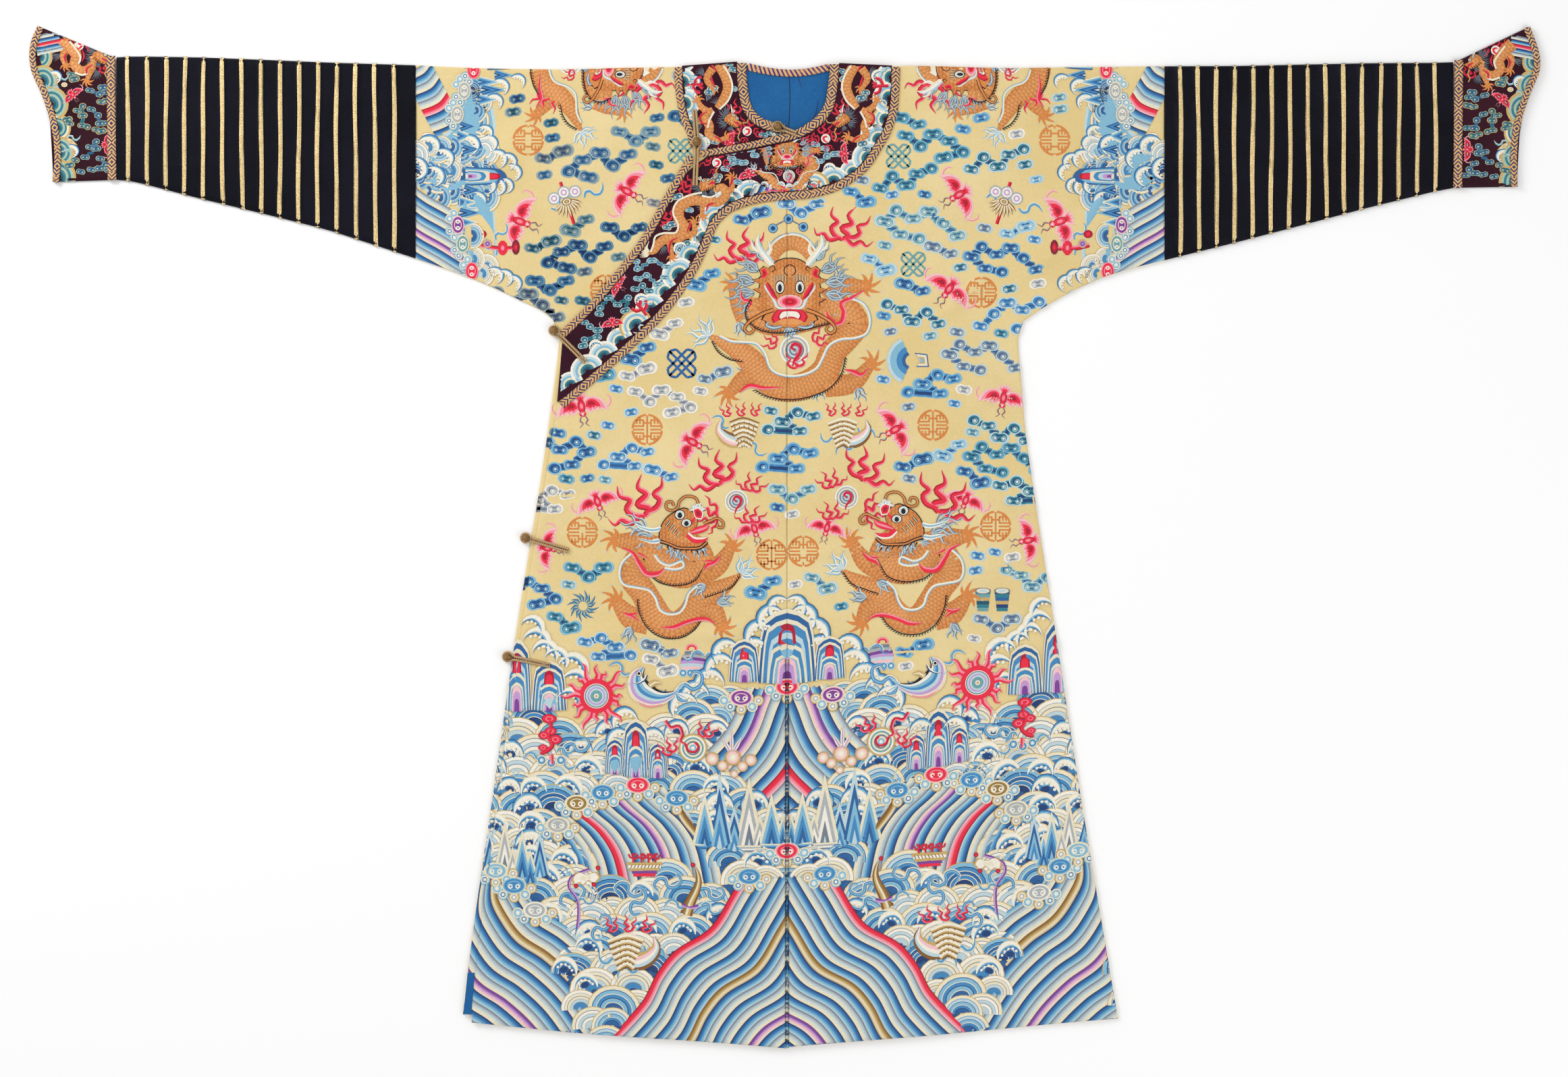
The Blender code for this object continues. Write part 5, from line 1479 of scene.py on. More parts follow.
def eye(work, x, y, wide, high, lift, spot):
    """A ringed eye with a low pupil."""
    disc(work, x, y, wide, ("black", "white", "pale", "white"), lift, high, (1, 0.84, 0.66, 0.5), spot, 0.1,
         14)
    disc(work, x, y - 0.06 * high, wide * 0.42, ("black",), lift + 0.25, high * 0.58, spot=spot, rise=0.05)


def wisp(work, path, lift, spot, tints=("black", "gold", "black"), wide=4.2):
    """A whisker, or a line of the face."""
    ribbon(work, path, tints, lift, wide, spot, 0.1, 3, kind=DULL,
           lanes=(1, 0.62, -0.62, -1) if len(tints) == 3 else None)


def facing_dragon(work, spot, lift=0.45):
    """The dragon that faces out, coiled round its pearl."""
    body = ((54, 14.5, 34), (80.5, 8, 42), (94, -10, 40), (80.5, -31.5, 38), (62.5, -51, 38),
            (51, -78.5, 40), (24.5, -98, 40), (-10, -103, 38), (-39, -88, 37), (-56, -64.5, 36),
            (-74.5, -49, 29), (-96, -38, 18), (-115.5, -28.5, 6))
    arch_back = ((-28.5, 80.5, 16), (-21.5, 96, 22), (-10, 107, 25), (8, 109, 25), (23.5, 100, 23),
                 (33.5, 83.5, 16))
    for path, k in ((arch_back, 0), (body, 1)):
        ribbon(work, path, GOLD_EDGE_SHADED, lift + 0.1 * k, spot=spot, rise=0.35, step=6, soft=True, kind=COUCHED)
    for path in (((-62.5, 0, 34), (-74.5, 19.5, 24), (-81.5, 45, 15)),
                 ((54, 23.5, 28), (78.5, 43, 25), (110, 45, 16)),
                 ((-29.5, -84.5, 34), (-63.5, -88, 26), (-88, -110, 15)),
                 ((51, -100, 34), (90, -96, 28), (117.5, -68.5, 15))):
        leg(work, path, lift - 0.05, spot)
    neck = ((-43, 23.5, 40), (-48, 9, 40), (-37, -3, 42), (-13.5, -6, 42), (19.5, -2, 40), (59, 8, 36))
    ribbon(work, neck, GOLD_EDGE_SHADED, lift + 0.3, spot=spot, rise=0.3, step=6, soft=True, kind=COUCHED)
    fin(work, ((-33.5, 84.5), (-25.5, 106), (-4, 119.5), (21.5, 115.5), (41, 92)), lift + 0.3, spot)
    fin(work,
        ((84.5, 28.5), (107, 18.5), (116.5, -3), (111.5, -23.5), (96, -30.5), (71.5, -33.5), (56, -43),
         (47, -61), (39, -74.5), (21.5, -83.5), (0, -86), (-19.5, -81.5), (-29.5, -72.5), (-36.5, -53),
         (-49, -39), (-68.5, -36.5), (-84.5, -35.5), (-102, -27.5)), lift + 0.5, spot)
    ticked(work,
           ((80.5, -59), (73.5, -84.5), (55, -105), (21.5, -117.5), (-10, -119.5), (-34.5, -114.5),
            (-50, -106)), lift + 0.45, spot)
    ticked(work, ((-113.5, -35.5), (-104, -51), (-88, -61.5), (-67.5, -65.5)), lift + 0.45, spot)
    ticked(work,
           ((-57, 25.5), (-64.5, 10), (-61.5, -6), (-45, -18.5), (-19.5, -23.5), (17.5, -19.5), (57, -10)),
           lift + 1.2, spot)
    strands(work, -117.5, -27.5, 145, 150, 8, 34, lift, ("sky", "white"), spot)
    for x, y, heading in ((-73.5, -8, -80), (34.5, -103, -60), (-54, -76.5, 160), (98, -103, -70),
                          (68.5, 51, 70)):
        strands(work, x, y, heading, 70, 4, 24, lift - 0.1, spot=spot)
    for side in (-1, 1):
        for dx, dy, heading, reach in ((38, 82, 62, 34), (46, 66, 30, 40), (52, 50, 8, 44), (52, 34, -6, 44),
                                       (48, 18, -22, 34)):
            strands(work, side * dx, dy, heading if side > 0 else 180 - heading, 44, 5, reach, lift + 0.3,
                    ("slate", "pale", "slate"), spot)
        horn = ((side * 24, 74, 9), (side * 34, 86, 11), (side * 43, 98, 9), (side * 47, 108, 7),
                (side * 45, 120, 1))
        ribbon(work, horn, ("cream", "white", "pale"), lift + 0.45, spot=spot, rise=0.2, step=4)
        for path in (((side * 35, 86, 7), (side * 28, 98, 6), (side * 31, 110, 1)),
                     ((side * 42, 94, 6), (side * 52, 100, 5), (side * 56, 110, 1))):
            ribbon(work, path, ("white", "cream"), lift + 0.4, spot=spot, rise=0.1, step=4)
    # The face: a domed brow, jagged cheeks, and a jaw that shows below the mouth.
    face = [(0, 86), (14, 84), (24, 78), (30, 70), (38, 74), (45, 68), (42, 60)]
    for k in range(4):
        y = 52 - 14 * k
        face += [(46 - 0.5 * k, y + 4), (56 - 1.5 * k, y + 2), (44 - 0.5 * k, y - 4)]
    face += [(40, -4), (24, -2)]
    face += [(-x, y) for x, y in face[::-1] if x > 0]
    # Inside the black outline, gold towards the rim and amber in the middle: painted shade round the domed
    # face.
    blob(work, face, ("black", "gold", "amber", "gold"), lift + 0.55, (1, 0.968, 0.7, 0.4), spot, 0.35, 5,
         kind=COUCHED, corner=math.radians(42), middle=(0, 40))
    jaw = [(0, -17), (12, -15), (20, -18), (27, -12), (34, -13), (37, -6), (42, -4), (38, 3), (30, 8),
           (20, 8), (0, 8)]
    jaw += [(-x, y) for x, y in jaw[::-1] if x > 0]
    # Gold at the rim and amber in the middle: painted shade round the jaw.
    blob(work, jaw, ("black", "gold", "amber"), lift + 0.7, (1, 0.94, 0.5), spot, 0.2, 5, kind=DULL,
         middle=(0, -6))
    for side in (-1, 1):
        blob(work,
             ((side * 31, 62), (side * 36, 73), (side * 43, 69), (side * 40, 62), (side * 44, 54),
              (side * 36, 56)), ("gold", "red", "crimson"), lift + 1.0, (1, 0.8, 0.4), spot, 0.15, 4,
             kind=DULL)
        ribbon(work, ((side * 30, 70, 2), (side * 25, 74, 3), (side * 22, 69, 3), (side * 27, 66, 2)),
               ("black", "gold"), lift + 1.0, spot=spot, rise=0.05, step=3, kind=DULL)
        eye(work, side * 14.5, 43, 14, 20, lift + 1.0, spot)
        for k in range(5):
            ribbon(work,
                   ((side * (6 + 4.2 * k), 53 - abs(k - 2)), (side * (6 + 4.2 * k), 62 - 1.5 * abs(k - 2))),
                   ("bronze", "cream", "bronze"), lift + 1.1, 3.0, spot, 0.1, 9)
        ribbon(work, ((side * 33, 50, 2), (side * 30, 42, 7), (side * 24, 32, 7), (side * 18, 25, 1)),
               ("crimson", "red"), lift + 1.1, spot=spot, rise=0.1, step=4)
        ribbon(work, ((side * 37, 47, 1), (side * 35, 41, 3), (side * 30, 34, 3), (side * 27, 28, 1)),
               ("white", "pale"), lift + 1.05, spot=spot, rise=0.1, step=4)
        ribbon(work,
               ((side * 1, 12, 3), (side * 12, 12, 3.5), (side * 19, 15, 4), (side * 22, 22, 4.5),
                (side * 27, 30, 1)), ("pale", "white", "pale"), lift + 1.05, spot=spot, rise=0.1, step=4)
        wisp(work,
             ((side * 24, 10, 6), (side * 36, 6, 6), (side * 48, 0, 5.5), (side * 60, -8, 5),
              (side * 66, -18, 4.5), (side * 59, -24, 4.5), (side * 52, -18, 4), (side * 57, -13, 3)),
             lift + 1.15, spot, wide=None)
        wisp(work, ((side * 3, 60, 1.4), (side * 8, 64, 1.4), (side * 7, 72, 1.4), (side * 0.5, 76, 1.4)),
             lift + 1.0, spot, ("black",))
        ribbon(work, ((side * 12, -14, 4), (side * 24, -16, 6), (side * 34, -12, 5), (side * 30, -7, 2)),
               ("slate", "pale", "slate"), lift + 1.0, spot=spot, rise=0.08, step=4)
    disc(work, 0, 22, 36, ("rose", "pink", "red", "crimson", "red"), lift + 1.2, 20,
         (1, 0.84, 0.62, 0.4, 0.2), spot, 0.25, 18)
    mouth = ((-20, 9), (-10, 11), (10, 11), (20, 9), (26, 0), (22, -8), (10, -3), (-10, -3), (-24, -9),
             (-27, -3))
    blob(work, mouth, ("crimson", "red", "crimson", "white"), lift + 1.25, (1, 0.9, 0.66, 0.56), spot, 0.1,
         5, middle=(0, 4))
    for k in range(8):
        ribbon(work, ((-13 + 3.7 * k, 8), (-13 + 3.7 * k, 1)), ("slate",), lift + 1.42, 0.7, spot, 0.02, 12)
    strands(work, 0, -16, -90, 130, 9, 16, lift + 0.95, ("blue", "pale", "slate"), spot)
    pearl(work, (*put([(7, -48)], spot)[0], 0, spot[3]), lift)
    for x, y, turn, size in ((-19.5, -41, 60, 0.5), (8, -74.5, 0, 0.6), (34.5, -35.5, -60, 0.55)):
        flame(work, (*put([(x, y)], spot)[0], turn, size * spot[3]), lift + 0.1, 3)
    for path in (
        ((-71.5, 39, 1), (-68.5, 25.5, 5), (-57, 21.5, 5), (-61, 12, 1)),
        ((-73.5, -110, 1), (-59, -100, 6), (-39, -103, 5), (-12, -102, 1)),
        ((57, -12, 2), (74.5, -8, 7), (78.5, 8, 7), (74.5, 19.5, 6), (90, 27.5, 5), (108, 39, 1)),
        ((78.5, -76.5, 1), (94, -80.5, 7), (104, -84.5, 5), (113.5, -74.5, 1)),
        ((53, 10, 1), (55, 0, 5), (64.5, -8, 6)),
    ):
        ribbon(work, path, ("red", "red", "pink"), lift + 0.7, spot=spot, rise=0.15, step=4)


def turning_dragon(work, spot, lift=0.45):
    """The dragon in profile, its head turned up to a pearl."""
    for path in (((-24.5, 24.5, 38), (-54, 33.5, 34), (-86, 39, 17)),
                 ((34.5, -10, 38), (62.5, 2, 28), (81.5, 29.5, 15)),
                 ((-39, -78.5, 40), (-63.5, -73.5, 34), (-86, -49, 16)),
                 ((24.5, -63.5, 36), (54, -63.5, 30), (68.5, -86, 17))):
        leg(work, path, lift - 0.1, spot)
    lower = ((-59, 2, 36), (-61.5, -15.5, 38), (-47, -35.5, 38), (-33.5, -59, 40), (-19.5, -78.5, 40),
             (0, -84.5, 38), (21.5, -70.5, 38), (35.5, -49, 36), (59, -35.5, 30), (78.5, -23.5, 18),
             (96, -11, 5))
    upper = ((0, 39, 40), (29.5, 24.5, 40), (35.5, 4, 42), (14.5, -10, 42), (-10, -4, 42),
             (-31.5, 13.5, 38), (-49, 17.5, 34), (-61, 2, 34))
    for path, over in ((lower, 0.0), (upper, 0.3)):
        ribbon(work, path, GOLD_EDGE_SHADED, lift + over, spot=spot, rise=0.35, step=6, soft=True, kind=COUCHED)
    fin(work,
        ((-62.5, 19.5), (-76.5, 6), (-80.5, -12), (-74.5, -25.5), (-53, -30.5), (-37, -34.5), (-27.5, -47),
         (-22.5, -61.5), (-10, -68.5), (6, -66.5), (14.5, -55), (19.5, -39), (31.5, -27.5)), lift + 0.55,
        spot)
    fin(work, ((-29.5, 17.5), (-21.5, 7), (-8, 2), (10, 8), (12.5, 0), (0, -4), (-15.5, -2)), lift + 0.8,
        spot)
    ticked(work, ((-55, -47), (-52, -66.5), (-39, -90), (-17.5, -103), (8, -103), (27.5, -92), (39, -76.5)),
           lift + 0.5, spot)
    ticked(work, ((94, -13.5), (82.5, -29.5), (61, -39), (43, -45)), lift + 0.5, spot, -1)
    ticked(work, ((-37, -12), (-21.5, -23.5), (4, -27.5), (29.5, -19.5), (43, 4)), lift + 0.75, spot)
    strands(work, 94, -10, 35, 120, 8, 32, lift, ("sky", "white"), spot)
    for x, y, heading, reach in ((-41, 56, 165, 42), (-33.5, 44, 178, 36), (-19.5, 31.5, 215, 40),
                                 (12, 27.5, 255, 26), (35.5, 27.5, 275, 24), (44, -27.5, 215, 26),
                                 (-63.5, -88, 250, 26), (61, -51, 15, 28)):
        strands(work, x, y, heading, 70, 5, reach, lift + 0.35, spot=spot)
    for path in (((-14.5, 57, 8), (-31.5, 53, 7), (-49, 57, 5), (-59, 62.5, 1)),
                 ((-12, 41, 8), (-31.5, 36.5, 7), (-45, 39, 5), (-55, 41, 1))):
        ribbon(work, path, ("white", "sky", "white"), lift + 0.7, spot=spot, rise=0.15, step=4)
    strands(work, 0, 33.5, 262, 80, 7, 24, lift + 0.72, spot=spot)
    strands(work, 33.5, 31.5, 285, 90, 7, 22, lift + 0.72, spot=spot)
    head = ((0, 80.5), (13.5, 86), (27.5, 78.5), (33.5, 66.5), (27.5, 51), (25.5, 41), (48, 35.5),
            (39, 26.5), (13.5, 24.5), (-6, 29.5), (-22.5, 37), (-21.5, 57), (-12, 72.5))
    # Inside the black outline, gold towards the rim and amber in the middle: painted shade round the domed
    # head.
    blob(work, head, ("black", "gold", "amber", "gold"), lift + 0.8, (1, 0.955, 0.6, 0.3), spot, 0.4, 4,
         kind=COUCHED)
    ribbon(work, ((-21.5, 37), (-10, 33.5), (4, 27.5), (19.5, 26.5), (35.5, 27.5), (46, 35.5)),
           ("black", "gold", "black"), lift + 1.0, 6, spot, 0.2, 4, kind=DULL)
    for k in range(7):
        x, y = -12 + 8.5 * k, 29.5 - 1.2 * k
        ribbon(work, ((x, y, 5), (x + 3, y - 6, 1)), ("black", "gold"), lift + 1.0,
               spot=spot, rise=0.1, step=4, kind=DULL)
    blob(work, ((25.5, 83.5), (33.5, 86), (41, 78.5), (39, 68.5), (29.5, 70.5)),
         ("white", "red", "crimson"), lift + 1.1, (1, 0.8, 0.45), spot, 0.3)
    strands(work, 32.5, 82.5, 60, 230, 9, 13, lift + 1.0, ("white", "pale"), spot)
    eye(work, 7, 75.5, 16, 15, lift + 1.2, spot)
    eye(work, 16.5, 63.5, 16, 13, lift + 1.25, spot)
    for k in range(4):
        x, y = -7 + 5 * k, 66.5 - 5 * k
        ribbon(work, ((x, y), (x - 6, y - 8)), ("black", "cream", "black"), lift + 1.25, 3.2, spot, 0.1, 9)
    ribbon(work, ((21.5, 49, 3), (33.5, 53, 10), (45, 57, 8), (49, 62.5, 1)), ("red", "pink", "red"),
           lift + 1.2, spot=spot, rise=0.15, step=4)
    ribbon(work, ((17.5, 47, 8), (27.5, 39, 9), (41, 39, 7), (48, 43, 1)), ("white", "red", "red"),
           lift + 1.25, spot=spot, rise=0.15, step=4)
    ribbon(work, ((13.5, 47, 1), (17.5, 57, 6), (25.5, 66.5, 5), (29.5, 72.5, 1)), ("red",), lift + 1.2,
           spot=spot, step=4)
    wisp(work,
         ((33.5, 92), (29.5, 100), (15.5, 102), (6, 94), (4, 86), (-4, 81.5), (-12.5, 84.5), (-12, 93),
          (-4, 94), (-2, 88)), lift + 1.3, spot)
    wisp(work, ((41, 62.5), (51, 66.5), (61, 70.5), (69.5, 64.5), (68.5, 57), (61, 58), (62.5, 62.5)),
         lift + 1.3, spot)
    size, flip = spot[3:]
    pearl(work, (*put([(89, 95)], spot)[0], 0, size * 0.78), lift)
    for x, y, turn, big in ((-44, 73.5, 15, 1.25), (64.5, 119.5, 10, 1.05), (61.5, 73.5, 70, 0.7),
                            (108, 63.5, -20, 0.6), (108, 110, -30, 0.6)):
        flame(work, (*put([(x, y)], spot)[0], turn * flip, big * size, flip), lift + 0.1)
    for path in (
        ((-76.5, 27.5, 1), (-61, 19.5, 5), (-53, 6, 7), (-41, -10, 8), (-24.5, -10, 7), (-15.5, -2, 1)),
        ((-53, 19.5, 4), (-39, 12, 1)), ((-76.5, -66.5, 1), (-64.5, -70.5, 6), (-54, -66.5, 1)),
        ((-64.5, -70.5, 5), (-53, -78.5, 1)),
        ((-19.5, -88, 1), (-2, -88, 6), (14.5, -81.5, 6), (31.5, -76.5, 6), (47, -76.5, 5), (57, -82.5, 1)),
        ((42, -5, 1), (47, 2, 6), (57, 6, 6), (66.5, 15.5, 1)), ((42, 8, 1), (53, 8, 5)),
    ):
        ribbon(work, path, ("red", "red", "pink"), lift + 0.9, spot=spot, rise=0.15, step=4)


# Place, turn, size and side.
CHEST = (7.5, 319.5, 0, 1, 1)
SKIRT = ((-159, -43, 0, 1, 1), (179, -37, 0, 1, -1))
dragons = new_work()
facing_dragon(dragons, CHEST)
for spot in ((-61, 403, 0, 1.0), (84, 432, -12, 1.05)):
    flame(dragons, spot, 0.4, 5)
for x, y in ((-17, 448), (5.5, 461.5), (27, 450)):
    disc(dragons, x, y, 14, ("navy", "sky", "blue", "navy"), 0.4, shares=(1, 0.86, 0.6, 0.4), sides=14)
for path in (((-12, 453), (-1.5, 458.5)), ((12, 458.5), (21, 453.5))):
    ribbon(dragons, path, ("slate",), 0.3, 2.2, step=20)
for spot in SKIRT:
    turning_dragon(dragons, spot)

# ---------------------------------------------------------------- shoulders and upper sleeves
# Where the yellow silk meets the dark sleeve, water rises again, on its side: striped sheaves above
# and below, waves between them, and a peak that points to the chest. A dragon lies on each shoulder.
WATER_FIELD = ((-551, 562.5), (-512, 578), (-480.5, 588), (-463, 603.5), (-419, 603.5), (-414, 456.5),
               (-453, 447), (-482.5, 481), (-512, 498), (-551, 520.5))
SIDEWAYS = -90
FIELD_LEFT, FIELD_MIDDLE = -533.5, 542
shoulder = new_work()
sheaf(shoulder, ((-555, 672.5), (-539.5, 678), (-527.5, 685), (-518, 698)), (61, -115.5), "gbgbgrbgbgb",
      ((-551, 701.5), (-441.5, 701.5), (-463, 662.5), (-484.5, 594), (-512, 576), (-551, 556.5)), 0.5)
sheaf(shoulder, ((-555, 523.5), (-522, 498), (-490.5, 480), (-453, 456.5)), (-17.5, -115.5), "gbgbgpbgbgb",
      ((-551, 530), (-512, 501), (-473, 474.5), (-463, 437), (-453, 388), (-463, 349), (-551, 349)), 0.5)
blob(shoulder,
     ((-551, 559.5), (-512, 578), (-484.5, 596), (-453, 662.5), (-433.5, 672.5), (-419, 603.5), (-426, 535),
      (-419, 456.5), (-419, 388), (-453, 368.5), (-473, 476.5), (-512, 496), (-551, 523.5)),
     ("pale", "sky"), 0.1, (1, 0.9), rise=0.0, step=12)
seeds = random.Random(5)
for k in range(7):
    for j in range(3 + k % 2):
        x = FIELD_LEFT + k * 16.5
        y = FIELD_MIDDLE + (j - 1.5 + 0.25 * (k % 2)) * 34 + seeds.uniform(-4, 4)
        if inside_any(x, y, (WATER_FIELD,)):
            reach, turn = seeds.uniform(20, 25), SIDEWAYS + seeds.uniform(-25, 25)
            dome(shoulder, x, y, reach, turn, WAVES[seeds.choice((0, 1, 2, 3, 4))], 0.42 + 0.02 * k)
for x, y, turn in ((-453, 648, -80), (-448.5, 618.5, -100), (-441.5, 633, -60), (-451.5, 403, -100),
                   (-438.5, 383, -70), (-453, 437, -90), (-431.5, 393, -60)):
    dome(shoulder, x, y, 19, turn, WAVES[seeds.choice((1, 2, 3, 4))], 0.6)
for x, y, size, turn in (
    (-409, 654.5, 10, -70), (-418, 633, 10, -60), (-425, 571.5, 10, -80), (-412, 549, 11, -80),
    (-397.5, 545, 10, -80), (-390.5, 529, 10, -90), (-427, 509.5, 10, -100), (-413, 507.5, 10, -100),
    (-401.5, 509.5, 9, -95), (-441.5, 488, 10, -100), (-417, 380, 10, -80), (-402.5, 376.5, 10, -80),
    (-390.5, 368.5, 10, -80), (-384.5, 662.5, 9, -60), (-431.5, 588, 9, -70), (-512, 569.5, 13, -60),
    (-529.5, 533, 13, -110), (-504, 523.5, 12, -90), (-490.5, 550, 12, -80), (-453, 569.5, 12, -80),
):
    curl(shoulder, x, y, size * 1.1, turn, 1, 0.85, False)
SIDE_ROCKS = (("cream", "sky", "blue", "deep", "sky"), ("sky", "deep", "blue", "navy", "pale"))
for x, y, wide, high, shade in (
    (-441.5, 660.5, 18, 34, 0), (-437.5, 649, 18, 36, 1), (-441.5, 635, 18, 30, 0), (-469, 596, 18, 24, 1),
    (-473, 582, 20, 22, 0), (-465, 562.5, 18, 28, 1), (-463, 503.5, 18, 26, 1), (-471, 486, 18, 28, 0),
    (-469, 470.5, 18, 32, 1), (-469, 456.5, 18, 26, 0), (-419, 670.5, 16, 26, 1),
):
    rock(shoulder, x, y, wide, high, SIDE_ROCKS[shade], 0.8, SIDEWAYS, 0.2, EDGE_SINK)
SIDE_PEAK = ("deep", "sky", "cream", "blue", "pale", "cream")
for x, y, wide, high, tints, lift, shares in (
    (-463, 523.5, 27, 60, SIDE_PEAK, 0.9, None), (-428, 523.5, 10, 16, ("crimson", "red"), 1.15, (1, 0.75)),
    (-459, 523.5, 15, 26, ("blue", "pale", "lilac", "purple"), 1.15, None),
    (-431.5, 690, 24, 44, SIDE_PEAK, 0.7, None),
):
    arch(shoulder, (x, y, SIDEWAYS), wide, high, tints, lift, shares)
for x, y, tint, pale in (
    (-451.5, 678, "red", "pink"), (-465, 648, "grey", "cream"), (-475, 613.5, "grey", "cream"),
    (-474, 453, "purple", "rose"), (-467, 425.5, "teal", "cream"), (-454, 386, "red", "pink"),
):
    for k, (dx, dy) in enumerate(((-6, 17), (-6, -17), (-12, 9), (-12, -9))):
        spiral_cloud(shoulder, x + dx, y + dy, 13, PUFFS[2 * (k % 2)], 0.9)
    disc(shoulder, x, y, 19, (pale, tint, pale, tint), 1.05, 27, (1, 0.86, 0.6, 0.46), rise=0.2, sides=16)
    for dy in (-4.6, 4.6):
        disc(shoulder, x, y + dy, 6.0, ("white", tint), 1.3, shares=(1, 0.4), rise=0.05, sides=8)
facing_dragon(shoulder, (-273, 683, SIDEWAYS, 0.80, -1))
for spot in ((-340.5, 647, 160, 0.7), (-196.5, 657.5, 180, 0.9), (-220, 667.5, 150, 0.8)):
    flame(shoulder, spot, 0.5, 4)
disc(shoulder, -195.5, 684, 38, ("black", "white", "cream"), 0.4, shares=(1, 0.93, 0.5), sides=24)
sew("shoulder_embroidery_left", shoulder, inner_grounds, hidden=collar_cover)
sew("shoulder_embroidery_right", moved(mirrored(shoulder), 8, 0), outer_grounds, hidden=collar_cover)

# ---------------------------------------------------------------- clouds over the yellow ground
# Whatever the dragons and lucky things leave free is filled with knotted clouds, in blues and
# greys: curled heads along a stepped band, fitted close together without touching.
CLOUD_FORMS = (
    ((-50, -16), (-30, 2), (-10, 18), (12, 8), (36, 20), (52, 4), (30, -14), (4, -20)),
    ((-44, 14), (-22, -2), (-4, 16), (20, 6), (40, -10), (12, -18)),
    ((-36, -14), (-18, 4), (4, -10), (20, 8), (42, 16)),
    ((-30, 10), (-6, 16), (16, 2), (-10, -12), (38, -10)),
    ((-26, -8), (-4, 8), (22, 0), (6, -20)),
    ((-20, 8), (4, -6), (26, 8)),
    ((-14, 9), (10, -8)),
    ((-15, -6), (14, 5)),
    ((0, 0),),
)
CELL, UNDER_ALL = 4.0, 0.2
# How far a head reaches across and up, and how much of that it keeps other heads out of.
HEAD_REACH = (15.5, 10.5)
HEAD_CLEAR = (13.0, 8.5)


def cells_of(xy):
    """Which cell of the ground each place is in."""
    return np.floor((xy - FIELD_LOW) / CELL).astype(int)


def mark(taken, xy, wide, high=None):
    """Marks the cells within a distance of the points as taken."""
    high = wide if high is None else high
    reach = int(math.ceil(max(wide, high) / CELL))
    for dx in range(-reach, reach + 1):
        for dy in range(-reach, reach + 1):
            if (dx * CELL / wide) ** 2 + (dy * CELL / high) ** 2 <= 1:
                spots = cells_of(xy) + (dx, dy)
                good = ((spots >= 0) & (spots < taken.shape)).all(1)
                taken[spots[good, 0], spots[good, 1]] = True


def steps_between(start, end, kink):
    """A stepped line from one head to the next."""
    gap = end - start
    return [start, start + gap * (0.34, 0.04), start + gap * (0.40, 0.46) + (kink, 0),
            start + gap * (0.66, 0.54), start + gap * (0.72, 0.94), end]


def cloud_chain(work, places, size, flip, shades, lift, thin=False):
    """Cloud heads joined by a stepped band. Those on dark satin have thin rims."""
    rim, ring, dark = shades
    for k in range(len(places) - 1):
        path = steps_between(places[k], places[k + 1], 2.0 * size * (-1) ** k)
        if thin:
            ribbon(work, path, (ring, dark, ring), lift - 0.05 + 0.01 * (k % 2), 11 * size, rise=0.06,
                   step=5, sink=0.04)
        else:
            ribbon(work, path, (rim, ring, dark, ring, rim), lift - 0.05 + 0.01 * (k % 2), 12 * size,
                   rise=0.06, step=5, sink=0.04, lanes=(1, 0.84, 0.4, -0.4, -0.84, -1))
    for k, (hx, hy) in enumerate(places):
        cloud_head(work, hx, hy, size * (0.90 + 0.09 * ((k * 5) % 3 - 1)), flip * (7 * ((k * 3) % 4) - 10),
                   shades, lift + 0.01 * (k % 3), thin, len(places) > 2 and k % 3 == 1)


FIELD_LOW, FIELD_HIGH = np.min(GROUND, 0) - 20, np.max(GROUND, 0)
# The water on the robe's other half lies a little higher, by this share of its way out.
HALF_SHEAR = 0.07
taken = np.zeros(np.ceil((FIELD_HIGH + 20 - FIELD_LOW) / CELL).astype(int), bool)
for work, room in ((ground, 3.0), (dragons, 3.0), (hem, 2.0), (mirrored(hem, HALF_SHEAR), 2.0),
                   (shoulder, 3.0), (mirrored(shoulder), 3.0)):
    mark(taken, np.concatenate(work["xy"]), room)
mark(taken, along_curve(collar_cover, 3.0, True), 3.0)
edges = np.concatenate([along_curve(fronts[node], 3.0, True)
                        for node in ("outer_front_left", "outer_front_right")])
edges = edges[np.abs(edges[:, 0] - SEAM_X) > 12]
reach_x, reach_y = (int(far / CELL) + 1 for far in HEAD_REACH)
disc_cells = [(i, j) for i in range(-reach_x, reach_x + 1) for j in range(-reach_y, reach_y + 1)
              if (i * CELL / HEAD_REACH[0]) ** 2 + (j * CELL / HEAD_REACH[1]) ** 2 <= 1]


def room_for(places):
    """Whether a cloud's heads all fall on free ground."""
    for place in places:
        spot = cells_of(place)
        for i, j in disc_cells:
            a, b = spot + (i, j)
            if not (0 <= a < taken.shape[0] and 0 <= b < taken.shape[1]) or taken[a, b]:
                return False
    return True


# How often each form is tried, the longest chain first.
TRIES = (2600, 2600, 2600, 2600, 3000, 3500, 3500, 4500, 9000)
seeds = random.Random(11)
for form, tries in zip(CLOUD_FORMS, TRIES):
    for _ in range(tries):
        x = seeds.uniform(FIELD_LOW[0], -FIELD_LOW[0] + 8)
        y = seeds.uniform(FIELD_LOW[1], FIELD_HIGH[1] + 10)
        flip, size = seeds.choice((-1, 1)), seeds.uniform(0.92, 1.04)
        if len(form) == 1:
            size = seeds.uniform(0.8, 0.95)
        places = put(form, (x, y, 0, size, flip))
        shades = CLOUD_SHADES[seeds.randrange(len(CLOUD_SHADES))]
        if room_for(places) and inside_any(x, y, (GROUND,)):
            cloud_chain(clouds, places, size, flip, shades, UNDER_ALL)
            mark(taken, places, *HEAD_CLEAR)
            mark(taken, np.array([(a + b) / 2 for a, b in zip(places, places[1:])] or places), 8.0)

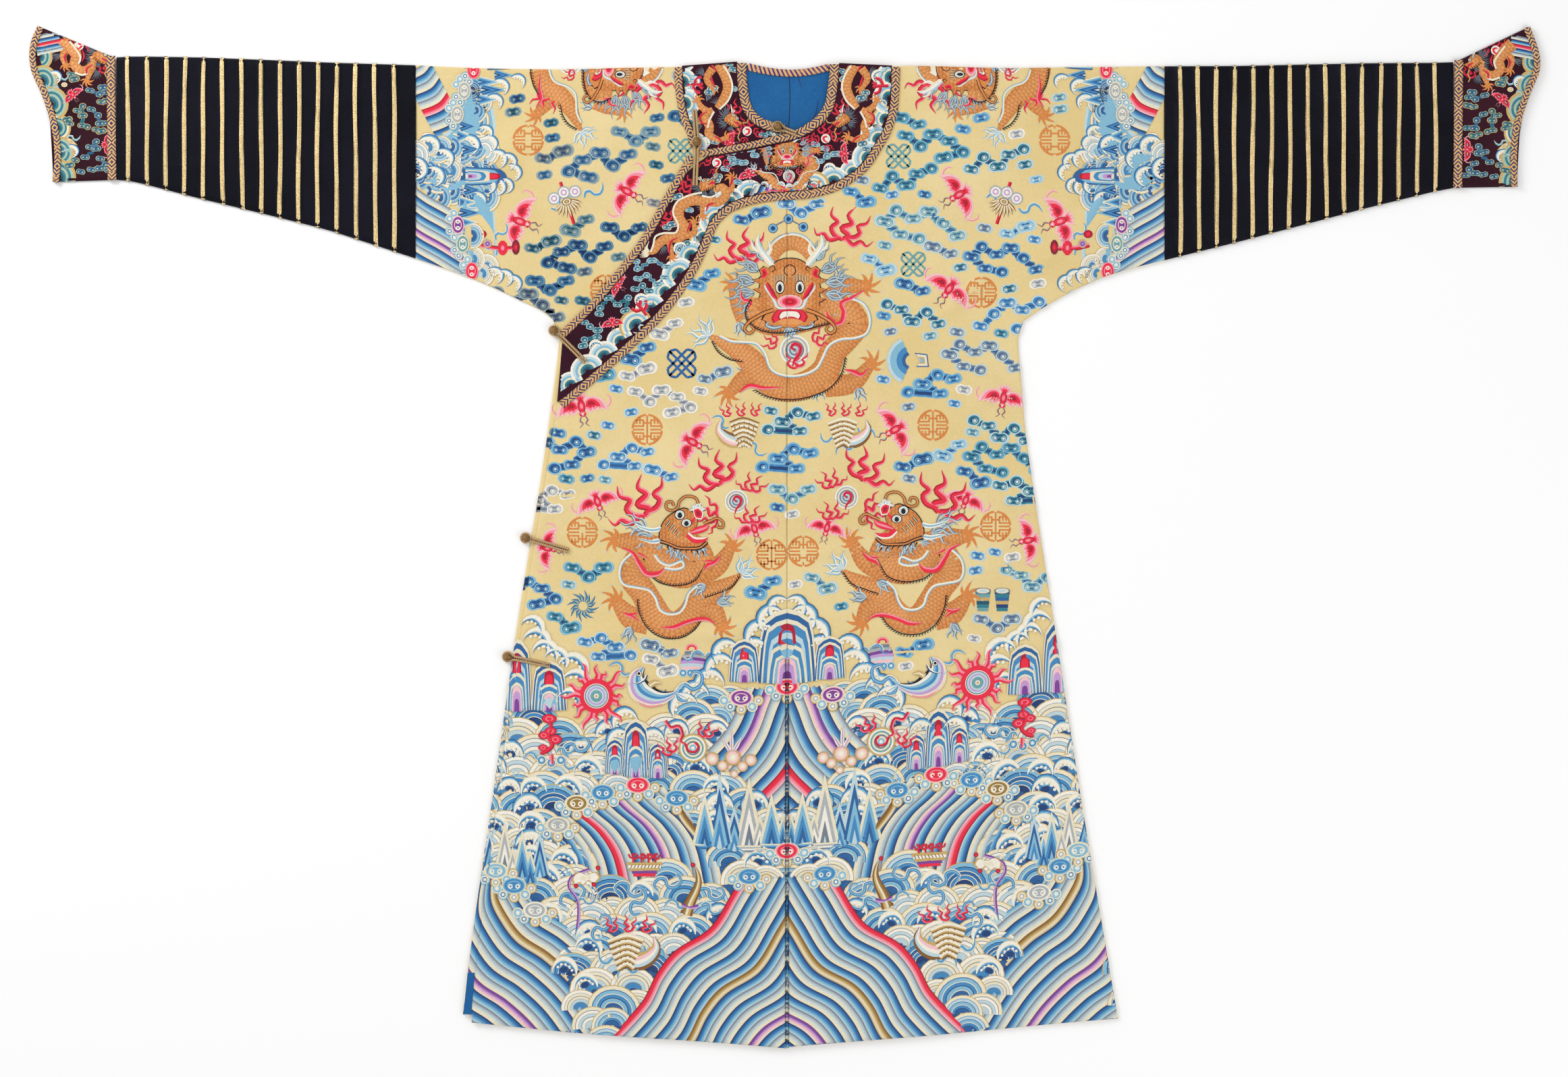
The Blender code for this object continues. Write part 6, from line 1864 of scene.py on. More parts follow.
# ---------------------------------------------------------------- embroidered fronts
# Each length of silk is embroidered on its frame before it is cut and seamed, so the motifs stop at
# the centre seam, and the collar band covers what reaches under it.
for label, left, right in (("hem", hem, mirrored(hem, HALF_SHEAR)), ("dragon", dragons, dragons),
                           ("cloud", clouds, clouds), ("ground", ground, ground)):
    for side, cut, half in (("left", -1, left), ("right", 1, right)):
        sew(f"{label}_embroidery_{side}", half, outer_grounds, hidden=collar_cover, cut=cut)
    if label in ("cloud", "ground"):
        sew(f"{label}_embroidery_shoulder", left, inner_grounds, hidden=collar_cover)
# The inner front shows as a narrow strip down the wearer's right side, with the same water and clouds.
sew("side_strip_embroidery", merged(clouds, hem), inner_grounds, hidden=fronts["outer_front_left"])

# ---------------------------------------------------------------- brocade bindings
# Every edge of the collar and the cuffs is bound with a woven ribbon of tan-gold brocade, its fret
# in navy. It is folded over the raw edge and slip-stitched down, so it stands a little proud.
def spine(node):
    """The middle line of a binding's solid, and its width along it, from its outline."""
    loop = rim(node)
    n = len(loop) // 2
    best = None
    for start in range(len(loop)):
        turned = np.roll(loop, -start, 0)
        ahead, back = turned[:n], turned[::-1][:n]
        gap = np.linalg.norm(ahead - back, axis=1).mean()
        if best is None or gap < best[0]:
            best = (gap, (ahead + back) / 2, np.linalg.norm(ahead - back, axis=1))
    return best[1], best[2]


BINDING_STEP = 0.004
# How much its width wavers where stitches pull it in, and how fast along it.
RIPPLE, RIPPLE_TURNS = 0.018, 310
# Across the binding, as a share of half its width, and up it, as a share of its height.
BINDING_SECTION = ((-1, 0), (-1.0, 0.55), (-0.88, 0.86), (-0.5, 1.0), (0, 0.96), (0.5, 1.0), (0.88, 0.86),
                   (1.0, 0.55), (1, 0))


def strip(name, path, wide, low, high, material):
    """A bound edge: a closed rounded strip along the path, with the thread's place along and across it."""
    line = along_curve(np.column_stack((path, wide)), BINDING_STEP)
    run = np.concatenate(([0], np.cumsum(np.linalg.norm(np.diff(line[:, :2], axis=0), axis=1))))
    side = across_of(line[:, :2])
    n, m = len(line), len(BINDING_SECTION)
    points, places = [], []
    for k, (share, up) in enumerate(BINDING_SECTION):
        half = line[:, 2:3] / 2 * share * (1 + RIPPLE * np.sin(run * RIPPLE_TURNS + k)[:, None])
        z = np.full(n, low + (high - low) * up)
        points.append(np.column_stack((line[:, :2] + side * half, z)))
        places.append(np.column_stack((run / MM, half[:, 0] / MM)))
    points, places = np.stack(points, 1).reshape(-1, 3), np.stack(places, 1).reshape(-1, 2)
    faces = []
    for i in range(n - 1):
        for j in range(m):
            a, b = i * m + j, i * m + (j + 1) % m
            faces.append((b, a, a + m, b + m))
    faces += [tuple(range(m - 1, -1, -1)), tuple(range((n - 1) * m, n * m))]
    piece = new_piece(name, points, faces, material)
    uv = piece.data.uv_layers.new(name="thread")
    uv.data.foreach_set("uv", places[[c for f in faces for c in f]].astype(np.float32).ravel())
    fix_normals(piece.data)
    return piece


def fix_normals(mesh):
    """Turns every face outwards."""
    shape = bmesh.new()
    shape.from_mesh(mesh)
    bmesh.ops.recalc_face_normals(shape, faces=shape.faces)
    shape.to_mesh(mesh)
    shape.free()


# Along the binding, in millimetres: half a diamond, the two diamonds of a repeat, and one band of gold
# and navy. The striped brocade has only bands, on a slant.
DIAMOND, REPEAT, FRET_BAND, SLANT_BAND, SLANT = 14.0, 56.0, 5.6, 6.6, 0.55
RIB_PITCH = 1.2


def brocade_material(name, diagonal):
    """Tan-gold brocade: nested diamonds or stripes in a dark silk, woven in, and slightly rubbed."""
    material, tree, shader = new_material(name, {"Roughness": 0.5, "Specular IOR Level": 0.25})
    place = add(tree, "ShaderNodeUVMap", {"uv_map": "thread"})
    parts = add(tree, "ShaderNodeSeparateXYZ", _0=place.outputs["UV"])
    if diagonal:
        lean = add(tree, "ShaderNodeMath", {"operation": "MULTIPLY_ADD", "1": SLANT}, _0=parts.outputs["Y"],
                   _2=parts.outputs["X"])
        bands = add(tree, "ShaderNodeMath", {"operation": "DIVIDE", "1": SLANT_BAND}, _0=lean.outputs[0])
    else:
        beat = add(tree, "ShaderNodeMath", {"operation": "PINGPONG", "1": DIAMOND}, _0=parts.outputs["X"])
        across = add(tree, "ShaderNodeMath", {"operation": "ABSOLUTE"}, _0=parts.outputs["Y"])
        cell = add(tree, "ShaderNodeMath", {"operation": "DIVIDE", "1": REPEAT}, _0=parts.outputs["X"])
        odd = add(tree, "ShaderNodeMath", {"operation": "FRACT"}, _0=cell.outputs[0])
        which = add(tree, "ShaderNodeMath", {"operation": "GREATER_THAN", "1": 0.5}, _0=odd.outputs[0])
        turn = add(tree, "ShaderNodeMath", {"operation": "MULTIPLY_ADD", "1": -2.0, "2": 1.0},
                   _0=which.outputs[0])
        bent = add(tree, "ShaderNodeMath", {"operation": "MULTIPLY"}, _0=across.outputs[0],
                   _1=turn.outputs[0])
        nest = add(tree, "ShaderNodeMath", {"operation": "ADD"}, _0=beat.outputs[0], _1=bent.outputs[0])
        bands = add(tree, "ShaderNodeMath", {"operation": "DIVIDE", "1": FRET_BAND}, _0=nest.outputs[0])
    lane = add(tree, "ShaderNodeMath", {"operation": "FRACT"}, _0=bands.outputs[0])
    line = add(tree, "ShaderNodeMapRange", {"From Min": 0.42, "From Max": 0.50, "To Min": 0.0, "To Max": 1.0},
               Value=lane.outputs[0])
    spread = add(tree, "ShaderNodeTexCoord").outputs["Object"]
    rub = add(tree, "ShaderNodeTexNoise", {"Scale": 130.0, "Detail": 4.0}, Vector=spread)
    worn = add(tree, "ShaderNodeMapRange", {"From Min": 0.52, "From Max": 0.70, "To Min": 0.0, "To Max": 0.4},
               Value=rub.outputs["Fac"])
    shown = add(tree, "ShaderNodeMath", {"operation": "MAXIMUM"}, _0=line.outputs["Result"],
                _1=worn.outputs["Result"])
    tone = add(tree, "ShaderNodeMix", {"data_type": "RGBA"}, _0=shown.outputs[0])
    tone.inputs[6].default_value = linear("#4A2E78" if diagonal else "#1C2C62")
    tone.inputs[7].default_value = linear("#E2AF6C")
    rib = add(tree, "ShaderNodeTexWave",
              {"bands_direction": "X", "Scale": math.pi / (10 * RIB_PITCH), "Distortion": 0.5},
              Vector=place.outputs["UV"])
    bump = add(tree, "ShaderNodeBump", {"Strength": 0.5, "Distance": 0.0003}, Height=rib.outputs["Fac"])
    tree.links.new(tone.outputs[2], shader.inputs["Base Color"])
    tree.links.new(bump.outputs["Normal"], shader.inputs["Normal"])
    return material


brocade = brocade_material("gold_fret_brocade", False)
striped_brocade = brocade_material("striped_brocade", True)
BINDINGS = ("neck_binding_right", "neck_binding_left", "neck_binding_back", "overlap_binding",
            "collar_edge_binding", "shoulder_edge_binding", "cuff_joint_trim_left", "cuff_joint_trim_right",
            "cuff_edge_binding_left", "cuff_edge_binding_right")
binding_paths = {}
for node in BINDINGS:
    low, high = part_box(node)
    path, wide = spine(node)
    trim = strip(f"{node}_brocade", path, wide, low.z, high.z,
                 striped_brocade if node == "neck_binding_back" else brocade)
    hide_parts(node)
    binding_paths[node] = (path, wide, high.z)

# ---------------------------------------------------------------- sleeves and cuffs
# The sleeves are dark blue-black satin, folded flat along the top and seamed below, with fifteen
# gold braids couched across each. Horse-hoof cuffs of aubergine satin end them.
UPPER_FACE = 0.003
SHARP_EDGE = math.radians(42)


def copy_of(node, name, material, cut_step, creases):
    """A copy of a solid's own form, cut finer, with creases pressed into its upper face."""
    shape = bmesh.new()
    shape.from_mesh(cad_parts[node].data)
    bmesh.ops.remove_doubles(shape, verts=shape.verts, dist=1e-6)
    low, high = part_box(node)
    for axis, normal in ((0, (1, 0, 0)), (1, (0, 1, 0))):
        places = np.arange(low[axis] + cut_step * 0.5, high[axis], cut_step)
        for place in places:
            spot = [0, 0, 0]
            spot[axis] = float(place)
            bmesh.ops.bisect_plane(shape, geom=shape.verts[:] + shape.edges[:] + shape.faces[:],
                                   plane_co=spot, plane_no=normal, dist=1e-6)
    for vertex in shape.verts:
        if vertex.co.z > UPPER_FACE:
            x, y = np.array([vertex.co.x]), np.array([vertex.co.y])
            vertex.co.z += float(folds(x, y, creases)[0])
    bmesh.ops.recalc_face_normals(shape, faces=shape.faces)
    mesh = bpy.data.meshes.new(name)
    shape.to_mesh(mesh)
    shape.free()
    mesh.materials.append(material)
    mesh.shade_smooth()
    mesh.set_sharp_from_angle(angle=SHARP_EDGE)
    piece = bpy.data.objects.new(name, mesh)
    bpy.context.scene.collection.objects.link(piece)
    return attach(piece, "root")


def declare_tube(outline):
    """Works out the flat cut of a tube that lies folded, both its faces, and keeps none of it."""
    size = np.ptp(outline, 0)
    min(2 * cut_area(outline), float(2 * size.prod()))


SLEEVE_CREASES = (
    (-0.600, 0.560, 78, 0.20, 0.016, 0.0012), (-0.680, 0.500, 96, 0.16, 0.014, 0.0011),
    (-0.720, 0.620, 84, 0.18, 0.016, 0.0010), (-0.800, 0.560, 98, 0.20, 0.014, 0.0010),
    (-0.880, 0.640, 80, 0.14, 0.014, 0.0009), (-0.640, 0.640, 12, 0.16, 0.018, 0.0009),
    (-0.860, 0.540, 6, 0.18, 0.016, 0.0009), (-0.930, 0.600, 94, 0.12, 0.012, 0.0009),
    (0.610, 0.500, 80, 0.18, 0.016, 0.0012), (0.700, 0.600, 95, 0.20, 0.014, 0.0011),
    (0.760, 0.520, 84, 0.16, 0.016, 0.0010), (0.840, 0.600, 100, 0.16, 0.014, 0.0010),
    (0.900, 0.560, 82, 0.14, 0.014, 0.0009), (0.660, 0.640, -10, 0.16, 0.018, 0.0009),
    (0.800, 0.640, 4, 0.18, 0.016, 0.0009), (0.940, 0.620, 92, 0.12, 0.012, 0.0009),
)
# Dark satin: close woven and nearly black, so that only its creases catch the light.
satin, satin_tree, satin_shader = new_material("dark_satin", {"Roughness": 0.4, "Specular IOR Level": 0.08})
weave(satin_tree, satin_shader, 0.0008, SATIN_DEPTH, ("#0B0B14", "#151420"), 7.0)
# Millimetres wide and high. The first braid's place and the step to the next, in metres.
BRAID_WIDE, BRAID_HIGH, BRAID_LIFT = 6.0, 0.6, 0.5
SLEEVE_BRAIDS = {"left": (-0.5669, -0.0276), "right": (0.5738, 0.0264)}
BRAID_COUNT = 15
# Gold braid: two wrapped threads couched side by side, with a beaded face of pale gold, lightest on each
# bead's raised middle, which is a painted highlight.
braid, braid_tree, braid_shader = new_material("gold_braid", {"Roughness": 0.4, "Metallic": 0.2, "IOR": 1.5})
braid_uv = add(braid_tree, "ShaderNodeUVMap", {"uv_map": "thread"})
braid_cells = add(braid_tree, "ShaderNodeTexVoronoi", {"Scale": 0.62, "Randomness": 0.6},
                  Vector=braid_uv.outputs["UV"])
braid_highlight_ramp = add(braid_tree, "ShaderNodeValToRGB", _0=braid_cells.outputs["Distance"])
# Pale at each bead's raised middle and deeper gold towards its edge: partly the braid's own pale gold, partly
# a painted highlight on every bead.
braid_highlight_ramp.color_ramp.elements[0].position = 0.25
braid_highlight_ramp.color_ramp.elements[1].position = 0.75
braid_highlight_ramp.color_ramp.elements[0].color = linear("#FFEDB8")
braid_highlight_ramp.color_ramp.elements[1].color = linear("#CFA862")
braid_bump = add(braid_tree, "ShaderNodeBump", {"Strength": 0.7, "Distance": -0.0006},
                 Height=braid_cells.outputs["Distance"])
braid_tree.links.new(braid_highlight_ramp.outputs["Color"], braid_shader.inputs["Base Color"])
braid_tree.links.new(braid_bump.outputs["Normal"], braid_shader.inputs["Normal"])
THREADS.append(braid)


ABOVE, DOWN = 1.0, Vector((0, 0, -1))


def top_of(piece):
    """A function that gives the height of a piece's upper face at each place."""
    tree = BVHTree.FromPolygons([v.co for v in piece.data.vertices],
                                [p.vertices for p in piece.data.polygons])
    middle = Vector(np.mean([v.co for v in piece.data.vertices], 0))

    def top(xs, ys):
        found = []
        for x, y in zip(xs.tolist(), ys.tolist()):
            for pull in (0.0, 0.012, 0.05):
                px, py = x + (middle.x - x) * pull, y + (middle.y - y) * pull
                hit = tree.ray_cast((px, py, ABOVE), DOWN)[0]
                if hit:
                    break
            found.append(hit.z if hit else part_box(piece.name)[1].z)
        return np.array(found)

    return top


braid_paths = {"left": [], "right": []}
sleeve_grounds = {}
for label in ("left", "right"):
    node = f"sleeve_{label}"
    sleeve = copy_of(node, f"{node}_satin", satin, 0.014, SLEEVE_CREASES)
    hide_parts(node)
    rims[node] = rim(node)
    declare_tube(rims[node])
    edge = face_of(node, 0.006)
    sleeve_grounds[label] = [(edge, top_of(sleeve))]
    braids = new_work()
    first, step = SLEEVE_BRAIDS[label]
    for k in range(BRAID_COUNT):
        x = (first + k * step) / MM
        near = edge[np.abs(edge[:, 0] - x) < 8]
        y0, y1 = near[:, 1].min() - 4, near[:, 1].max() + 4
        count = int((y1 - y0) / 18)
        path = [(x + 0.5 * math.sin(i * 0.7 + k * 1.7) + 1.0 * math.sin(i * 0.23 + k),
                 y0 + (y1 - y0) * i / count) for i in range(count + 1)]
        braid_paths[label].append(path[1:-1])
        wide = [BRAID_WIDE * (1 + 0.06 * math.sin(i * 0.8 + k * 2.1)) for i in range(count + 1)]
        ribbon(braids, np.column_stack((path, wide)), ("gold", "gold", "gold"), BRAID_LIFT, rise=BRAID_HIGH,
               step=6, soft=True, kind=BRAID)
    sew(f"sleeve_braids_{label}", braids, sleeve_grounds[label])

CUFF_CREASES = (
    (-1.010, 0.560, 20, 0.10, 0.012, 0.0007), (-1.030, 0.640, -30, 0.10, 0.012, 0.0007),
    (1.010, 0.560, -20, 0.10, 0.012, 0.0007), (1.030, 0.640, 30, 0.10, 0.012, 0.0007),
)
# Cuff satin: the collar's aubergine, a little browner and smoother from wear.
cuff_satin, cuff_tree, cuff_shader = new_material("cuff_satin",
                                                  {"Roughness": 0.42, "Specular IOR Level": 0.12})
weave(cuff_tree, cuff_shader, SATIN_THREAD, SATIN_DEPTH, ("#2B0B18", "#3A1222"), 9.0)
cuff_grounds = {}
for label in ("left", "right"):
    node = f"cuff_{label}"
    cuff = copy_of(node, f"{node}_satin", cuff_satin, 0.012, CUFF_CREASES)
    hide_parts(node)
    rims[node] = rim(node)
    declare_tube(rims[node])
    cuff_grounds[label] = [(face_of(node, 0.006), top_of(cuff))]

# ---------------------------------------------------------------- knot buttons and loops
# Five round buttons, each a tight knot of gilt cord, close the robe. A doubled cord of the same
# gold and navy goes round each and is sewn to the other side.
BALLS = ("neck", "breast", "underarm", "waist", "hip")
# name: the ball it holds, and its sewn end
LOOPS = {
    "loop_neck": ("neck", (0.0165, 0.5850)),
    "loop_breast": ("breast", (-0.1299, 0.5096)),
    "tail_breast": ("breast", (-0.1308, 0.6203)),
    "loop_underarm": ("underarm", (-0.2886, 0.2538)),
    "loop_waist": ("waist", (-0.3131, -0.0196)),
    "loop_hip": ("hip", (-0.3401, -0.1862)),
}
CORD_RADIUS, CORD_SPREAD = 0.0019, 0.0022
# A cord is three strands, which go round once in each pitch.
STRANDS, TWIST_PITCH = 3, 0.0085


def tube(points, radius, sides, lobes, pitch):
    """Points and faces of a cord along a path. With lobes, its section turns, as twisted strands do."""
    points = np.array(points)
    run = np.concatenate(([0], np.cumsum(np.linalg.norm(np.diff(points, axis=0), axis=1))))
    along = np.gradient(points, axis=0)
    along /= np.linalg.norm(along, axis=1)[:, None]
    level = np.cross(along, (0, 0, 1.0))
    level /= np.maximum(np.linalg.norm(level, axis=1), 1e-9)[:, None]
    upward = np.cross(level, along)
    angles = np.linspace(0, 2 * math.pi, sides, endpoint=False)
    turn = (2 * math.pi * run / pitch)[:, None] if pitch else np.zeros((len(points), 1))
    groove = 0.16 if lobes else 0.0
    swell = 1 - groove * (1 - np.abs(np.cos(lobes / 2 * (angles[None] + turn))))
    far = radius * np.broadcast_to(swell, (len(points), sides))
    ring = points[:, None] + far[..., None] * (level[:, None] * np.cos(angles)[None, :, None]
                                               + upward[:, None] * np.sin(angles)[None, :, None])
    places = np.stack((np.broadcast_to((run / MM)[:, None], far.shape),
                       np.broadcast_to(angles[None] / (2 * math.pi), far.shape)), -1)
    n = len(points)
    faces = [(i * sides + j, i * sides + (j + 1) % sides, (i + 1) * sides + (j + 1) % sides,
              (i + 1) * sides + j) for i in range(n - 1) for j in range(sides)]
    faces += [tuple(range(sides - 1, -1, -1)), tuple(range((n - 1) * sides, n * sides))]
    return ring.reshape(-1, 3), faces, places.reshape(-1, 2)


def corded(name, paths, radius, material, sides=10, lobes=STRANDS, pitch=TWIST_PITCH):
    """One piece of one or more cords."""
    points, faces, places = [], [], []
    for path in paths:
        spots, sheets, uv = tube(path, radius, sides, lobes, pitch)
        base = sum(len(p) for p in points)
        points.append(spots)
        places.append(uv)
        faces += [tuple(c + base for c in f) for f in sheets]
    piece = new_piece(name, np.concatenate(points), faces, material)
    uv = piece.data.uv_layers.new(name="thread")
    uv.data.foreach_set("uv",
                        np.concatenate(places)[[c for f in faces for c in f]].astype(np.float32).ravel())
    fix_normals(piece.data)
    return piece


# Gilt cord: navy and gold strands twisted together, dulled by age.
cord_silk, cord_tree, cord_shader = new_material("twisted_gilt_cord",
                                                 {"Roughness": 0.45, "Metallic": 0.3, "IOR": 1.5})
cord_uv = add(cord_tree, "ShaderNodeSeparateXYZ",
              _0=add(cord_tree, "ShaderNodeUVMap", {"uv_map": "thread"}).outputs["UV"])
cord_turn = add(cord_tree, "ShaderNodeMath", {"operation": "MULTIPLY_ADD", "1": STRANDS * MM / TWIST_PITCH},
                _0=cord_uv.outputs["X"],
                _2=add(cord_tree, "ShaderNodeMath", {"operation": "MULTIPLY", "1": 3.0},
                       _0=cord_uv.outputs["Y"]).outputs[0])
cord_lane = add(cord_tree, "ShaderNodeMath", {"operation": "PINGPONG", "1": 0.5}, _0=cord_turn.outputs[0])
cord_ramp = add(cord_tree, "ShaderNodeValToRGB", _0=cord_lane.outputs[0])
cord_ramp.color_ramp.elements[0].position = 0.10
cord_ramp.color_ramp.elements[1].position = 0.22
cord_ramp.color_ramp.elements[0].color = linear("#2F3563")
cord_ramp.color_ramp.elements[1].color = linear("#DDB673")
cord_tree.links.new(cord_ramp.outputs["Color"], cord_shader.inputs["Base Color"])

# Gilt ball: the same cord worked into a tight knot and rubbed brown, so it glints only in points.
ball_gilt, ball_tree, ball_shader = new_material("knotted_gilt_ball",
                                                 {"Roughness": 0.42, "Metallic": 0.45, "IOR": 1.5})
ball_place = add(ball_tree, "ShaderNodeTexCoord").outputs["Object"]
ball_noise = add(ball_tree, "ShaderNodeTexNoise", {"Scale": 500.0, "Detail": 3.0}, Vector=ball_place)
ball_ramp = add(ball_tree, "ShaderNodeValToRGB", _0=ball_noise.outputs["Fac"])
ball_ramp.color_ramp.elements[0].position = 0.35
ball_ramp.color_ramp.elements[1].position = 0.65
ball_ramp.color_ramp.elements[0].color = linear("#6B4E2C")
ball_ramp.color_ramp.elements[1].color = linear("#A98452")
ball_tree.links.new(ball_ramp.outputs["Color"], ball_shader.inputs["Base Color"])

KNOT_AXES = ((1, 0, 0), (0, 1, 0), (0, 0, 1), (0.58, 0.58, 0.58), (-0.58, 0.58, 0.58), (0.58, -0.58, 0.58))
# As shares of the ball's radius: the round core, and how thick a turn of its cord is.
CORE, TURN_THICK = 0.90, 0.115
balls = {}
for name in BALLS:
    low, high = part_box(f"ball_{name}")
    middle, radius = (np.array(low) + np.array(high)) / 2, (high.x - low.x) / 2
    balls[name] = (middle, radius)
    turns = []
    for axis in np.array(KNOT_AXES, float):
        axis /= np.linalg.norm(axis)
        first = np.cross(axis, (0.31, 0.82, 0.48))
        first /= np.linalg.norm(first)
        second = np.cross(axis, first)
        for shift in (-0.28, 0.0, 0.28):
            far = radius * math.sqrt(1 - shift**2) * CORE
            a = np.linspace(0, 2 * math.pi, 25)[:, None]
            turns.append(middle + axis * shift * radius * CORE + far * (
                             np.cos(a) * first + np.sin(a) * second))
    ball = corded(f"ball_{name}_knot", turns, radius * TURN_THICK, ball_gilt, 5, 0, 0)
    core = bpy.data.meshes.new("core")
    shape = bmesh.new()
    bmesh.ops.create_uvsphere(shape, u_segments=24, v_segments=12, radius=radius * CORE)
    bmesh.ops.translate(shape, verts=shape.verts, vec=middle)
    shape.to_mesh(core)
    shape.free()
    core.materials.append(ball_gilt)
    core.shade_smooth()
    heart = bpy.data.objects.new(f"ball_{name}_core", core)
    bpy.context.scene.collection.objects.link(heart)
    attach(heart, "root")
    for piece in (ball, heart):
        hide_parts(f"ball_{name}")


def resting(x, y):
    """The height of the robe's solids below a place, apart from the fastenings."""
    best = 0.0
    for solid in robe_trees:
        hit = solid.ray_cast((x, y, ABOVE), DOWN)[0]
        if hit:
            best = max(best, hit.z)
    return best


robe_trees = []
for node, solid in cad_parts.items():
    if not node.startswith(("ball", "loop", "tail")):
        mesh = solid.data
        mesh.calc_loop_triangles()
        robe_trees.append(BVHTree.FromPolygons([v.co for v in mesh.vertices],
                                               [t.vertices for t in mesh.loop_triangles]))
for name, (ball, end) in LOOPS.items():
    middle, radius = balls[ball]
    end = np.array(end)
    away = middle[:2] - end
    reach = np.linalg.norm(away)
    away /= reach
    side = np.array((-away[1], away[0]))
    round_it = radius * 0.72 + CORD_RADIUS
    path = [end - side * CORD_SPREAD + away * (reach - radius * 1.9) * t for t in np.linspace(0, 1, 9)]
    if name.startswith("tail"):
        stem = middle[:2] - away * radius * CORE
        path += [stem - side * CORD_SPREAD, stem + side * CORD_SPREAD]
    else:
        for a in np.radians(np.linspace(-140, 140, 13)):
            path.append(middle[:2] + round_it * (away * math.cos(a) + side * math.sin(a)))
    path += [end + side * CORD_SPREAD + away * (reach - radius * 1.9) * t for t in np.linspace(1, 0, 9)]
    flat = along_curve(np.array(path), 0.0012, corner=math.pi)
    under = np.array([resting(x, y) for x, y in flat])
    window = 7
    level = np.array([under[max(0, k - window):k + window + 1].max() for k in range(len(under))])
    level = np.convolve(np.pad(level, 5, "edge"), np.ones(11) / 11, "valid")
    loop = corded(f"{name}_cord", [np.column_stack((flat, level + CORD_RADIUS * 1.05))], CORD_RADIUS,
                  cord_silk)
    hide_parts(name)

# ---------------------------------------------------------------- collar and cuff embroidery
# The dark satin carries the same things at half the size: gold dragons, teal and white clouds, red
# bats, flames and coral, and a row of wave crests along the outer edge.
ON_SATIN = 0.2
SMALL_BAT, SMALL_CLOUD = 0.42, 0.5
DARK_BAT = ("pink", "red", "crimson")
DARK_SHADES = (("pale", "sea", "lagoon"), ("pale", "teal", "deep"), ("cream", "sea", "deep"),
               ("sage", "sea", "lagoon"))
CREST = ("white", "pale", "sky", "cream", "sea", "lagoon")
FIRE = ("crimson", "red", "crimson")


def crest_row(work, path, size, flip, lift, shades=CREST):
    """Wave crests in a row along a line, leaning one way, with foam on some."""
    length = np.linalg.norm(np.diff(np.array(path), axis=0), axis=1).sum()
    line = even(path, int(length / size / 1.5) + 1)
    for k, (place, out) in enumerate(zip(line, across_of(line))):
        turn = math.degrees(math.atan2(out[1], out[0])) - 90 + (180 if flip < 0 else 0)
        tints = ("tan", "cream") + shades[2:] if k % 5 == 3 else shades
        dome(work, *place, size * (0.95 + 0.12 * (k % 3)), turn + 12 * flip, tints, lift + 0.03 * (k % 3))
        if k % 3 == 1:
            curl(work, *(place + flip * out * size * 0.95), size * 0.4, turn, flip, lift + 0.2, False)


def lock(work, x, y, near, near_turn, far, far_turn, widths, tints, lift, spot=None, **way):
    """A lock of hair, a tuft or a claw: it bends as it leaves its place, and tapers."""
    path = ((x, y), (x + near * math.cos(near_turn), y + near * math.sin(near_turn)),
            (x + far * math.cos(far_turn), y + far * math.sin(far_turn)))
    ribbon(work, np.column_stack((path, widths)), tints, lift, spot=spot, **{"rise": 0.05, "step": 5, **way})


def little_paw(work, x, y, heading, lift, spot):
    """Five short claws."""
    for k in range(5):
        a = math.radians(heading + (k - 2) * 46)
        lock(work, x, y, 6, a, 10, a + 0.35, (3.4, 2.6, 0.7), ("gold",), lift, spot, rise=0.1, step=4,
             kind=DULL)
    disc(work, x, y, 7, ("gold",), lift + 0.03, spot=spot, rise=0.12, sides=9, kind=DULL)


def little_head(work, x, y, turn, flip, lift):
    """A bearded head in profile: gold skull, ringed eyes, red jaws, dark locks and long whiskers."""
    spot = (x, y, turn, 1, flip)
    for dx, dy, heading, spread, count, reach in ((-8, 2, 165, 120, 9, 17), (-6, -6, 235, 80, 8, 15),
                                                  (3, -8, 275, 60, 6, 9)):
        for k in range(count):
            a = math.radians(heading + spread * (k / (count - 1) - 0.5))
            far = reach * (0.8 + 0.2 * (k % 3) / 2)
            lock(work, dx, dy, 0.5 * far, a + 0.25, far, a, (1.6, 2.2, 0.4), ("slate", "black"),
                 lift + 0.05 + 0.01 * (k % 3), spot)
    skull = ((-12, -2), (-9, 6), (-3, 10), (5, 8), (9, 4), (15, 5), (16, 1), (10, -1), (14, -4), (10, -8),
             (-3, -9), (-10, -8))
    # Gold at the rim and amber in the middle: painted shade round the domed skull.
    blob(work, skull, ("black", "gold", "amber"), lift + 0.12, (1, 0.92, 0.5), spot, 0.3, 3, kind=COUCHED)
    ribbon(work, ((3, -1.5, 1), (9, -0.5, 3.6), (14, -1.5, 2)), ("crimson", "red"), lift + 0.55, spot=spot,
           rise=0.08, step=4)
    for k in range(6):
        ribbon(work, ((-6 + 3.4 * k, -9.5), (-5 + 3.4 * k, -5.5)), ("black",), lift + 0.5, 1.0, spot, 0.05, 9)
    for dx, dy in ((-2, 6.5), (5, 5.5)):
        disc(work, dx, dy, 5.6, ("black", "white", "black"), lift + 0.52, 5.0, (1, 0.72, 0.36), spot, 0.08, 9)
    for bend in (0, 5):
        ribbon(work, ((-5, 8, 2.0), (-9 + bend, 13, 1.8), (-14 + bend, 18 - bend, 0.6)), ("white",),
               lift + 0.5, spot=spot, rise=0.06, step=4)
    for path in (((15, 4), (20, 8), (19, 14), (25, 18)), ((13, -6), (19, -10), (20, -17), (25, -20))):
        ribbon(work, path, ("tan",), lift + 0.4, 1.5, spot, 0.06, 4, kind=DULL)


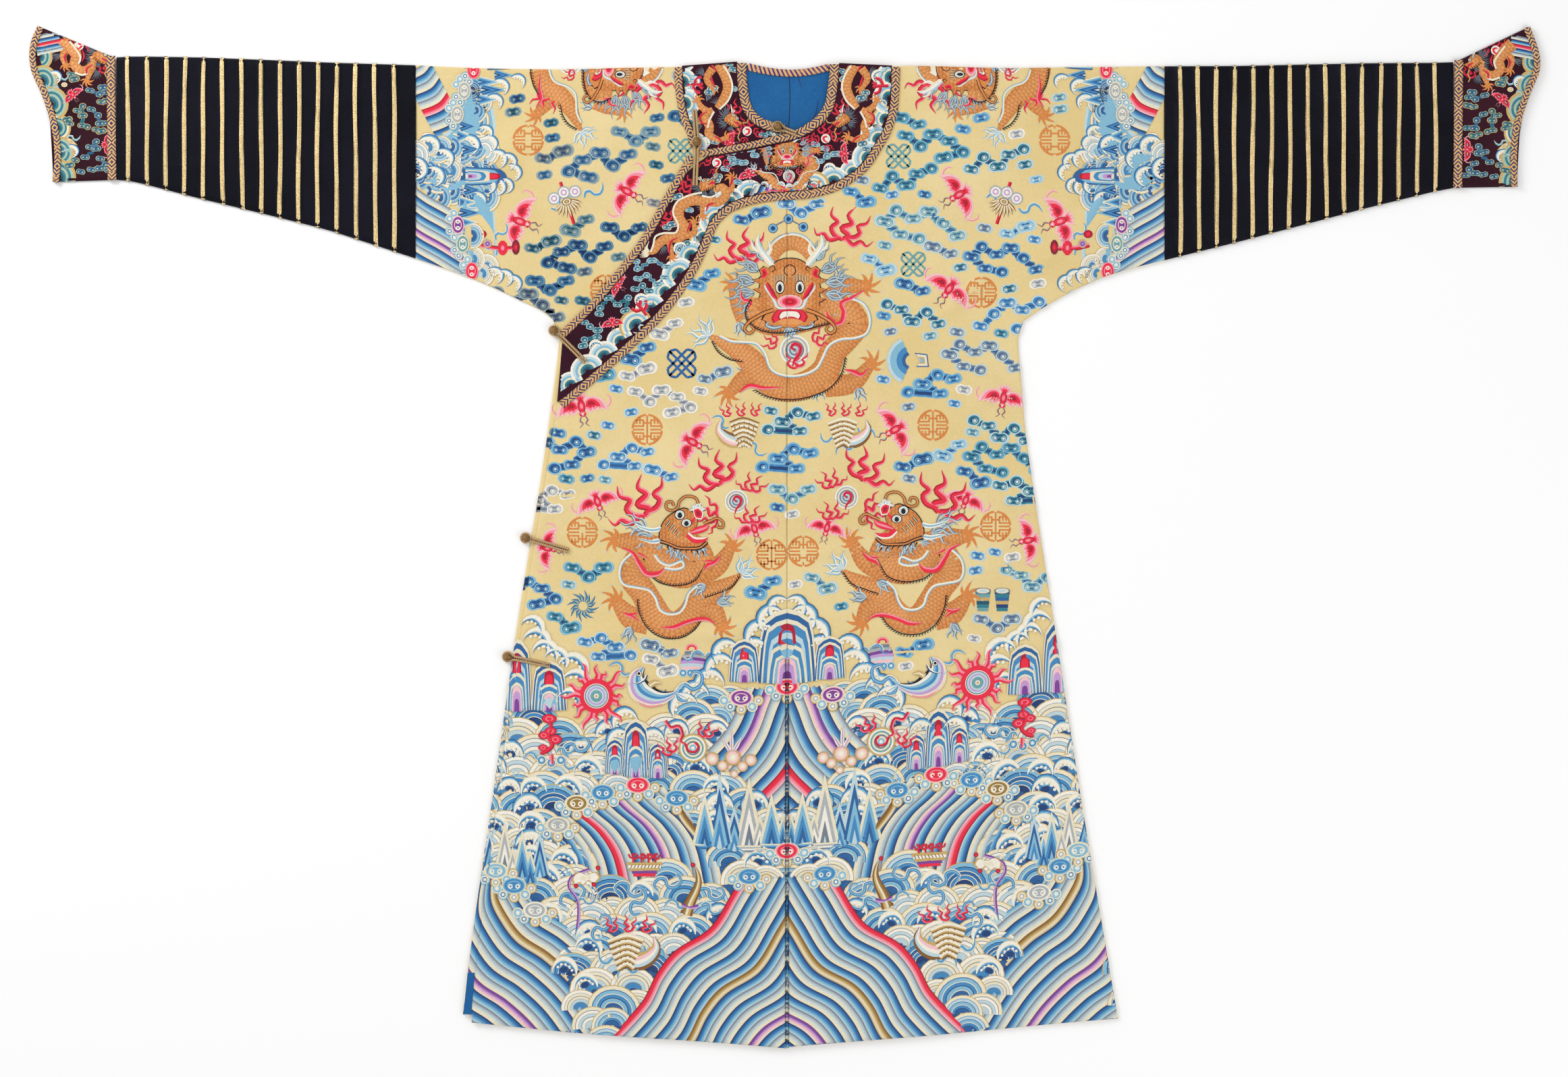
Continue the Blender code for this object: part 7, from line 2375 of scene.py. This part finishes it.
def slim_dragon(work, spot, body, fringe, legs, tufts, licks, lift):
    """A small couched dragon with a pale fringe, fire at its joints and dark tufts behind them."""
    for x, y, heading in tufts:
        for j in range(5):
            a = math.radians(heading + 15 * (j - 2))
            lock(work, x, y, 7, a + 0.3, 14, a, (1.6, 2.0, 0.4), ("slate", "black"), lift + 0.012 * j, spot)
    for k, path in enumerate(body):
        ribbon(work, path, GOLD_EDGE_SHADED, lift + 0.3 - 0.14 * k, spot=spot, rise=0.3, step=5, soft=True, kind=COUCHED)
    for path in fringe:
        ribbon(work, path, ("white", "cream"), lift + 0.62, 2.8, spot, 0.1, 5)
    for k, path in enumerate(legs):
        # Gold at the edges, amber down the middle: painted shade on the leg's rounded sides.
        ribbon(work, path, ("gold", "amber", "gold"), lift + 0.12 + 0.02 * k, spot=spot, rise=0.2, step=5,
               soft=True, kind=COUCHED)
        little_paw(work, *ankle(path), lift + 0.14 + 0.02 * k, spot)
    for path in licks:
        ribbon(work, path, ("crimson", "red"), lift + 0.7, spot=spot, rise=0.08, step=4)


def small_pearl(work, x, y, flip, lift):
    """A white pearl with a red comma, and thin flames round it."""
    disc(work, x, y, 13.5, ("white", "pale", "white"), lift + 0.22, shares=(1, 0.72, 0.5), rise=0.03,
         sides=16)
    ribbon(work, ((-2, 3, 2.4), (3, 2, 3.4), (2, -3, 3.0), (-4, -6, 1)), ("red",), lift + 0.5,
           spot=(x, y, 0, 1, flip), step=3)
    for k, (dx, dy, turn, size) in enumerate(((2, 6, 5, 0.44), (-9, 0, 60, 0.38), (10, -3, -70, 0.34),
                                              (-3, -9, 170, 0.26))):
        flame(work, (x + dx * flip, y + dy, turn * flip, size, flip), lift + 0.13 * (k % 2), 3, FIRE)


collar = new_work()
crest_row(collar,
          ((152.5, 698), (151.5, 662.5), (146.5, 618.5), (135, 579), (115, 545), (86, 523.5),
           (41.5, 509.5)), 20, -1, 0.15)
crest_row(collar, ((-145.5, 692), (-145.5, 662.5), (-143.5, 633), (-137.5, 599), (-130, 569.5)), 18, 1, 0.12)
crest_row(collar,
          ((-51.5, 500), (-81, 486), (-104.5, 456.5), (-130, 419.5), (-153.5, 383), (-181, 349),
           (-213, 311.5), (-249.5, 275.5), (-282, 246), (-311, 221.5)), 21, -1, 0.15)
STANDING_WATER = (-49.5, 496)
for k, letter in enumerate("gbpbrgrbpgb"):
    x, y = STANDING_WATER[0] + k * 9.5, STANDING_WATER[1]
    lean = 9 if k < 5 else -9
    ribbon(collar, ((x, y - 6), (x + lean, y + 13)), STRIPES[letter], 0.3 + 0.01 * (k % 2), 9.5, step=8)
for k in range(8):
    odd = k % 2
    curl(collar, -41.5 + 12 * k, 509.5 + 2 * odd, 5.0, 0, 1 - 2 * odd, 0.45 + 0.01 * (k % 3), False)
facing_dragon(collar, (3.5, 543, 0, 0.40, 1), ON_SATIN)
slim_dragon(
    collar, (0, 0),
    (((-103.5, 503.5, 8), (-90.5, 507.5, 12), (-85, 496, 13), (-96.5, 486, 13), (-115, 488, 14),
      (-137.5, 488, 16), (-152.5, 477.5, 16), (-153.5, 462.5, 16), (-145.5, 449, 16), (-151.5, 436, 16),
      (-169, 434, 14), (-182, 426.5, 13), (-189.5, 414.5, 9), (-197.5, 411.5, 3)),),
    (((-120, 500), (-137.5, 496), (-155.5, 487), (-162, 470.5), (-154.5, 453), (-157.5, 442), (-175, 441),
      (-187.5, 436), (-190.5, 423.5), (-194.5, 413.5)), ((-120, 495), (-106.5, 493), (-96.5, 498))),
    (((-87.5, 499, 10), (-77, 504.5, 9), (-78, 521.5, 6)),
     ((-108.5, 487, 10), (-119, 480, 8), (-119, 466.5, 6)),
     ((-147.5, 436, 10), (-131, 442, 9), (-132, 456.5, 6)),
     ((-169, 432, 9), (-166, 420.5, 8), (-163, 407.5, 6))),
    ((-75, 501, -65), (-116, 484, 205), (-129, 437, -65), (-179, 423.5, -75), (-102.5, 505.5, -110)),
    (((-114, 472.5, 1), (-110, 482, 3.5), (-99.5, 485, 1)),
     ((-142.5, 443, 1), (-137.5, 451, 3.5), (-137.5, 458.5, 1)),
     ((-153.5, 435, 1), (-165, 429, 3), (-168, 415.5, 3), (-166, 409.5, 1)),
     ((-80, 507.5, 1), (-76, 517.5, 3), (-77, 523.5, 1))), 0.2)
for k in range(9):
    a = math.radians(150 + 14 * (k - 4))
    lock(collar, -195.5, 413.5, 8, a + 0.5, 16, a, (1.6, 2.0, 0.5), ("cream",), 0.3 + 0.01 * (k % 3), step=4)
little_head(collar, -114, 511.5, 18, 1, 0.5)
for flip in (1, -1):
    slim_dragon(
        collar, (3.5, 584, 0, 1, flip),
        (((101, 106, 17), (90, 86, 15), (86, 68.5, 14), (92, 52, 13), (102, 39, 8)),
         ((108, 36.5, 8), (119.5, 27.5, 13), (112.5, 12, 13), (113.5, -1, 12), (100, -7, 8))),
        (((95, 104), (83.5, 85.5), (79.5, 67.5), (86, 49), (98, 37)),
         ((106, 33.5), (112.5, 21.5), (115.5, 10))),
        (((108, 96, 12), (116.5, 81.5, 10), (108, 66.5, 7)),
         ((114.5, 33.5, 10), (124.5, 40, 9), (129.5, 50, 6)), ((112.5, 0, 10), (100, -8, 8), (88, -4, 6))),
        ((120.5, 86, 40), (100, 41, 60), (123.5, 13.5, -40), (116.5, 49, 100)),
        (((110, 86, 1), (108, 76.5, 3.5), (104, 68.5, 1)),
         ((115.5, 33.5, 1), (125.5, 27.5, 3), (124.5, 17.5, 3), (114.5, 15.5, 1)),
         ((106, -2, 1), (99, -6, 3), (94, -12, 1)), ((113.5, 104, 1), (108, 100, 3), (102, 92, 1))), 0.2)
    little_head(collar, *put([(79.5, 21.5)], (3.5, 584, 0, 1, flip))[0], 32 * flip, -flip, 0.5)
for x, y, flip in ((-54.5, 589, 1), (59.5, 578, -1), (-98.5, 543, 1)):
    small_pearl(collar, x, y, flip, 0.22)
for spot in ((-74, 613.5, 0, 0.5), (33, 571.5, 10, 0.42), (82, 615.5, 0, 0.5), (-135.5, 505.5, 60, 0.5),
             (-147.5, 517.5, 75, 0.5), (-171, 456.5, 20, 0.5), (-122, 547, 70, 0.45), (-22, 568.5, 30, 0.3),
             (-130, 562.5, -60, 0.3), (-79, 572.5, 10, 0.3)):
    flame(collar, spot, ON_SATIN, 4, FIRE)
for x, y, turn in ((87.5, 556.5, 95), (-51.5, 525.5, 15), (-241.5, 364.5, 60), (-249.5, 309.5, 10),
                   (-78, 572.5, 80)):
    bat(collar, (x, y, turn, SMALL_BAT), ON_SATIN, DARK_BAT)
for x, y, turn in ((-141.5, 656.5, -90), (150.5, 654.5, 90), (-200.5, 321.5, 35)):
    coral(collar, x, y, turn, 0.95, 0.4)
    beside = x - 8 * math.sin(math.radians(turn))
    for flip, tints in ((1, ("pale", "teal")), (-1, ("cream", "sky"))):
        streamer(collar, (beside, y + 14 * flip, turn, 0.45, flip), 0.42, tints)
for chain in (
    ((-77, 558.5), (-63, 562.5), (-49.5, 562.5), (-43.5, 553.5)),
    ((-86.5, 534), (-75, 543), (-59.5, 543), (-77, 549)), ((-31, 583), (-21, 587), (-9.5, 581)),
    ((58.5, 563.5), (61, 552.5), (73, 555.5), (49.5, 545)), ((44.5, 569.5),), ((82, 676), (87.5, 664.5)),
    ((-75, 678), (-81, 688)), ((87.5, 649),), ((-75, 650.5),), ((-110, 645), (-104.5, 650.5)),
    ((117, 645), (111, 637)), ((-101.5, 573.5), (-107.5, 578)), ((118, 562.5), (113, 570.5)),
    ((-96.5, 523.5), (-100.5, 517.5)), ((-68, 514.5),), ((-169, 490), (-155.5, 494)), ((-138.5, 474.5),),
    ((-171, 449), (-163, 453.5)), ((-155.5, 417.5), (-141.5, 425.5), (-149.5, 423.5)),
    ((-216, 400), (-214, 389), (-192.5, 401), (-171, 392)),
    ((-213, 374.5), (-200.5, 379.5), (-184.5, 366.5), (-174, 376.5)),
    ((-217, 359.5), (-206.5, 364.5), (-196.5, 356.5)),
    ((-269, 323.5), (-268, 332), (-255.5, 347), (-242.5, 337), (-227, 347), (-231, 328.5)),
    ((-290.5, 311.5), (-282.5, 305), (-271, 300), (-272, 290), (-290.5, 286), (-292.5, 277.5)),
    ((-208, 431), (-201.5, 442)), ((-120, 388), (-130, 394)),
):
    cloud_chain(collar, np.array(chain), SMALL_CLOUD, 1, DARK_SHADES[len(chain) % 3], ON_SATIN, True)


# How far apart cloud heads are, at full size, and the forms that are short enough for a narrow band.
HEAD_PITCH = 29
SHORT_FORMS = (2, 3, 4, 5, 6, 6, 7, 8)


def fill_dark(work, outlines, keep, shades, seeds, tries):
    """Small clouds in whatever the other motifs leave free, no nearer to them than keep."""
    spots = np.concatenate(work["xy"])
    heads = []
    for _ in range(tries):
        outline = outlines[seeds.randrange(len(outlines))]
        low, high = outline.min(0), outline.max(0)
        x, y = seeds.uniform(low[0], high[0]), seeds.uniform(low[1], high[1])
        form = CLOUD_FORMS[seeds.choice(SHORT_FORMS)]
        places = put(form, (x, y, seeds.uniform(0, 360), SMALL_CLOUD, 1))
        if not within(places, outline).all() or np.abs(outline[:, None] - places[None]).max(2).min() < keep:
            continue
        if min(np.hypot(*(spots - place).T).min() for place in places) < keep:
            continue
        if heads:
            apart = np.hypot(*(np.array(heads)[:, None] - places[None]).transpose(2, 0, 1))
            if apart.min() < HEAD_PITCH * SMALL_CLOUD:
                continue
        heads += places.tolist()
        cloud_chain(work, places, SMALL_CLOUD, 1, shades[seeds.randrange(len(shades))], ON_SATIN, True)


collar_lines = [face_of(node, 0.006) for node in ("collar_flap", "collar_left")]
seeds = random.Random(3)
fill_dark(collar, collar_lines, 9.0, DARK_SHADES, seeds, 3200)
for node, outline in zip(("collar_flap", "collar_left"), collar_lines):
    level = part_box(node)[1].z
    sew(f"{node}_embroidery", collar, [(outline, lambda x, y, z=level: np.full_like(x, z))])

CUFF_SHADES = (("sage", "sea", "lagoon"), ("sage", "lagoon", "deep"), ("tan", "sea", "lagoon"))
# The cuffs are worked alike, mirrored, in greener and browner shades.
cuff = new_work()
crest_row(cuff,
          ((-1080.5, 698), (-1078.5, 672.5), (-1068.5, 648), (-1059, 618.5), (-1053, 589), (-1051, 559.5),
           (-1051, 523.5)), 21, 1, 0.15, ("tan", "sage", "sea", "sage", "sea", "lagoon"))
for k, letter in enumerate("gbrbg"):
    y = 719.5 - 6 * k
    ribbon(cuff, ((-1084.5, y + 6), (-1046.5, y + 14)), STRIPES[letter], 0.1, 6.5, step=8)
slim_dragon(
    cuff, (0, 0),
    (((-1048, 723, 18), (-1035.5, 711.5, 18), (-1027.5, 698, 16), (-1030.5, 686, 14), (-1020.5, 677, 13),
      (-1009, 680, 13), (-1003, 690, 11), (-1006, 698, 7)),),
    (((-1037.5, 719.5), (-1028.5, 707.5), (-1021.5, 696), (-1024.5, 687)),
     ((-1029.5, 674), (-1019.5, 670.5), (-1011, 672.5))),
    (((-1041, 709.5, 12), (-1047, 698, 10), (-1043, 685, 7)),
     ((-1004, 683, 11), (-1009, 672.5, 9), (-1012, 662.5, 6))),
    ((-1001, 678, -80), (-1010, 703.5, 60), (-1051, 701.5, 200), (-1002, 698, -110)),
    (((-1041, 703.5, 1), (-1045, 696, 3.5), (-1042, 688, 1)),
     ((-1004, 686, 1), (-1013, 679, 3.5), (-1012, 670.5, 1)),
     ((-1019.5, 707.5, 1), (-1016, 698, 3), (-1019.5, 690, 1))), 0.2)
little_head(cuff, -993, 698, -35, 1, 0.5)
small_pearl(cuff, -1023.5, 713.5, 1, 0.22)
flame(cuff, (-984.5, 674, 20, 0.45), ON_SATIN, 3, FIRE)
for x, y, turn in ((-1032.5, 641, 40), (-981.5, 569.5, 90)):
    bat(cuff, (x, y, turn, SMALL_BAT), ON_SATIN, DARK_BAT)
for x, y, turn, flip in ((-1057, 664.5, 20, 1), (-1053, 650.5, -20, -1), (-1041, 579, 10, 1),
                         (-1037.5, 558.5, -30, -1)):
    streamer(cuff, (x, y, turn, 0.5, flip), 0.3, ("pale", "teal"))
disc(cuff, -1045, 656.5, 9, ("cream", "tan", "cream"), 0.35, 7)
blob(cuff, ((-1044, 580), (-1035.5, 578), (-1025.5, 568.5), (-1037.5, 571.5)), ("tan", "cream", "tan"), 0.4,
     (1, 0.7, 0.4), None, 0.2, 3)
for chain in (
    ((-1008, 648), (-994, 642), (-989.5, 652.5), (-984.5, 645)), ((-992, 631), (-983.5, 633)),
    ((-1026.5, 618.5), (-1018.5, 625), (-1018.5, 611.5), (-1019.5, 597), (-1012, 595)),
    ((-1006, 620.5), (-996, 611.5), (-993, 600), (-982.5, 600.5)), ((-999, 591), (-991.5, 589)),
    ((-1008, 565.5), (-999, 573.5), (-999, 563.5), (-1015, 551)),
    ((-993, 549), (-985.5, 540), (-994, 535), (-980.5, 532)), ((-1006, 533),),
    ((-1035.5, 671.5), (-1030.5, 664.5)), ((-1037.5, 600), (-1041, 605.5)),
    ((-1029.5, 547), (-1037.5, 539)), ((-1021.5, 530),),
):
    cloud_chain(cuff, np.array(chain), SMALL_CLOUD, 1, CUFF_SHADES[len(chain) % 3], ON_SATIN, True)
fill_dark(cuff, [cuff_grounds["left"][0][0]], 8.5, CUFF_SHADES, seeds, 2600)
sew("cuff_embroidery_left", cuff, cuff_grounds["left"])
sew("cuff_embroidery_right", moved(mirrored(cuff), 1, -7), cuff_grounds["right"])

# The back lining's centre seam, in the opening of the neck, and beside it two navy lines of painted shade
# where two soft creases lie.
lining_seam_and_crease_shade = new_work()
ribbon(lining_seam_and_crease_shade, ((6.5, 674), (7.5, 633), (5.5, 588)), ("ink",), 0.5, 1.0, step=10)
# Painted crease shade: navy floss lines laid on the lining where the creases' shade falls.
for crease_shade in (((18, 670.5, 0.6), (24, 652.5, 2.0), (19, 633, 0.6)),
               ((48.5, 633, 0.6), (44.5, 613.5, 1.8), (37, 600, 0.6))):
    ribbon(lining_seam_and_crease_shade, crease_shade, ("navy",), 0.45, step=6)
lining_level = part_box("neck_lining")[1].z
sew("neck_lining_seam", lining_seam_and_crease_shade, [(rims["neck_lining"] / MM, lambda x, y: np.full_like(x, lining_level))])

# ---------------------------------------------------------------- hand stitches
# The bindings are slip-stitched down along both edges in tan silk, and a fine gold stitch crosses
# every braid each few millimetres to hold it down. One node tree lays all these rows.
def stitch_tree(seed):
    """A node tree that lays one small rounded stitch after another along a line."""
    tree = bpy.data.node_groups.new("row_of_stitches", "GeometryNodeTree")
    kinds = {"Line": "Geometry", "Silk": "Material"}
    for name in ("Line", "Pitch", "Length", "Thread", "Turn", "Unevenness", "Silk"):
        tree.interface.new_socket(name, in_out="INPUT", socket_type=f"NodeSocket{kinds.get(name, 'Float')}")
    tree.interface.new_socket("Stitches", in_out="OUTPUT", socket_type="NodeSocketGeometry")
    given = add(tree, "NodeGroupInput").outputs
    curve = add(tree, "GeometryNodeMeshToCurve", Mesh=given["Line"])
    spots = add(tree, "GeometryNodeResampleCurve", {"mode": "LENGTH"}, Curve=curve.outputs[0],
                Length=given["Pitch"])
    tangent = add(tree, "GeometryNodeInputTangent")
    along = add(tree, "FunctionNodeAlignRotationToVector", {"axis": "X"}, Vector=tangent.outputs[0])
    least = add(tree, "ShaderNodeMath", {"operation": "MULTIPLY", "1": -1.0}, _0=given["Unevenness"])
    wobble = add(tree, "FunctionNodeRandomValue", {"data_type": "FLOAT", "Seed": seed}, _2=least.outputs[0],
                 _3=given["Unevenness"])
    lean = add(tree, "ShaderNodeMath", {"operation": "ADD"}, _0=given["Turn"], _1=wobble.outputs[1])
    spin = add(tree, "FunctionNodeAxisAngleToRotation", Angle=lean.outputs[0])
    turned = add(tree, "FunctionNodeRotateRotation", {"rotation_space": "LOCAL"}, Rotation=along.outputs[0],
                 Rotate_By=spin.outputs[0])
    size = add(tree, "ShaderNodeCombineXYZ", X=given["Length"], Y=given["Thread"], Z=given["Thread"])
    ball = add(tree, "GeometryNodeMeshIcoSphere", {"Radius": 0.5, "Subdivisions": 1})
    shape = add(tree, "GeometryNodeTransform", Geometry=ball.outputs[0], Scale=size.outputs[0])
    laid = add(tree, "GeometryNodeInstanceOnPoints", Points=spots.outputs[0], Instance=shape.outputs[0],
               Rotation=turned.outputs[0])
    real = add(tree, "GeometryNodeRealizeInstances", Geometry=laid.outputs[0])
    done = add(tree, "GeometryNodeSetMaterial", Geometry=real.outputs[0], Material=given["Silk"])
    tree.links.new(done.outputs[0], add(tree, "NodeGroupOutput").inputs[0])
    return tree


STITCH_ROWS = stitch_tree(11)


def stitched(name, lines, **values):
    """A piece of stitches laid along lines, as one plain mesh."""
    points, edges = [], []
    for line in lines:
        edges += [(len(points) + i, len(points) + i + 1) for i in range(len(line) - 1)]
        points += [tuple(p) for p in line]
    mesh = bpy.data.meshes.new(f"{name}_line")
    mesh.from_pydata(points, edges, [])
    piece = bpy.data.objects.new(name, mesh)
    bpy.context.scene.collection.objects.link(piece)
    rows = piece.modifiers.new("stitches", "NODES")
    rows.node_group = STITCH_ROWS
    for socket in STITCH_ROWS.interface.items_tree:
        if socket.in_out == "INPUT" and socket.name in values:
            rows[socket.identifier] = values[socket.name]
    made = bpy.data.meshes.new_from_object(piece.evaluated_get(bpy.context.evaluated_depsgraph_get()))
    piece.modifiers.remove(rows)
    piece.data = made
    made.shade_smooth()
    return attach(piece, "root")


# Slip stitches: soft tan silk, a little darker than the brocade, so the rows read as fine dots.
tan_silk = new_material("tan_sewing_silk", {"Base Color": linear("#8E6A3C"), "Roughness": 0.55})[0]
# Couching stitches: bright gold silk with a soft shine.
gold_silk = new_material("gold_sewing_silk", {"Base Color": linear("#E9CC86"), "Roughness": 0.4})[0]
# Metres and radians. Turn is how far a stitch lies across its row.
SLIP_STITCH = {"Pitch": 0.0046, "Length": 0.0021, "Thread": 0.0007, "Turn": 0.5, "Unevenness": 0.25,
               "Silk": tan_silk}
COUCHING = {"Pitch": 0.0042, "Length": 0.0056, "Thread": 0.0008, "Turn": math.pi / 2 - 0.25,
            "Unevenness": 0.08, "Silk": gold_silk}
# How far in from a binding's edge its stitches are and how deep they sink, and a braid's height.
EDGE_IN, STITCH_SINK, BRAID_TOP = 0.0007, 0.0003, 0.0009
edge_rows = []
for path, wide, level in binding_paths.values():
    line = along_curve(np.column_stack((path, wide)), BINDING_STEP)
    side = across_of(line[:, :2])
    for sign in (-1, 1):
        spots = line[:, :2] + side * sign * (line[:, 2:3] / 2 - EDGE_IN)
        edge_rows.append(np.column_stack((spots, np.full(len(spots), level - STITCH_SINK)))[2:-2])
stitched("binding_slip_stitches", edge_rows, **SLIP_STITCH)
for label, lines in braid_paths.items():
    top = sleeve_grounds[label][0][1]
    rows = []
    for path in lines:
        spots = np.array(path) * MM
        rows.append(np.column_stack((spots, top(spots[:, 0], spots[:, 1]) + BRAID_TOP)))
    stitched(f"braid_couching_stitches_{label}", rows, **COUCHING)
